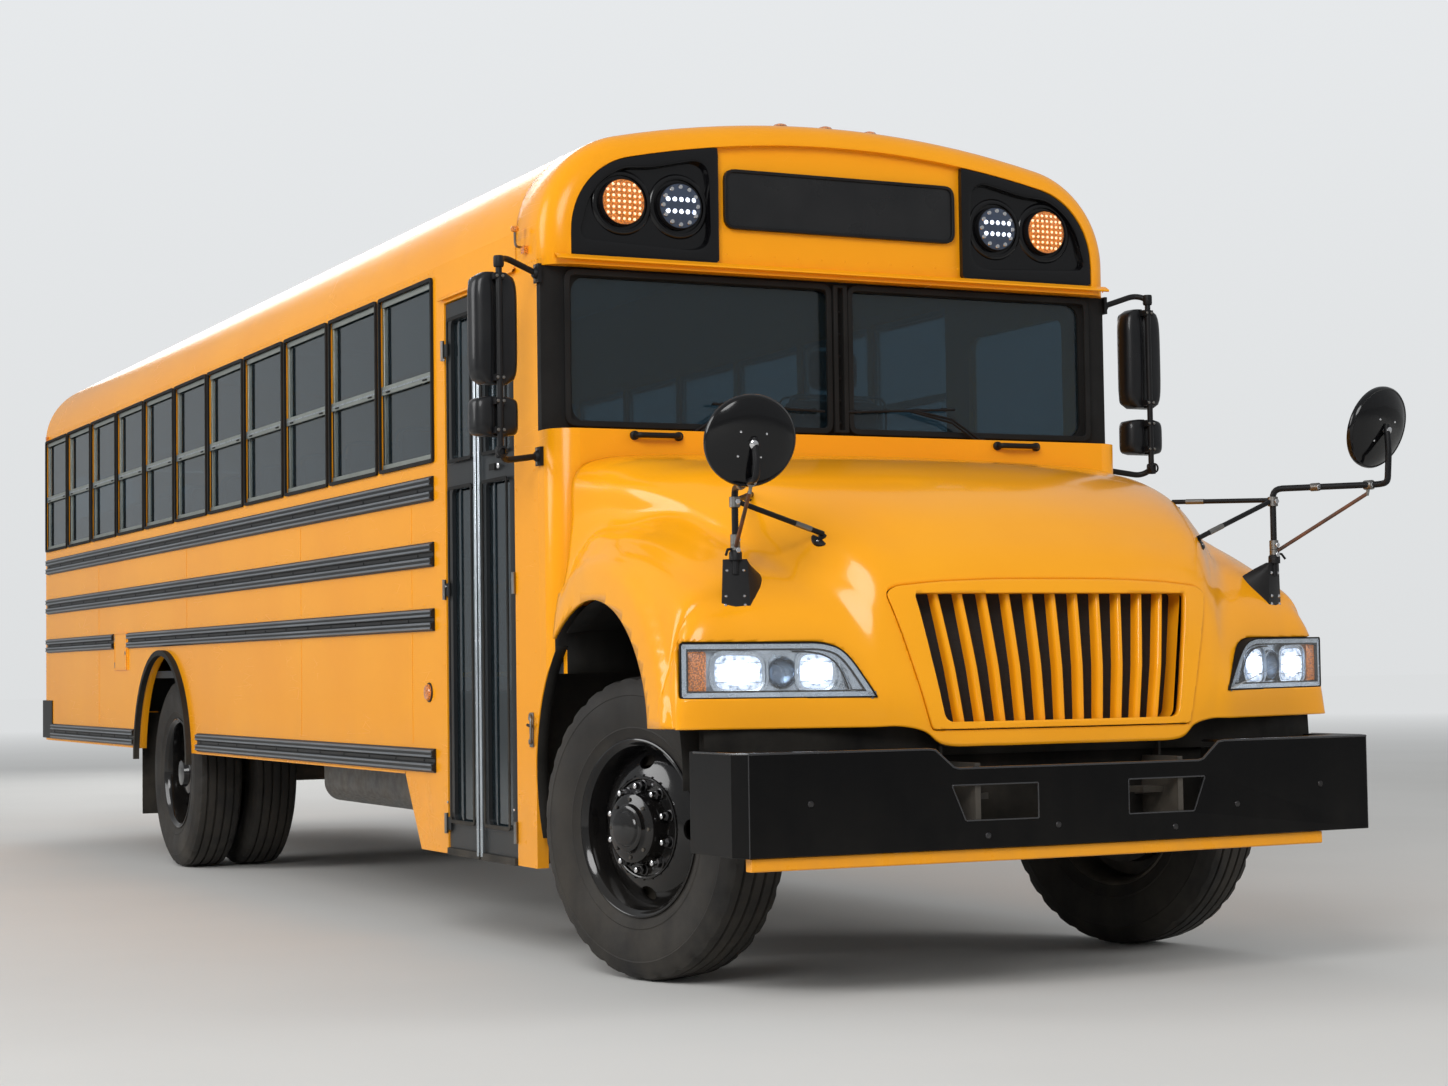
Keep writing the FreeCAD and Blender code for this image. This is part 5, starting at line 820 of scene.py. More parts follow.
def headlamp_units():
    """Each headlamp: a dark edge of painted shade, bright frame, amber end, two lit clusters and a round
    projector.
    """
    for side, word in SIDES:
        p = Piece()

        def ring(outer, inner, front, back, finish):
            p.grid([[lamp_point(a, b, at, side) for a, b in outline] for outline, at in ((outer, front),
                (inner, front), (inner, back), (outer, back))], finish, ring=True, loop=True)

        def patch(outline, ahead, finish, crown=0.0):
            flat = [lamp_point(a, b, ahead, side) for a, b in outline]
            a, b = np.mean([q[0] for q in outline]), np.mean([q[1] for q in outline])
            middle = lamp_point(a, b, ahead + crown, side)
            rise = middle - lamp_point(a, b, ahead, side)
            rows = [flat]
            for t, s in ((0.3, 0.45), (0.7, 0.25)):
                rows.append([q.lerp(middle, t) + rise * s for q in flat])
            p.grid(rows, finish, ring=True)
            p.fan(rows[-1], middle, finish)

        frame_outer, frame_inner, well = (inset_outline(LAMP_OUTLINE, by) for by in (0.005, 0.020, 0.026))
        # the outer edge and the well's wall are in the near-black shadow finish: painted shade in the recess
        ring(LAMP_OUTLINE, frame_outer, 0.006, -0.05, 0)
        ring(frame_outer, frame_inner, 0.004, -0.03, 1)
        ring(frame_inner, well, -0.004, -0.045, 0)
        patch(well, -0.052, 1)
        # inner end: a pale reflector wing beyond the dark curved line
        wing = mm("600 985, 575 1040, 535 1095, 495 1118, 430 1122, 430 1112, 470 1107, "
            "505 1085, 535 1050, 553 985")
        patch(wing[::-1], -0.020, 1)
        line = [lamp_point(a, b, -0.012, side)
            for a, b in mm("360 1110, 420 1108, 465 1098, 500 1075, 525 1030, 540 985")]
        p.tube(rounded_run(line, 0.02, 3), 0.003, 0, sides=6)
        patch(rectangle(.026, .988, .088, 1.114, .008), -0.024, 2, 0.006)
        for low, high in ((.105, .275), (.375, .50)):
            bowl = rounded_outline([(low, .985), (high, .985), (high, 1.105), (low, 1.112)], .05)
            patch(bowl, -0.034, 1, -0.004)
            patch(inset_outline(bowl, .010), -0.032, 5, 0.002)
            a = (low + high) / 2
            reach = (high - low) * .40
            patch([(a + reach * cos(t), 1.047 + .038 * sin(t)) for t in around(24)], -0.028, 3, 0.010)
            for k in (-1, 0, 1):
                p.tube([lamp_point(a, 1.047 + k * .030, -.026, side) for a in (low + .012, high - .012)], .0016,
                    1, 5)
        for low, high in ((.098, .285), (.368, .515)):
            outer = rounded_outline([(low, .980), (high, .980), (high, 1.110), (low, 1.117)], .05)
            ring(outer, inset_outline(outer, 0.007), -0.018, -0.05, 1)
        centre = lamp_point(.328, 1.045, -0.05, side)
        ahead = (lamp_point(0, 0, 1, side) - lamp_point(0, 0, 0, side)).normalized()
        p.turned(mm("48 0, 46 22, 40 26, 38 18, 30 30, 16 38, 0 41"), centre, ahead, 4, segments=28)
        p.turned(mm("50 0, 50 24, 46 26, 45 10"), centre, ahead, 1, segments=28)
        p.make("headlamp_inside_" + word, "hood", "dark reflector amber_lit lit projector halo", "headlamp",
            on_right(side, "headlamps"), sharp=40)
        cover = Piece()
        flat = [lamp_point(a, b, 0.004, side) for a, b in inset_outline(LAMP_OUTLINE, 0.006)]
        middle = lamp_point(0.3, 1.05, 0.016, side)
        rows = [flat] + [[q.lerp(middle, t) for q in flat] for t in (0.12, 0.6)]
        cover.grid(rows, ring=True)
        cover.fan(rows[-1], middle)
        cover.make("headlamp_cover_" + word, "hood", "clear", "glass", sharp=60)


# ---- wheels

# half of a tyre's section, bead to middle of the tread: radius, distance from the middle plane
TYRE_HALF = mm("288 90, 292 100, 303 106, 312 107, 325 115.5, 337 119.5, 341 122.5, "
    "346 120.5, 372 126.5, 408 130.5, 440 130.5, 451 129, 455 131, 460 128.5, "
    "478 122, 494 114.5, 503 109, 510.5 104.5, 513.5 98, 515.5 90, 516.5 77.5, "
    "504.5 74.5, 504.5 68.5, 517.5 65.5, 518.8 45, 519.5 30.5, 506.5 27.5, " "506.5 20.5, 519.8 17.5, 520 0")
SHOULDER_ROWS = (16, 17, 18, 19)


def tyre(piece, centre, axis, segments=128):
    profile = list(TYRE_HALF) + [(r, -out) for r, out in reversed(TYRE_HALF[:-1])]
    count = len(profile)

    def notch(i, k, r, out):
        row = min(i, count - 1 - i)
        if row in SHOULDER_ROWS and k % 4 == 0:
            return r - 0.007, out * 0.985
        return r, out

    piece.turned(profile, centre, axis, 0, segments, notch)


def nuts(piece, centre, axis, radius, face, steel, bright, turn=0.0):
    """Ten wheel nuts on their studs, with bright caps."""
    for foot in circle(centre + axis * face, axis, radius, [a + pi / 10 + turn for a in around(10)]):
        piece.turned([(.021, 0), (.021, .004), (.017, .006)], foot, axis, steel, segments=12)
        piece.turned(mm("17.5 4, 17.5 20, 14.5 24, 10 25"), foot, axis, steel, segments=6)
        piece.turned(mm("10.5 24, 10.5 38, 9 41.5, 5 43, 0 43.5"), foot, axis, bright, segments=10)


def hole_trim(holes, radius, wide, high):
    """Positive on a turned disc outside its hand holes."""
    def keep(a, b, _):
        value = np.full(a.shape, 1.0)
        for angle in around(holes):
            ca, sa = cos(angle), sin(angle)
            out, along = a * ca + b * sa - radius, -a * sa + b * ca
            value = np.minimum(value, np.hypot(out / high, along / wide) - 1.0)
        return value * wide
    return keep


def disc_with_holes(piece, profile, centre, axis, finish, holes, radius, wide, high, segments=96):
    e1, e2, axis, centre = (np.array(v) for v in (*across(axis), axis, centre))
    fine = []
    for (r0, h0), (r1, h1) in zip(profile, profile[1:]):
        steps = max(1, int(abs(r1 - r0) / 0.008))
        fine += [(r0 + (r1 - r0) * i / steps, h0 + (h1 - h0) * i / steps) for i in range(steps)]
    fine.append(profile[-1])
    angles = np.linspace(0, 2 * pi, segments + 1)
    rows = np.array([[(r * cos(a), r * sin(a), h) for a in angles] for r, h in fine])
    points, faces = trimmed(rows, hole_trim(holes, radius, wide, high))
    piece.add([centre + e1 * a + e2 * b + axis * h for a, b, h in points], faces, finish)
    # the rolled edge of each hole
    hs = sorted(fine)
    for angle in around(holes):
        rim = []
        for t in around(24):
            r_out, along = radius + high * cos(t), wide * sin(t)
            a = r_out * cos(angle) - along * sin(angle)
            b = r_out * sin(angle) + along * cos(angle)
            rim.append((a, b, float(np.interp(hypot(a, b), *zip(*hs)))))
        rows = [[centre + e1 * a + e2 * b + axis * (h + up) for a, b, h in rim] for up in (0.001, -0.010)]
        piece.grid(rows, finish, ring=True)


# bead seat and lip that front and rear rims share
RIM_LIP = mm("288 90, 292 100, 301.5 104.5, 305 108, 304.5 113, 300 114.5, 295 112, " "289 104, 281 97, 276 82")
WHEEL_FINISHES = "wheel frame nut chrome"


def front_wheels():
    for side, word in SIDES:
        spin = JOINTS["front_%s_spin" % word]
        axis = Vector(spin["axis"]) * side
        centre = Vector(spin["pos_m"])
        rubber = Piece()
        tyre(rubber, centre, axis)
        rubber.make("tread_front_" + word, "front_%s_wheel" % word, "tyre", "tyre", ("front_%s_tyre" % word,),
            sharp=28)
        p = Piece()
        p.turned(RIM_LIP + [(.272, .055), (.269, .030)], centre, axis, 0, 96)
        disc_with_holes(p, mm("269 30, 262 34, 252 43, 236 55, 215 67, 197 74, 184 77.5, 176 79"), centre, axis,
            0, 4, .224, .036, .024)
        p.turned(mm("176 79, 174.5 84.5, 171 86.5, 167 85.5, 165 80, 163 78, 128 78, 125.5 82, "
            "122 100, 119.5 126, 116.5 136, 108 140.5, 90 141.5, 84.5 143.5, 80 150, "
            "77.5 157.5, 70 160, 62 160.5, 60 164, 55.5 168, 40 170.5, 20 171.5, 0 172"), centre, axis, 0, 72)
        p.turned(mm("288 -90, 298 -105, 292 -110, 284 -104, 274 -85, 267 -40, 266 18, 215 20, "
            "213 -50, 190 -56, 50 -58, 46 -54"), centre, axis, 1, 48)
        nuts(p, centre, axis, .143, .078, 2, 3)
        for place in circle(centre + axis * .1412, axis, .099, around(8)):
            p.hexagon(place, axis, .007, .005, 1)
        p.make("rim_front_" + word, "front_%s_wheel" % word, WHEEL_FINISHES, "wheel_black",
            ("front_%s_wheel" % word,), sharp=30)


def rear_wheels():
    for side, word in SIDES:
        axis = V(0, side, 0)
        rubber = Piece()
        for out in (1.03, .724):
            tyre(rubber, (REAR_AXLE_X, side * out, AXLE_Z), axis)
        rubber.make("tread_rear_" + word, "rear_%s_wheels" % word, "tyre", "tyre", ("rear_%s_tyres" % word,),
            sharp=28)
        p = Piece()
        centre = V(REAR_AXLE_X, side * 1.03, AXLE_Z)
        p.turned(RIM_LIP + [(.272, .02), (.270, -.020)], centre, axis, 0, 80)
        disc_with_holes(p, mm("270 -20, 262 -26, 245 -46, 222 -60, 196 -66, 176 -67"), centre, axis, 0, 4, .224,
            .034, .022, 72)
        p.turned(mm("176 -67, 128 -66, 124.5 -58, 119.5 40, 116 56, 100 62, 78 66, 72 82, "
            "68 92, 50 94.5, 0 95.5"), centre, axis, 0, 56)
        nuts(p, centre, axis, .150, -.066, 2, 3, 0.15)
        p.turned(mm("288 -90, 298 -105, 292 -110, 280 -102, 274 -85, 272 -45, 206 -75"), centre, axis, 1, 40)
        inner = V(REAR_AXLE_X, side * .724, AXLE_Z)
        for turn in (1, -1):
            p.turned([(.288, turn * .090), (.298, turn * .105), (.292, turn * .110), (.284, turn * .102),
                (.274, turn * .085), (.270, turn * .03)], inner, axis, 1, 40)
        p.turned(mm("272 -90, 268 50, 206 46, 206 -84, 190 -88, 70 -88, 66 -80"), inner, axis, 1, 40)
        p.make("rims_rear_" + word, "rear_%s_wheels" % word, WHEEL_FINISHES, "wheel_black",
            ("rear_%s_wheels" % word,), sharp=30)


# ---- front cap: lamps, sign, header

CROWN_Z, CROWN_R = 3.13, 4.253
CORNER_Y, CORNER_Z, CORNER_R = 0.829, 2.65, 0.39


def crown_z(y, below=0.0):
    """Height of the roof's outside at a distance from the middle, on the shallow crown."""
    return CROWN_Z - below - y * y / (2 * CROWN_R)


def section_outline(inset, low, steps=10):
    """Right half of the roof's section from the wall up to the middle: (distance from middle, height)."""
    radius = CORNER_R - inset
    return [(HALF - inset, low)] + [(CORNER_Y + radius * cos(a), CORNER_Z + radius * sin(a))
        for a in np.linspace(0, atan2(3.77, CORNER_Y), steps)]


def lamp_panels():
    """Black hooded panels at both ends of the cap, with a well round each pair of lamps."""
    # the hood stands this far inside the cap's own section
    inset, low = 0.0975, 2.562
    for side, word in SIDES:
        rim = section_outline(inset, low)
        rim += [(y, crown_z(y, inset)) for y in (.80, .70, .60, .527)] + [(.527, low)]
        rim = rounded_outline(rim, [.012] + [0] * (len(rim) - 3) + [.006, .008], 3)
        p = Piece()

        def row(outline, x):
            return [V(x, side * y, z) for y, z in outline]

        well = [(1.085, 2.625), (1.088, 2.68)]
        well += [(CORNER_Y + 0.25 * cos(a), 2.66 + 0.25 * sin(a)) for a in np.linspace(0.1, 1.25, 8)]
        well += mm("800 2905, 620 2945, 575 2925, 565 2880, 562 2660, 585 2618, 640 2605")
        well = rounded_outline(well, .035, 3)
        centre = (.80, 2.76)

        def by_angle(outline):
            """Points of an outline at even angles round the centre, so two outlines can be joined."""
            pts = np.array(outline + outline[:1], float)
            run = np.concatenate([[0], np.cumsum(np.hypot(*np.diff(pts, axis=0).T))])
            at = np.linspace(0, run[-1], 480, endpoint=False)
            a, b = np.interp(at, run, pts[:, 0]), np.interp(at, run, pts[:, 1])
            angles = np.arctan2(b - centre[1], a - centre[0])
            nearest = [np.argmin(np.abs(np.angle(np.exp(1j * (angles - t)))))
                for t in np.linspace(-pi, pi, 97)[:-1]]
            return [(float(a[i]), float(b[i])) for i in nearest]

        outer, inner = by_angle(rim), by_angle(well)
        lip = [(a * .25 + c * .75, b * .25 + d * .75) for (a, b), (c, d) in zip(outer, inner)]
        foot = [(centre[0] + (a - centre[0]) * .955, centre[1] + (b - centre[1]) * .955) for a, b in inner]
        p.grid([row(outer, CAP_X - .028), row(outer, CAP_X - .006), row(lip, CAP_X + .001),
            row(inner, CAP_X - .002), row(foot, CAP_X - .026)], 0, ring=True)
        p.cap(row(foot, CAP_X - .026))
        for y in (.914, .685):
            p.turned(mm("122 0, 118 6, 108 10, 101 8, 99 0"), (CAP_X - .0265, side * y, 2.77), X, 0, 40)
        p.make("lamp_panel_" + word, "bus", "black", "black_paint", on_right(side, "cap_panels"), sharp=38)


def dotted_lamp(piece, centre, out, radius, body, dots, deep=0.024, size=0.0062):
    """A round lamp: rim, domed lens and light dots, each dot with its place and finish."""
    e1 = Z.cross(out).normalized()
    piece.turned([(radius, 0), (radius, deep * .8), (radius * .965, deep), (radius * .94, deep * .86)], centre,
        out, 0, 40)
    piece.turned([(radius * .94, deep * .86), (radius * .7, deep * 1.1), (radius * .35, deep * 1.22),
        (0, deep * 1.25)], centre, out, body, 40)
    for a, b, finish in dots:
        lift = deep * (1.25 - 0.35 * (hypot(a, b) / radius) ** 2)
        place = Vector(centre) + e1 * a + Z * b + out * lift
        piece.turned([(size, -.001), (size * .8, .0022), (0, .003)], place, out, finish, 8)


def body_lamps():
    """Warning lamps, small amber lamps, and the round lamps at the rear."""
    p = Piece()
    step = .021
    cells = [(i * step, j * step) for i in range(-3, 4) for j in range(-3, 4) if hypot(i, j) < 3.7]
    for side, _ in SIDES:
        marker = (DOOR_REAR - .208, side * HALF, .981)
        # outer lamp: amber cells; inner lamp: two lit rows on a dark face
        dotted_lamp(p, (CAP_X - .024, side * .914, 2.77), X, .088, 1, [(a, b, 3) for a, b in cells])
        dots = [(i * .026, b, 4) for i in (-2, -1, 0, 1, 2) for b in (-.022, .022)]
        dots += [(.070 * cos(t), .070 * sin(t), 6) for t in around(12)]
        dotted_lamp(p, (CAP_X - .024, side * .685, 2.77), X, .088, 2, dots, size=.0098)
        for y, z, body in ((.90, 2.76, 5), (.66, 2.76, 1), (.93, 1.50, 5), (.93, 1.25, 1)):
            dotted_lamp(p, (REAR_X, side * y, z), -X, .086, body, [(a, b, body) for a, b in cells], size=.005)
            p.turned(mm("98 0, 98 8, 90 11, 88 4"), (REAR_X, side * y, z), -X, 0, 32)
        p.turned(mm("33 0, 33 8, 29 15, 12 17.5, 0 18"), marker, Y * side, 1, 24)
        p.turned([(.040, 0), (.039, .004), (.034, .005)], marker, Y * side, 0, 24)
        for x, z in ((3.635, 2.59), (REAR_X + .15, 2.652)):
            p.box((x, side * HALF, z), (x + .03, side * (HALF + .016), z + .028), 1)
    for y in (-.195, 0, .195):
        z = crown_z(y)
        p.turned(mm("30 -4, 30 4, 24 12, 10 16.5, 0 17"), (3.71, y, z), Z, 1, 20)
        p.turned([(.036, -.004), (.035, .003), (.030, .004)], (3.71, y, z), Z, 0, 20)
    p.make("lamps", "bus", "satin amber_lit lamp_face amber_dot led red_lens chrome", "lamp_lens",
        ("body_lamps",), sharp=40)


def cap_details():
    """The blank sign with its rounded rim, rivets, the seam to the roof, stalk lamps and aerial."""
    p = Piece()
    outer = rectangle(-.498, 2.700, .498, 2.925, .045)
    p.band(outer, inset_outline(outer, .012), (CAP_X - .030, 0, 0), Y, Z, .020, 0)
    p.slab(inset_outline(outer, .010), (CAP_X - .030, 0, 0), Y, Z, .012, 1)
    p.make("blank_sign", "bus", "satin sign", "black_plastic", bevel=.002)
    trim = Piece()
    for side, _ in SIDES:
        for i in range(9):
            trim.rivet((3.56 + i * .028, side * HALF, 2.556), Y * side, .0045, .002)
    # seam between cap and roof, as a lapped strip
    half = section_outline(-.0022, 2.56, 14) + [(y, crown_z(y, -.0022)) for y in np.linspace(.82, 0, 12)]
    trim.run([(-y, z) for y, z in half] + half[-2::-1], 0, (3.515, 3.545), 1, ring=False)
    trim.make("cap_rivets", "bus", "yellow yellow", "body_yellow")
    stalk = Piece()
    for side, _ in SIDES:
        foot, tip = V(3.61, side * (HALF + .004), 2.62), V(.012, side * .03, .055)
        stalk.tube(rounded_run([foot, foot + V(.01, side * .028, 0), foot + tip], .02, 3), .005, 0, 8)
        stalk.turned(mm("4 0, 14 4, 16 14, 12 22, 0 25"), foot + tip - Z * .003, Z, 1, 14)
    stalk.make("stalk_lamps", "bus", "steel amber", "lamp_lens")
    whip = Piece()
    whip.turned(mm("14 0, 14 8, 6 16, 5 20"), (3.40, -.03, 3.128), Z, 0, 12)
    whip.tube([(3.40, -.03, 3.14), (3.385, -.032, 3.168)], [.004, .0022], 0, 6)
    whip.make("aerial", "bus", "satin", "black_plastic")


# ---- mirrors


def housing(piece, centre, half, finish, glass):
    """A rounded mirror housing facing ahead: two lobes with a groove for the tube, glass behind."""
    cx, cy, cz = centre
    hx, hy, hz = half
    rows = []
    for t in np.linspace(-1, 1, 19):
        t = copysign(abs(t) ** 0.75, t)
        shrink = max((1 - min(abs(t), 1) ** 7) ** 0.2, 0.55)
        dome = 1 - 0.18 * abs(t) ** 3
        ring = []
        for a in np.linspace(-1, 1, 25):
            edge = (1 - min(abs(a), 1) ** 5) ** 0.5
            groove = 0.42 * exp(-(a / 0.13) ** 2)
            x = cx - hx * 0.35 + hx * 1.35 * dome * edge * (1 - groove)
            ring.append((x, cy + hy * shrink * a, cz + hz * t))
        for a in (1.0, 0.97, 0.5, 0, -0.5, -0.97, -1.0):
            ring.append((cx - hx * (0.75 if abs(a) == 1 else 1.0), cy + hy * shrink * a * 0.985, cz + hz * t))
        rows.append(ring)
    piece.grid(rows, finish, ring=True)
    piece.cap(rows[0], finish)
    piece.cap(rows[-1], finish)
    inner = rectangle(cy - hy * .92, cz - hz * .94, cy + hy * .92, cz + hz * .94, hy * .3)
    piece.cap([(cx - hx * 1.005, y, z) for y, z in inner], glass)


def side_mirrors():
    for side, word in SIDES:
        p = Piece()
        y = side * 1.40
        wall = side * 1.231
        path = rounded_run([(3.772, wall, 2.50), (3.800, side * 1.36, 2.545), (3.836, y, 2.53), (3.838, y, 1.835),
            (3.80, side * 1.37, 1.815), (3.772, wall, 1.835)], .045, 5)
        p.tube(path, .0115, 0, 12)
        for z, hz in ((2.29, .20), (1.972, .070)):
            housing(p, (3.782, y, z), (.040, .090, hz), 1, 2)
            # strap clamps round the tube, above and below each housing
            for end in (-1, 1):
                zz = z + end * (hz - .018)
                p.box((3.802, y - .020, zz - .011), (3.846, y + .020, zz + .011), 0)
                for dy in (.011, -.011):
                    p.hexagon((3.846, y + dy, zz), X, .006, .005, 3)
        for z in (2.50, 1.835):
            p.box((3.748, side * HALF, z - .034), (3.796, side * (HALF + .013), z + .034), 0)
            p.turned(mm("20 0, 20 20, 15 26, 0 27"), (3.772, side * HALF, z), Y * side, 0, 16)
            for dz in (-.024, .024):
                p.hexagon((3.772, side * (HALF + .013), z + dz), Y * side, .007, .006, 3)
        # joints where the arms bend
        for x, z in ((3.836, 2.525), (3.838, 1.84)):
            p.turned(mm("17 -20, 19 -14, 19 14, 17 20"), (x, y, z), Z, 0, 16)
        p.turned([(.021, 0), (.021, .014), (.012, .017)], (3.846, y, 1.842), X, 0, 14)
        p.make("side_mirror_" + word, "bus", "satin mirror_back mirror steel", "black_plastic",
            on_right(side, "side_mirrors"), bevel=0.002, sharp=42)


def brace_foot(piece, seat, lean, radius, finish, screws):
    piece.turned([(radius * 1.05, -.014), (radius * 1.05, .004), (radius * .94, .008), (radius * .44, .010),
        (radius * .36, .020), (0, .021)], seat, lean, finish, 28)
    for place in circle(seat + lean * .008, lean, radius * .72, [a + pi / 4 for a in around(4)]):
        piece.rivet(place, lean, .005, .003, screws, 10)


def crossview_mirrors():
    """A finned foot on each fender, a pole, an arm reaching ahead, two braces and a round dish."""
    sides = ((-1, "right", 1.635, 1.154, 1.758), (1, "left", 1.670, 1.298, 1.868))
    for side, word, arm_z, head_y, head_z in sides:
        p = Piece()
        foot = V(5.040, side * 1.065, 0)
        # the fin: a flat face turned outward with its screws, and a curved back running up the fender
        front, far = V(5.060, side * 1.020, 0), V(5.014, side * 1.112, 0)
        tip = V(4.985, side * .925, 0)
        rows = []
        for t in np.linspace(0, 1, 9):
            z = 1.236 + .172 * t
            back = tip.lerp(foot, (t - .52) ** 1.5 / .48 ** 1.5 * .80) if t > .52 else tip
            a = front.lerp(far, .02 + .10 * t)
            b = far.lerp(front, .02 + .10 * t)
            ring = [a, a.lerp(b, .5) + V(.004, side * .002, 0), b]
            ring += [b.lerp(back, s) + V(-.012 * sin(pi * s), side * .004, 0) for s in (.25, .5, .75)]
            ring += [back] + [a.lerp(back, s) + X * .010 * sin(pi * s) for s in (.75, .5, .25)]
            rows.append([V(q.x, q.y, z - (0.10 * (1 - t) if i == 2 else 0)) for i, q in enumerate(ring)])
        p.grid([[q - Z * .05 for q in rows[0]]] + rows, 0, ring=True)
        p.cap(rows[-1])
        out = ((far - front).cross(Z) * side).normalized()
        for t, z in ((.2, 1.262), (.8, 1.262), (.22, 1.290), (.78, 1.290), (.24, 1.372), (.74, 1.372)):
            p.rivet(front.lerp(far, t) + Z * z + out * .002, out, .0062, .004, 3, 10)
        pole = rounded_run([(foot.x, foot.y, 1.36), (foot.x, foot.y, arm_z), (5.335, side * head_y, arm_z),
            (5.376, side * (head_y + .002), arm_z + .004), (5.384, side * (head_y + .004), head_z - .075),
            (5.374, side * (head_y + .005), head_z + .006)], .035, 5)
        p.tube(pole, .0112, 0, 12)
        p.turned([(.021, 0), (.021, .024), (.015, .032)], (foot.x, foot.y, 1.405), Z, 0, 16)
        end = V(5.300, side * (head_y - .018), arm_z)
        for place, axis, wide in (((foot.x, foot.y, 1.47), Z, .016), ((foot.x, foot.y, 1.436), Z, .016),
                ((foot.x, foot.y, arm_z - .045), Z, .018), (end, (.9, side * .3, 0), .017),
                ((5.16, foot.y + side * (head_y - 1.065) * .4, arm_z), (.9, side * .3, 0), .0145)):
            p.turned([(.012, -.018), (wide, -.016), (wide, .016), (.012, .018)], place, axis, 2, 12)
            p.hexagon(Vector(place) + V(wide, 0, 0), X, .009, .008, 3)
        low = V(foot.x, foot.y, 1.442)
        p.tube([low, end + V(-.01, 0, -.03)], .0068, 4, 10)
        p.tube([end + V(-.01, 0, -.036), end + V(0, 0, -.006)], .006, 2, 8)
        p.tube([low + Y * side * .004, low + V(.004, side * .030, -.004), low + V(.012, side * .040, -.022)],
            .0045, 0, 8)
        top = V(foot.x, foot.y, arm_z - .040)
        for seat, lean, radius in ((V(5.02, side * .739, 1.476), V(.62, side * .22, .75), .036),
                (V(4.73, side * .85, 1.618), V(.16, side * .10, .98), .030)):
            lean.normalize()
            reach = seat + lean * .022
            p.tube([top, top.lerp(reach, .6), reach], .0088, 0, 10)
            p.tube([top.lerp(reach, .68), top.lerp(reach, .86)], .0098, 2, 10)
            brace_foot(p, seat, lean, radius, 0, 3)
        # convex dish: dark back with a rolled rim, bright glass behind
        axis = V(.92, side * .2, -.3).normalized()
        middle = V(5.335, side * head_y, head_z)
        p.turned(mm("138.5 -19, 144.5 -16, 146.2 -8, 145.5 0, 141.5 6, 137 5, 131 9, 112 18.5, "
            "84 27, 50 32.5, 20 35, 0 35.5"), middle, axis, 1, 72)
        p.turned(mm("140 -18, 137 -20, 100 -34, 60 -43, 30 -46, 0 -47"), middle, axis, 5, 64)
        p.turned(mm("14 -6, 14 10, 9 14, 0 16"), middle + axis * .040, axis, 3, 16)
        face = middle + axis * .0315
        for place in circle(face, axis, .052, (0.6, 2.4, 5.3)) + circle(face, axis, .060, (3.9,)):
            p.rivet(place, axis, .0045, .003, 3, 10)
        p.make("crossview_" + word, "hood", "satin black steel chrome rusty mirror", "black_plastic",
            on_right(side, "crossview_mirrors"), sharp=40)


# ---- doors and their seals


def entry_door_trim():
    face, inside = -1.2245, -1.1745
    for word, x0, x1, seal in (("front", 3.132, 3.497, 3.132), ("rear", 2.755, 3.120, 3.120)):
        body = "entry_door_" + word
        inward = 1 if word == "front" else -1
        p = Piece()
        # bright edge strip with a rounded nose, next to the meeting line
        a, b = sorted((seal + inward * .006, seal + inward * .022))
        ring = [(a, face + .004), (a, face - .003), (a + .004, face - .007), (b - .004, face - .007),
            (b, face - .003), (b, face + .004)]
        p.run(ring, 2, (.358, 2.518))
        p.cap([(x, y, 2.518) for x, y in ring])
        for z in np.arange(.46, 2.45, .24):
            p.rivet(((a + b) / 2, face - .007, z), -Y, .0035, .0018, 2, 8)
        # rubber gaskets round the panes
        for z0, z1 in ((.48, 1.78), (1.893, 2.449)):
            outer = rectangle(x0 + .046, z0 - .010, x1 - .046, z1 + .010, .022)
            for y in (face, inside):
                p.band(outer, inset_outline(outer, .014), (0, y, 0), X, Z, .006, 1)
        # sweeper at the foot, guard bar, pull slot
        p.box((x0 + .004, face - .003, .345), (x1 - .004, face + .012, .372), 1)
        if word == "front":
            p.box((3.262, face - .004, 1.822), (3.322, face + .002, 1.846), 1)
            p.turned(mm("12 0, 12 5, 8 8, 0 8.5"), (3.36, face, 1.834), -Y, 2, 16)
        p.tube([(x0 + .06, -1.150, 1.05), (x1 - .06, -1.150, 1.05)], .011, 3, 10)
        for x in (x0 + .065, x1 - .065):
            p.tube([(x, -1.176, 1.05), (x, -1.150, 1.05)], .009, 3, 8)
        for z in (.55, 1.40, 2.30):
            p.hexagon(((x1 if word == "front" else x0) - inward * .010, face, z), -Y, .006, .004, 2)
        p.make(body + "_trim", body, "seal rubber chrome yellow", "aluminium", bevel=.0012)
    # lip above the doors and rivets beside the opening, on the wall
    p = Piece()
    lip = mm("-1219.5 2556, -1232 2548, -1236 2540, -1232 2538, -1219.5 2546")
    p.run(lip, 0, (2.72, 3.54))
    for x in (2.727, 3.524):
        for z in np.arange(.45, 2.52, .16):
            p.rivet((x, -1.2192, z), -Y, .0042, .002, 0, 8)
    p.make("door_lip", "bus", "yellow", "body_yellow", bevel=.001)


# ---- body sides


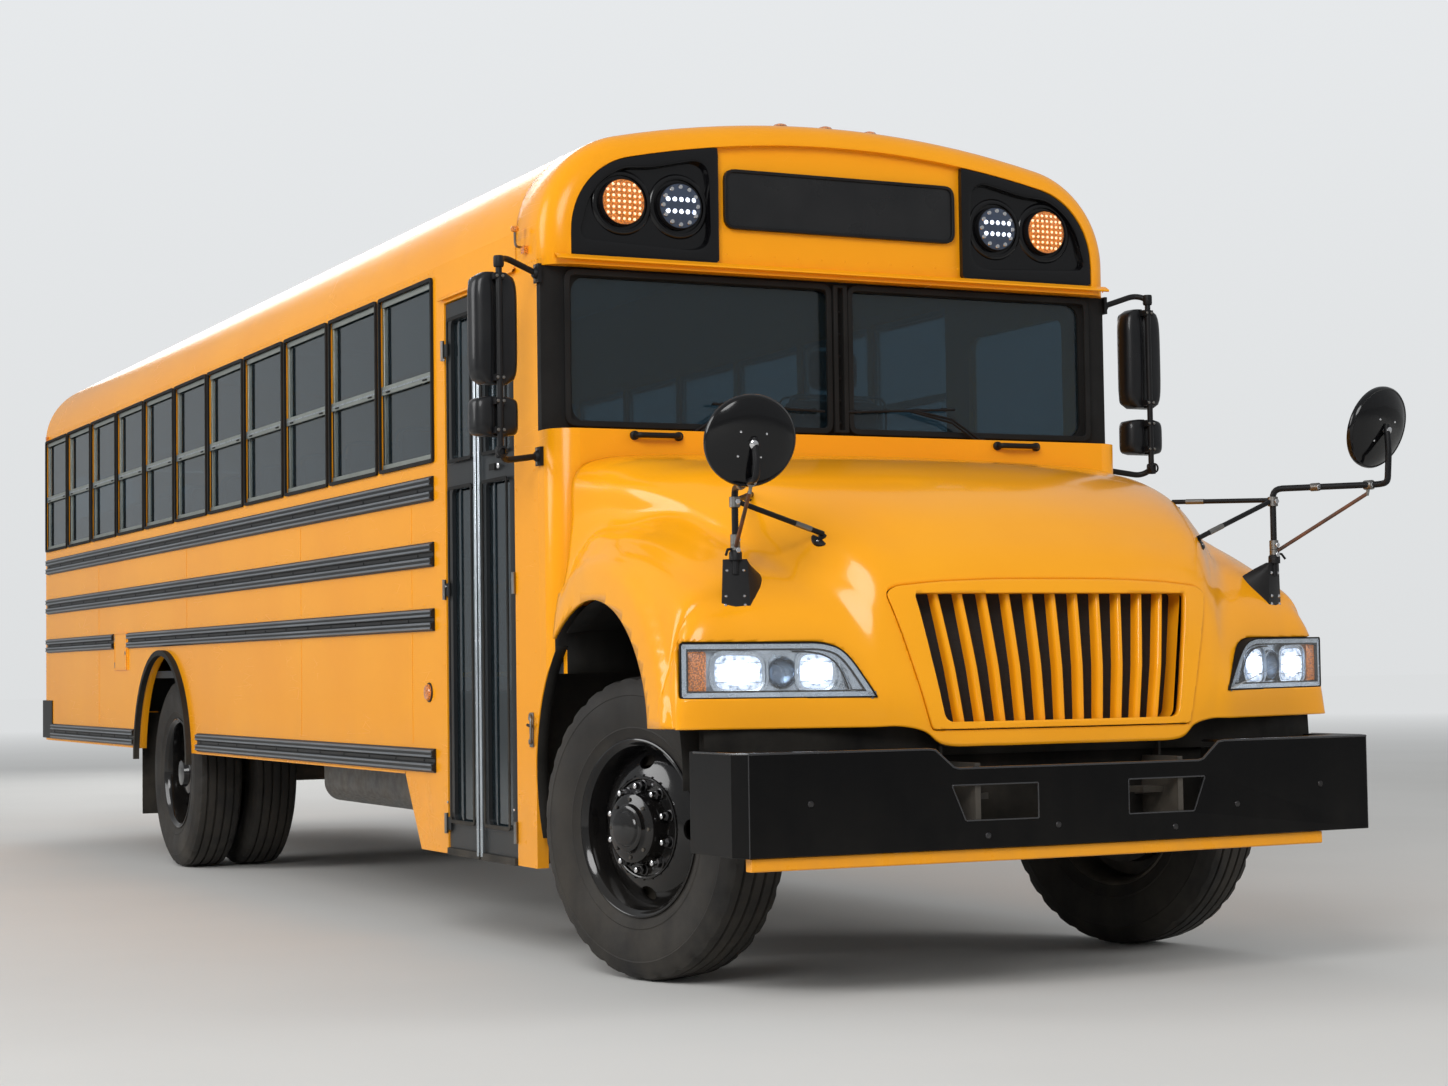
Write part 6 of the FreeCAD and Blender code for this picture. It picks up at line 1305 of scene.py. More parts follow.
def side_windows():
    """Gaskets and pressed strips round the side windows."""
    for side, word in SIDES:
        p = Piece()
        face = side * 1.2125
        rail = SILL_Z + (WINDOW_TOP - SILL_Z) * 0.47
        for column in range(WINDOWS):
            x1 = WINDOW_X - PITCH * column
            x0 = x1 - (PITCH - POST)
            outer = rectangle(x0 - .006, SILL_Z - .006, x1 + .006, WINDOW_TOP + .006, .020)
            p.band(outer, inset_outline(outer, .015), (0, side * (HALF + .0012), 0), X, Z, .010)
            # strips lie on the sash: top strip, meeting rail, sill, with dark strips for the chamfers at the ends
            # as painted shade
            for z0, z1, proud in ((WINDOW_TOP - .034, WINDOW_TOP - .012, .004), (rail - .018, rail + .018, .0075),
                    (SILL_Z + .008, SILL_Z + .030, .004)):
                p.box((x0 + .012, face, z0), (x1 - .012, face + side * proud, z1), 1)
            p.box((x0 + .02, face + side * .0075, rail - .003), (x1 - .02, face + side * .0095, rail + .003), 2)
            for x in (x0 + .10, x1 - .10):
                p.box((x - .022, face + side * .0075, rail - .012), (x + .022, face + side * .0115, rail - .006))
            # dark rubber strips where the sash ends are chamfered: painted shade
            for x in (x0 + .016, x1 - .022):
                p.box((x, face - side * .002, SILL_Z + .03), (x + .008, face + side * .003, rail - .018), 0)
        p.make("window_trim_" + word, "bus", "rubber aluminium seal", "aluminium")


def rail_ridges():
    """Ridges on each rib of the rub rails in light grey, a painted highlight, and the bolts between them."""
    front, rear, rib_face, groove_face = 2.614, -5.128, 1.2372, 1.2252
    rows = ((1.75, 1.85, rear, front), (1.485, 1.585, rear, front), (1.227, 1.318, rear, -3.138),
        (1.227, 1.318, -2.758, front), (.66, .756, -4.974, REAR_AXLE_X - .70), (.66, .756, REAR_AXLE_X + .76,
        front))
    for side, word in SIDES:
        p = Piece()
        for low, high, x0, x1 in rows:
            fifth = (high - low) / 5
            for z in (high - fifth * .6, high - fifth * 1.6, low + fifth * 1.6, low + fifth * .6):
                ridge = [(side * (rib_face + a), z + b) for a, b in mm("0 -4.8, 2.2 -3, 2.8 0, 2.2 3, 0 4.8")]
                p.run(ridge, 0, np.linspace(x0 + .004, x1 - .004, 5), ring=False)
            for x in np.arange(x0 + .08, x1, .356):
                p.rivet((x, side * groove_face, (low + high) / 2), Y * side, .0065, .003, 1, 8)
        p.make("rail_ridges_" + word, "bus", "rail_edge rail", "black_paint")


def wall_details():
    """Rivets, lapped seams, fuel filler door, skirt edge and hood latch on the body's sides."""
    def clear_of_arch(x, z):
        return hypot(x - REAR_AXLE_X, z - .62) > .66

    for side, word in SIDES:
        p = Piece()
        out = Y * side
        y = side * (HALF + .0002)
        for z, pitch in mm("2672 60, 1895 89, 1735 178, 1600 178, 1470 178, 1335 178, 1210 178"):
            for x in np.arange(-5.17, 2.66, pitch):
                if clear_of_arch(x, z):
                    p.rivet((x, y, z), out, .0042, .0017)
        for column in range(WINDOWS + 1):
            x = WINDOW_X - PITCH * column + POST / 2
            for z in np.arange(1.93, 2.66, .09):
                p.rivet((x, y, z), out, .0036, .0015)
        # lapped side sheets: thin raised edges
        for x in (-3.60, -1.42, .72, 2.30):
            for z0, z1 in ((.775, 1.222), (1.323, 1.480), (1.59, 1.745)):
                if clear_of_arch(x, z0):
                    p.box((x, side * (HALF - .001), z0), (x + .035, side * (HALF + .0012), z1), 0)
        # filler door with hinge and catch
        x0, x1, z0, z1 = -3.10, -2.79, 1.10, 1.322
        if side < 0:
            outline = rectangle(x0, z0, x1, z1, .018)
            p.band(outline, inset_outline(outline, .007), (0, side * (HALF + .004), 0), X, Z, .006, 0)
            p.slab(inset_outline(outline, .009), (0, side * (HALF + .003), 0), X, Z, .005, 0)
            p.turned(mm("13 0, 12 6, 5 8, 0 8.2"), (x1 - .035, side * (HALF + .003), 1.2), out, 1, 16)
            for z in (z0 + .03, z1 - .03):
                p.tube([(x0 + .004, side * (HALF + .006), z + end) for end in (-.018, .018)], .005, 1, 8)
        # skirt edge
        lip = [(side * (HALF + a), z) for a, z in mm("-4 646, 3 646, 3 654, -4 657")]
        for ends in ((-5.12, -2.60), (-1.20, 2.24 if side < 0 else 3.74)):
            p.run(lip, 0, ends)
        # rivets of the post ahead of the door
        for z in np.arange(1.02, 1.86, .11):
            p.rivet((3.70, y, z), out, .0038, .0016)
        p.make("wall_details_" + word, "bus", "yellow steel", "body_yellow", sharp=50)
        # hood latch at the post: bracket, rubber strap and hook
        q = Piece()
        base = V(3.66, side * HALF, .86)
        q.box(base + V(-.016, 0, -.075), base + V(.016, side * .006, .05), 0)
        hook = mm("0 12 -62, 28 18 -55, 30 18 30, 2 12 42")
        q.tube(rounded_run([base + V(x, side * y, z) for x, y, z in hook], .012, 4), .0048, 0, 8)
        for dz in (-.055, .03):
            q.hexagon(base + V(0, side * .006, dz), out, .010, .008, 0)
        q.tube([base + V(-.018, side * .012, .005), base + V(.03, side * .016, 0)], .006, 1, 8)
        q.make("hood_latch_" + word, "bus", "steel rubber", "steel", bevel=.0015)


# ---- front: bumper, filler, glass edges


def bumper_details():
    """Yellow strip under the front bumper, bolts, rolled edges in a lighter grey that is a painted highlight, and
    the near-black filler behind as painted shade.
    """
    def front(y, z):
        return (5.3985 - .04 * max(abs(y) - .20, 0) / .99, y, z)

    p = Piece()
    strip = mm("14 478, 13 441, 18 437.5, 55 437.5, 56 477.5")
    rows = [[(front(y, z)[0] - back, y, z) for back, z in strip] for y in np.linspace(-1.175, .995, 41)]
    p.grid(rows, ring=True)
    p.cap(rows[0])
    p.cap(rows[-1])
    p.make("bumper_strip", "bus", "yellow", "body_yellow", bevel=.002)
    b = Piece()
    for y, z in mm("-360 520, 360 520, -980 640, 980 640, -100 545, 620 585"):
        b.turned(mm("11 -2, 11 .8, 8.5 4, 0 4.8"), front(y, z), X, 0, 14)
    b.make("bumper_bolts", "bus", "nut", "steel")
    # rolled edges: along the top with its dip, down the corners' folds and around the tow openings, lighter grey
    # than the bumper as a painted highlight
    e = Piece()
    half = [(5.03, 1.2175, .7975), (5.30, 1.2175, .7975)] + [front(y, .7975) for y in (1.188, .95, .70, .57)]
    half += [front(.545, .794), front(.48, .739), front(.46, .7345), front(.20, .7345)]
    e.tube([(x, -y, z) for x, y, z in half] + half[::-1], .0042, 0, 8)
    hole = mm("176 569, 436 569, 441 572, 486 678, 484 682, 176 682, 174 680, 174 571, 176 569")
    for side, _ in SIDES:
        e.tube([front(side * 1.188, z) for z in np.linspace(.482, .797, 5)], .0022, 0, 6)
        e.tube([front(side * y, z) for y, z in hole], .0026, 0, 6, caps=False)
    e.make("bumper_highlight_edges", "bus", "edge", "black_paint")
    # near-black sheet in the gap between the bumper and the hood's lower edge: painted shade
    q = Piece()
    end = mm("-30 900, 0 895, 6 800, 4 772, -30 768")
    for side, _ in SIDES:
        q.grid([[(5.205 - .16 * ((y - .5) / .69) ** 2.2 + x, side * y, z) for x, z in end]
            for y in np.linspace(.50, 1.19, 15)], ring=True)
    middle = mm("5170 850, 5205 845, 5212 790, 5205 772, 5170 770")
    q.run(middle, 1, np.linspace(-.52, .52, 15))
    q.make("bumper_gap_shade", "bus", "dark", "black_plastic")


def arch_liners_and_shade():
    """Near-black liners inside the front fenders, under the hood's sheet: partly the liners' own black, partly
    painted shade inside the arches.
    """
    p = Piece()
    for side, _ in SIDES:
        rows = []
        for y, more in mm("520 22, 660 22, 800 20, 950 20, 1100 18, 1190 10"):
            radius = ARCH[2] + more
            rows.append([(ARCH[0] + radius * cos(a), side * y, ARCH[1] + radius * sin(a))
                for a in np.linspace(-0.05, acos((3.925 - ARCH[0]) / radius), 31)])
        p.grid(rows)
    p.make("arch_liners_and_shade", "hood", "dark", "black_plastic", thick=.004)


def windshield_details():
    p = Piece()
    # moulding round both panes, with chamfered corners
    for side, _ in SIDES:
        a, b = sorted((side * .034, side * 1.135))
        outer = rectangle(a, 1.945, b, 2.520, .045, 4)
        p.band(outer, inset_outline(outer, .022), (3.792, 0, 0), Y, Z, .014, 0)
    p.band(rectangle(-.030, 1.95, .030, 2.515, .004), rectangle(-.012, 1.96, .012, 2.505, .002), (3.797, 0, 0), Y,
        Z, .016, 0)
    for z in np.arange(1.99, 2.5, .085):
        p.rivet((3.797, 0, z), X, .005, .002, 1, 8)
    p.make("windshield_moulding", "bus", "rubber satin", "rubber", bevel=.003)
    # wipers: pivot cap, two-bar arm, bridge and blade
    w = Piece()
    places = ((-.65, 1.914, -.545, 2.044, -.075, 2.030), (.620, 1.922, .500, 2.054, .025, 2.030))
    for py, pz, y0, z0, y1, z1 in places:
        pivot = V(3.816, py, pz)
        a, b = V(3.806, y0, z0), V(3.806, y1, z1)
        tip = a.lerp(b, .42) + X * .008
        w.turned(mm("22 -30, 22 4, 18 14, 8 18, 0 18.5"), pivot - X * .006, X, 0, 24)
        w.hexagon(pivot + X * .012, X, .009, .007, 1)
        knee = pivot.lerp(tip, .45) + V(.012, 0, .030)
        for off in (-.008, .008):
            w.tube([pivot + V(.004, 0, off), knee + Z * off * .8, tip + Z * off * .4], .0048, 0, 8)
        w.tube([a + X * .002, tip, b + X * .002], .0048, 0, 8)
        w.tube([a - X * .008, b - X * .008], .0065, 2, 8, flat=.45)
        for k in (.10, .34, .64, .90):
            clip = a.lerp(b, k)
            w.box(clip + V(-.008, -.012, -.005), clip + V(.006, .012, .007), 0)
    w.make("wiper_arms", "bus", "satin steel rubber", "black_plastic", ("wipers",))
    # grab handles on the band under the windshield
    h = Piece()
    for y in (-.82, .72):
        for end in (-.088, .088):
            h.turned([(.017, -.004), (.017, .010), (.010, .014)], (3.901, y + end, 1.908), X, 0, 14)
            h.hexagon((3.915, y + end, 1.908), X, .006, .004, 0)
        h.tube(rounded_run([(3.90, y - .088, 1.908), (3.930, y - .080, 1.908), (3.930, y + .080, 1.908),
            (3.90, y + .088, 1.908)], .016, 4), .0105, 0, 10)
    h.make("grab_handles", "bus", "satin", "black_plastic")
    # drip lip over the windshield with its row of rivets
    v = Piece()
    lip = mm("3848 2566, 3872 2552, 3874 2546, 3868 2543, 3848 2549")
    v.run(lip, 1, np.linspace(-1.19, 1.19, 33))
    for y in np.arange(-.50, .51, .10):
        v.rivet((3.8503, y, 2.60), X, .0045, .002, 0, 8)
    v.make("windshield_lip", "bus", "yellow", "body_yellow")


# ---- steering wheel


def steering_wheel():
    p = Piece()
    # the column leans back half way between upright and level
    centre, axis = V(3.28, .55, 1.815), V(-.707, 0, .707)
    radius, bead = .224, .0155
    rows = []
    for i, outward in enumerate(circle((0, 0, 0), axis, 1, around(72))):
        ring = []
        for k, b in enumerate(around(14)):
            # finger grooves on the inner side
            grip = bead * (0.94 if k in (6, 7, 8) and i % 2 else 1)
            ring.append(centre + outward * radius + outward * grip * cos(b) + axis * grip * sin(b))
        rows.append(ring)
    p.grid(rows, ring=True, loop=True)
    p.turned(mm("60 -35, 72 -30, 74 -6, 66 10, 50 16, 20 18, 0 18"), centre - axis * .012, axis, 1, 40)
    for out in circle((0, 0, 0), axis, 1, (0.25, pi - 0.25, pi * 1.5)):
        side = axis.cross(out)
        a, b = centre + out * .06 - axis * .018, centre + out * (radius - .006)
        spoke = mm("-17 -4, -12 4, 12 4, 17 -4, 0 -7")
        p.grid([[q + side * w + axis * t for w, t in spoke] for q in (a, a.lerp(b, .5) + axis * .002, b)], 1,
            ring=True)
    p.turned(mm("21 -250, 21 -60, 34 -45, 34 -30"), centre, axis, 1, 20)
    p.make("steering_wheel_rim", "steering_wheel", "satin moulded", "black_plastic", ("steering_wheel",))


# ---- padded seats


def bake(obj):
    """Replaces an object's mesh with what its modifiers make of it."""
    made = bpy.data.meshes.new_from_object(obj.evaluated_get(bpy.context.evaluated_depsgraph_get()))
    obj.modifiers.clear()
    old, obj.data = obj.data, made
    bpy.data.meshes.remove(old)


def stuffed(low, high, voxel, corner, cap):
    """A padded block: a rounded box, remeshed, blown up as cloth and held to a few millimetres."""
    low, high = Vector(low), Vector(high)
    size, middle = high - low, (low + high) / 2
    mesh = bpy.data.meshes.new("stuffing")
    bm = bmesh.new()
    bmesh.ops.create_cube(bm, size=1.0)
    for v in bm.verts:
        v.co *= size - Vector((.012,) * 3)
    bm.to_mesh(mesh)
    bm.free()
    obj = linked("stuffing", mesh)
    soft = obj.modifiers.new("corner", "BEVEL")
    soft.width, soft.segments = min(corner, min(size) * .42), 4
    even_mesh = obj.modifiers.new("even", "REMESH")
    even_mesh.mode, even_mesh.voxel_size = "VOXEL", voxel
    bake(obj)
    rest = [v.co.copy() for v in obj.data.vertices]
    cloth = obj.modifiers.new("cloth", "CLOTH")
    cloth.settings.use_pressure, cloth.settings.uniform_pressure_force = True, 4.0
    cloth.settings.effector_weights.gravity = 0.0
    cloth.point_cache.frame_start, cloth.point_cache.frame_end = 1, 20
    for step in range(1, 21):
        bpy.context.scene.frame_set(step)
    bake(obj)
    bpy.context.scene.frame_set(1)
    for v, start in zip(obj.data.vertices, rest):
        move = v.co - start
        if move.length > cap:
            v.co = start + move * (cap / move.length)
    points = [tuple(v.co + middle) for v in obj.data.vertices]
    faces = [tuple(f.vertices) for f in obj.data.polygons]
    mesh = obj.data
    bpy.data.objects.remove(obj)
    bpy.data.meshes.remove(mesh)
    # never outside the block it stands for, but for a few millimetres
    lowest, highest = low - Vector((.003,) * 3), high + Vector((.003,) * 3)
    points = [tuple(min(max(c, lowest[i]), highest[i]) for i, c in enumerate(p)) for p in points]
    return points, faces


def shifted(points, by):
    return [(x + by[0], y + by[1], z + by[2]) for x, y, z in points]


def welt(piece, outline, place, first, second, radius=.0055):
    """Sewn piping along a closed outline."""
    path = laid(outline, place, first, second)
    piece.tube(path + path[:1], radius, 1, 6)


def passenger_seating():
    places = [(SEAT_X - PITCH * row, SEAT_Y) for row in range(WINDOWS)]
    seat, seat_faces = stuffed((0, -.49, 0), (.40, .49, .12), .026, .035, .014)
    back, back_faces = stuffed((-.09, -.49, 0), (0, .49, .62), .026, .035, .012)
    for side, word in SIDES:
        p = Piece()
        for x, y in places:
            p.add(shifted(seat, (x, side * y, 1.42)), seat_faces)
            p.add(shifted(back, (x, side * y, 1.49)), back_faces)
        obj = p.make("passenger_seats_" + word, "bus", "seat", "seat_vinyl", on_right(side, "passenger_seats"),
            sharp=180, weld=1e-6)
        q = Piece()
        for x, y in places:
            y *= side
            for face in (-.083, -.007):
                welt(q, rectangle(y - .484, 1.50, y + .484, 2.104, .05, 3), (x + face, 0, 0), Y, Z)
            welt(q, rectangle(x + .008, y - .484, x + .392, y + .484, .04, 3), (0, 0, 1.533), X, Y)
            for k in (-.163, .163):
                q.tube([(x + .004, y + k, 1.56), (x + .006, y + k, 2.07)], .0035, 1, 5)
        q.make("seat_piping_" + word, "bus", "seat piping", "seat_vinyl", sharp=180)


def driver_seating():
    p = Piece()
    for low, high, corner in (((2.77, .31, 1.51), (3.24, .79, 1.63), .045), ((2.66, .31, 1.57), (2.77, .79, 2.22),
            .045), ((2.675, .43, 2.235), (2.765, .67, 2.42), .04)):
        points, faces = stuffed(low, high, .016, corner, .014)
        p.add(points, faces, 0)
    obj = p.make("driver_seat_cushions", "bus", "seat", "seat_vinyl", ("driver_seat",), sharp=180, weld=1e-6)
    q = Piece()
    for x in (2.667, 2.763):
        welt(q, rectangle(.316, 1.58, .784, 2.214, .05, 3), (x, 0, 0), Y, Z)
    welt(q, rectangle(2.776, .316, 3.234, .784, .05, 3), (0, 0, 1.622), X, Y)
    for y in (.49, .61):
        q.tube([(2.72, y, 2.20), (2.72, y, 2.25)], .007, 2, 8)
    # belt across the back
    q.slab(mm("360 1620, 410 1620, 760 2180, 710 2180"), (2.775, 0, 0), Y, Z, .003, 1)
    q.make("driver_seat_piping", "bus", "seat piping chrome", "seat_vinyl", sharp=60)


def wheel_wells():
    """Near-black panels: splash panels over the cowl's foot and corners, partly their own black and partly
    painted shade in the wheel wells, and a sheet behind the tow openings that is painted shade.
    """
    p = Piece()
    # the cowl's foot, the radius of its corners, and the arch cut out of them
    foot, corner, lining = 1.0495, .106, .5885

    def cut(x):
        return ARCH[1] + sqrt(.59 ** 2 - (x - ARCH[0]) ** 2)

    for side, _ in SIDES:
        columns = [(3.906, y, foot, 1.30) for y in (.47, .65, .85, 1.0)]
        for turn, top in ((0, 1.29), (12, 1.28), (24, 1.26), (31.2, 1.245), (31.5, 1.245), (38, 1.235),
                (48, 1.21), (56, 1.18)):
            x = 3.80 + corner * cos(radians(turn))
            y = 1.119 + corner * sin(radians(turn))
            columns.append((x, y, foot if turn < 31.3 else cut(x), top))
        p.grid([[(x, side * y, low + (top - low) * t) for x, y, low, top in columns]
            for t in np.linspace(0, 1, 6)])
        p.grid([[(ARCH[0] + lining * cos(a), side * y, ARCH[1] + lining * sin(a)) for y in (1.172, 1.19, 1.2145)]
            for a in np.linspace(acos((3.896 - ARCH[0]) / lining), pi + .42, 25)])
    # near-black sheet behind the tow openings: painted shade
    p.grid([[(x, y, z) for y in (-.62, -.30, 0, .30, .62)] for x, z in ((5.185, .775), (5.175, .64),
        (5.185, .505))])
    p.make("splash_and_shade_panels", "bus", "dark", "black_plastic", thick=.002)


# ---- rear, stop sign and roof details


def rear_details():
    face, bumper_face = REAR_X - .0005, -5.4002
    p = Piece()
    for side, _ in SIDES:
        a, b = sorted((side * .570, side * 1.010))
        outer = rectangle(a - .014, 1.746, b + .014, 2.454, .066)
        p.band(outer, inset_outline(outer, .024), (face, 0, 0), Y, Z, -.010, 0)
    for z0, z1 in ((1.78, 2.384), (1.25, 1.64)):
        outer = rectangle(-.398, z0 - .014, .398, z1 + .014, .058)
        p.band(outer, inset_outline(outer, .024), (REAR_X - .008, 0, 0), Y, Z, -.010, 0)
    p.make("rear_gaskets", "bus", "rubber", "rubber", bevel=.002)
    q = Piece()
    rivets = []
    for side, _ in SIDES:
        for z in np.arange(.72, 2.62, .07):
            rivets += [(side * 1.165, z)] + [(side * .530, z)] * (not 1.70 < z < 2.50)
    rivets += [(y, z) for z in (1.04, 2.60) for y in np.arange(-1.10, 1.11, .10)]
    for y, z in rivets:
        q.rivet((face, y, z), -X, .0042, .0017)
    # rub strip carried round the back, and the drip lip over the door
    for side, _ in SIDES:
        a, b = sorted((side * .53, side * 1.19))
        q.box((face - .006, a, 1.531), (face + .002, b, 1.539))
    lip = [(face - out, z) for out, z in mm("0 2520, 20 2508, 22 2500, 18 2499, 0 2508")]
    q.run(lip, 1, np.linspace(-.53, .53, 9))
    q.make("rear_panel_details", "bus", "yellow", "body_yellow", sharp=50)
    b = Piece()
    for side, _ in SIDES:
        for y in (.30, .62, 1.02):
            b.turned(mm("13 -2, 13 1, 9 5, 0 5.8"), (bumper_face, side * y, .765), -X, 0, 14)
        # round red reflectors in the glowing red lens finish: their glow is painted light
        b.turned(mm("45 0, 45 12, 40 16, 0 17"), (face, side * .93, 1.02), -X, 1, 28)
    b.make("rear_bolts_reflectors", "bus", "nut red_lens", "steel")


def rear_door_details():
    p = Piece()
    p.slab(rectangle(.30, 1.66, .42, 1.74, .012, 3), (-5.292, 0, 0), Y, Z, -.008)
    p.turned(mm("18 0, 18 18, 12 22, 0 23"), (-5.298, .36, 1.70), -X, 1, 20)
    p.tube(rounded_run([(-5.318, .36, 1.70), (-5.322, .34, 1.70), (-5.322, .24, 1.696)], .01, 3), .008, 1, 10)
    for z in np.arange(1.14, 2.46, .12):
        for side, _ in SIDES:
            p.rivet((-5.2885, side * .452, z), -X, .004, .0016, 2, 6)
    p.make("rear_door_handle", "rear_door", "satin chrome yellow", "black_plastic", bevel=.001)


def stop_sign():
    p = Piece()
    x, z = 2.474, 1.66

    def octagon(half_width):
        radius = half_width / cos(pi / 8)
        return [(x + radius * cos(a + pi / 8), z + radius * sin(a + pi / 8)) for a in around(8)]

    for y, depth in ((1.2652, .0012), (1.2528, -.0012)):
        p.band(octagon(.2245), octagon(.2085), (0, y, 0), X, Z, depth, 0)
        out = Y * (1 if depth > 0 else -1)
        for dz in (-.150, .150):
            p.turned(mm("28 0, 28 10, 22 16, 8 18.5, 0 19"), (x, y, z + dz), out, 1, 24)
            p.turned([(.034, 0), (.034, .004), (.028, .006)], (x, y, z + dz), out, 2, 24)
        for dx, dz in mm("-170 0, 170 0, 0 -40, 0 40"):
            p.rivet((x + dx, y, z + dz), out, .006, .003, 2, 10)
    p.make("stop_sign_rim", "stop_arm", "white red_lens steel", "red_paint", sharp=40)


def hatch_details():
    lid_top = 3.1762
    for body, x in HATCHES:
        p = Piece()
        lid = rectangle(x - .30, -.30, x + .30, .30, .05)
        p.band(lid, inset_outline(lid, .030), (0, 0, lid_top), X, Y, .003)
        for dx in (-.12, 0, .12):
            p.box((x + dx - .012, -.22, 3.1755), (x + dx + .012, .22, 3.1792), 0)
        for dx in (-.26, .26):
            for dy in (-.26, .26):
                p.turned(mm("12 0, 12 3, 8 5, 0 5.5"), (x + dx, dy, lid_top), Z, 1, 14)
        p.make(body + "_ribs", body, "white steel", "roof_white", bevel=.002)
    q = Piece()
    # cross seams of the roof sheets with their rivets
    for x in np.arange(-4.65, 3.3, .712 * 2):
        if any(abs(x - middle) < .42 for _, middle in HATCHES):
            continue
        run = [(y, crown_z(y, -.0012)) for y in np.linspace(-.82, .82, 15)]
        q.run(run, 0, (x, x + .045), ring=False)
        for y in np.arange(-.80, .81, .16):
            q.rivet((x + .022, y, crown_z(y, -.001)), Z, .005, .002)
    q.make("roof_seams", "bus", "roof", "roof_white", sharp=60)


hood_shell()
grille_panel()
headlamp_units()
front_wheels()
rear_wheels()
lamp_panels()
body_lamps()
cap_details()
side_mirrors()
crossview_mirrors()
entry_door_trim()
side_windows()
rail_ridges()
wall_details()
bumper_details()
arch_liners_and_shade()
windshield_details()
steering_wheel()
wheel_wells()
passenger_seating()
driver_seating()
rear_details()
rear_door_details()
stop_sign()
hatch_details()


# ---- frame nodes that stay


def clothe():
    """Finishes for the frame's own nodes; the third value rounds their edges, in metres."""
    table = (
        ("yellow", 0.0015, "left_wall right_wall rear_wall rear_door"),
        ("yellow", 0.003, "cowl front_cap"),
        ("yellow", 0.0, "entry_rails"),
        ("roof", 0.0, "roof"),
        ("white", 0.006, "roof_hatch_front roof_hatch_rear"),
        ("bumper", 0.004, "front_bumper rear_bumper"),
        ("rail", 0.002, "rub_rails"),
        ("frame", 0.0, "chassis_frame leaf_springs drive_shaft entry_steps seat_frames"),
        ("floor", 0.0, "floor"),
        ("door", 0.002, "entry_door_front entry_door_rear"),
        ("cast", 0.0, "front_axle_beam rear_axle left_knuckle right_knuckle tie_rod engine"),
        ("glass", 0.0, "window_glass entry_door_front_glass entry_door_rear_glass rear_door_glass"),
        ("rubber", 0.0, "wheel_guards windshield_frame"),
        ("dash", 0.01, "dashboard"),
        ("aluminium", 0.0015, "window_sashes"),
        ("aluminium", 0.0, "radiator hatch_frames"),
        ("steel", 0.0, "exhaust body_fittings"),
        ("tank", 0.0, "fuel_tank"),
        ("red", 0.001, "stop_arm"),
        ("yellow_hood", 0.003, "hood grille"),
        ("clear", 0.0, "headlamps"),
        ("black", 0.0, "cap_panels crossview_mirrors side_mirrors"),
        ("amber", 0.0, "body_lamps"),
        ("satin", 0.0, "wipers steering_wheel"),
        ("tyre", 0.0, "front_left_tyre front_right_tyre rear_left_tyres rear_right_tyres"),
        ("wheel", 0.0, "front_left_wheel front_right_wheel rear_left_wheels rear_right_wheels"),
        ("seat", 0.0, "driver_seat passenger_seats"),
    )
    for finish, rounding, names in table:
        for name in names.split():
            obj = NODES[name]
            obj.data.materials.clear()
            obj.data.materials.append(F[finish])
            if rounding:
                join = obj.modifiers.new("join", "WELD")
                join.merge_threshold = 0.0001
                round_off(obj, rounding, 50)


# ---- camera, floor and light


def camera():
    yaw, pitch, roll = (radians(v) for v in (154.0934, 2.7873, -0.8131))
    ahead = V(cos(yaw) * cos(pitch), sin(yaw) * cos(pitch), sin(pitch))
    right = V(sin(yaw), -cos(yaw), 0)
    up = right.cross(ahead)
    right, up = right * cos(roll) + up * sin(roll), -right * sin(roll) + up * cos(roll)
    lens_data = bpy.data.cameras.new("camera")
    lens_data.sensor_width, lens_data.lens = 36.0, 63.92
    lens_data.clip_end = 400
    cam = linked("camera", lens_data)
    turn = Matrix((right, up, -ahead)).transposed().to_4x4()
    cam.matrix_world = Matrix.Translation((12.3906, -4.6756, 1.0613)) @ turn
    bpy.context.scene.camera = cam


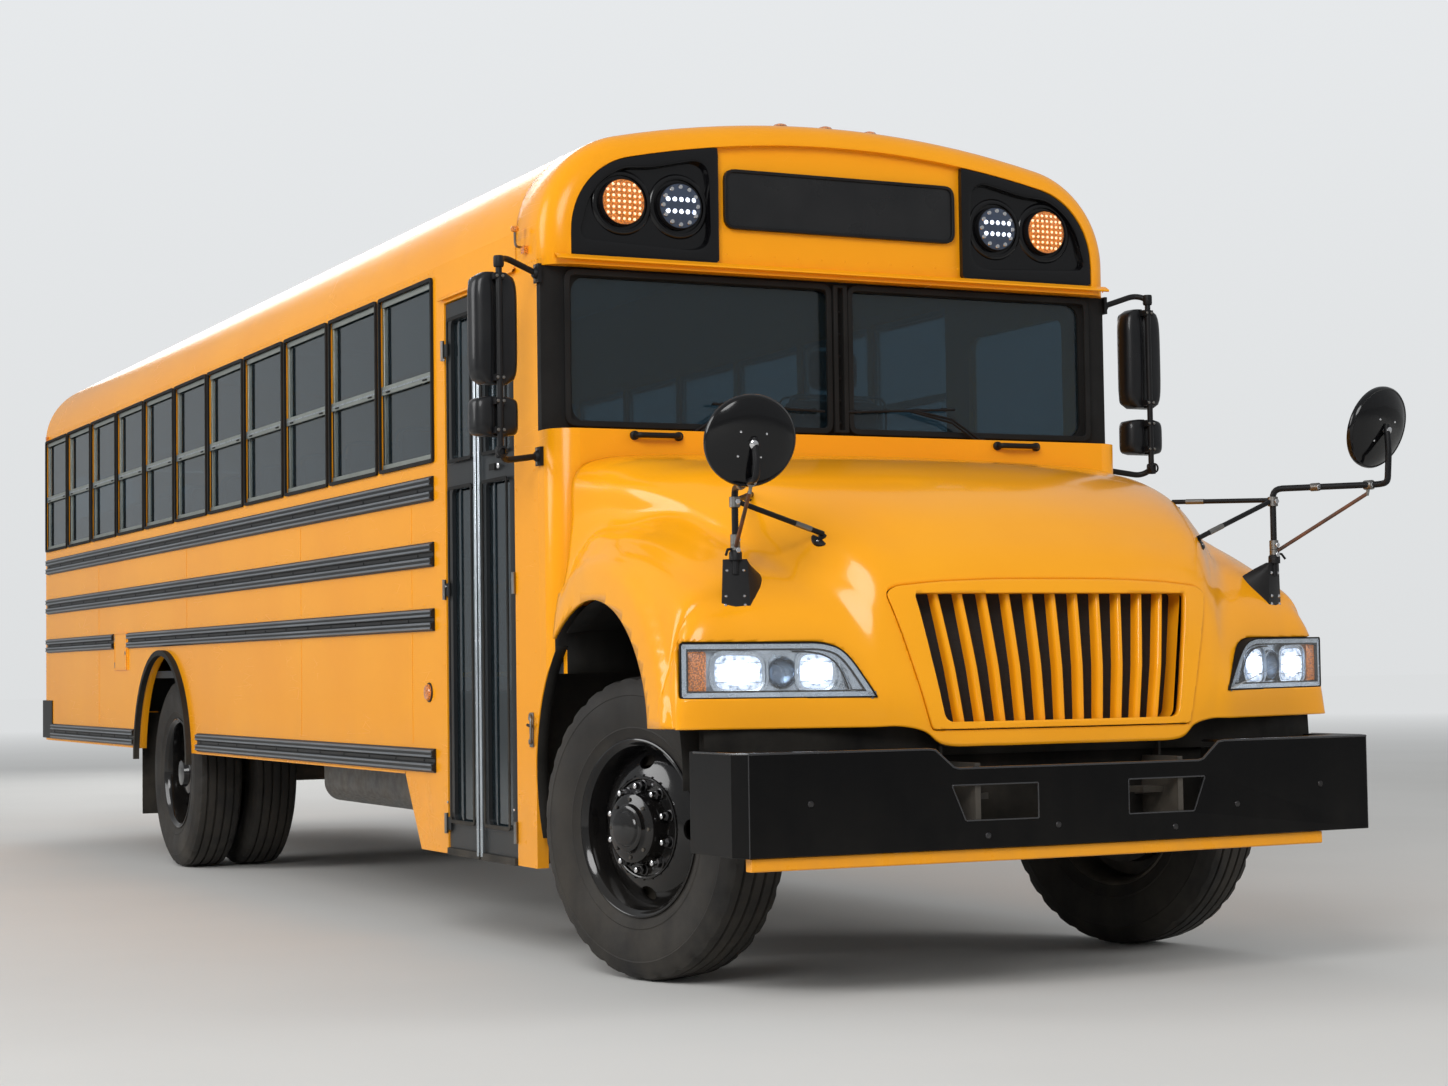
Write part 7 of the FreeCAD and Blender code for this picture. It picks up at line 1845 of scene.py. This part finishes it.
def studio_floor():
    """A pale floor that runs into the background far from the bus."""
    f = Finish("studio_floor", 0.85, Specular_IOR_Level=0.2)
    f.set(Base_Color=f.mottled("D6D5D2", "CFCECB", 0.6, 0.5))
    away = f.node("VectorMath", {"operation": "LENGTH"}, n0=f.place).outputs["Value"]
    seen = f.tree.nodes.new("ShaderNodeLightPath").outputs["Is Camera Ray"]
    far = f.times(f.span(away, 12.0, 40.0), seen)
    glow = f.node("Emission", Color="DCDEDF", Strength=1.0)
    mix = f.node("MixShader", n0=far)
    f.tree.links.new(f.shader.outputs[0], mix.inputs[1])
    f.tree.links.new(glow.outputs[0], mix.inputs[2])
    f.tree.links.new(mix.outputs[0], f.tree.nodes["Material Output"].inputs[0])
    mesh = bpy.data.meshes.new("studio_floor")
    reach, below = 120, -0.0005
    mesh.from_pydata([(x, y, below) for x, y in rectangle(-reach, -reach, reach, reach)], [], [(0, 1, 2, 3)])
    mesh.materials.append(f.material)
    obj = linked("studio_floor", mesh)


def studio_light():
    """A pale room: an even sky for light, a soft gradient for what the camera and gloss see."""
    world = bpy.data.worlds.new("studio")
    bpy.context.scene.world = world
    world.use_nodes = True
    w = Wiring(world.node_tree)
    w.tree.nodes.clear()
    up = w.node("SeparateXYZ", Vector=w.tree.nodes.new("ShaderNodeTexCoord").outputs["Generated"]).outputs[2]
    sky = w.blend(w.span(up, -0.05, 0.6), "DCDEDF", "F2F5F8")
    path = w.tree.nodes.new("ShaderNodeLightPath").outputs
    plain = w.maths("MAXIMUM", path["Is Camera Ray"], path["Is Transmission Ray"])
    strength = w.maths("MAXIMUM", w.span(plain, 0.0, 1.0, 0.5, 1.0), w.span(path["Is Glossy Ray"], 0.0, 1.0, 0.0,
        0.55))
    back = w.node("Background", Color=sky, Strength=strength)
    end = w.tree.nodes.new("ShaderNodeOutputWorld")
    w.tree.links.new(back.outputs[0], end.inputs[0])
    # key from the front right, a side lamp on the right, fill from the front left, and one from behind
    for name, place, aim, size, power in (
        ("key", (14, -9, 9), (3, 0, 1.4), 7.0, 1150),
        ("side", (-2, -14, 7), (0, 0, 1.4), 8.0, 900),
        ("fill", (10, 10, 6), (3, 0, 1.2), 7.0, 330),
        ("rear", (-14, 3, 7), (-4, 0, 1.5), 7.0, 420),
    ):
        data = bpy.data.lights.new(name, "AREA")
        data.shape, data.size, data.energy = "DISK", size, power
        lamp = linked(name, data)
        lamp.location = place
        lamp.rotation_euler = (Vector(aim) - Vector(place)).to_track_quat("-Z", "Y").to_euler()
        lamp.visible_glossy = name != "fill"
    bpy.context.scene.view_settings.view_transform = "Standard"


clothe()
camera()
studio_floor()
studio_light()

bpy.context.view_layer.update()
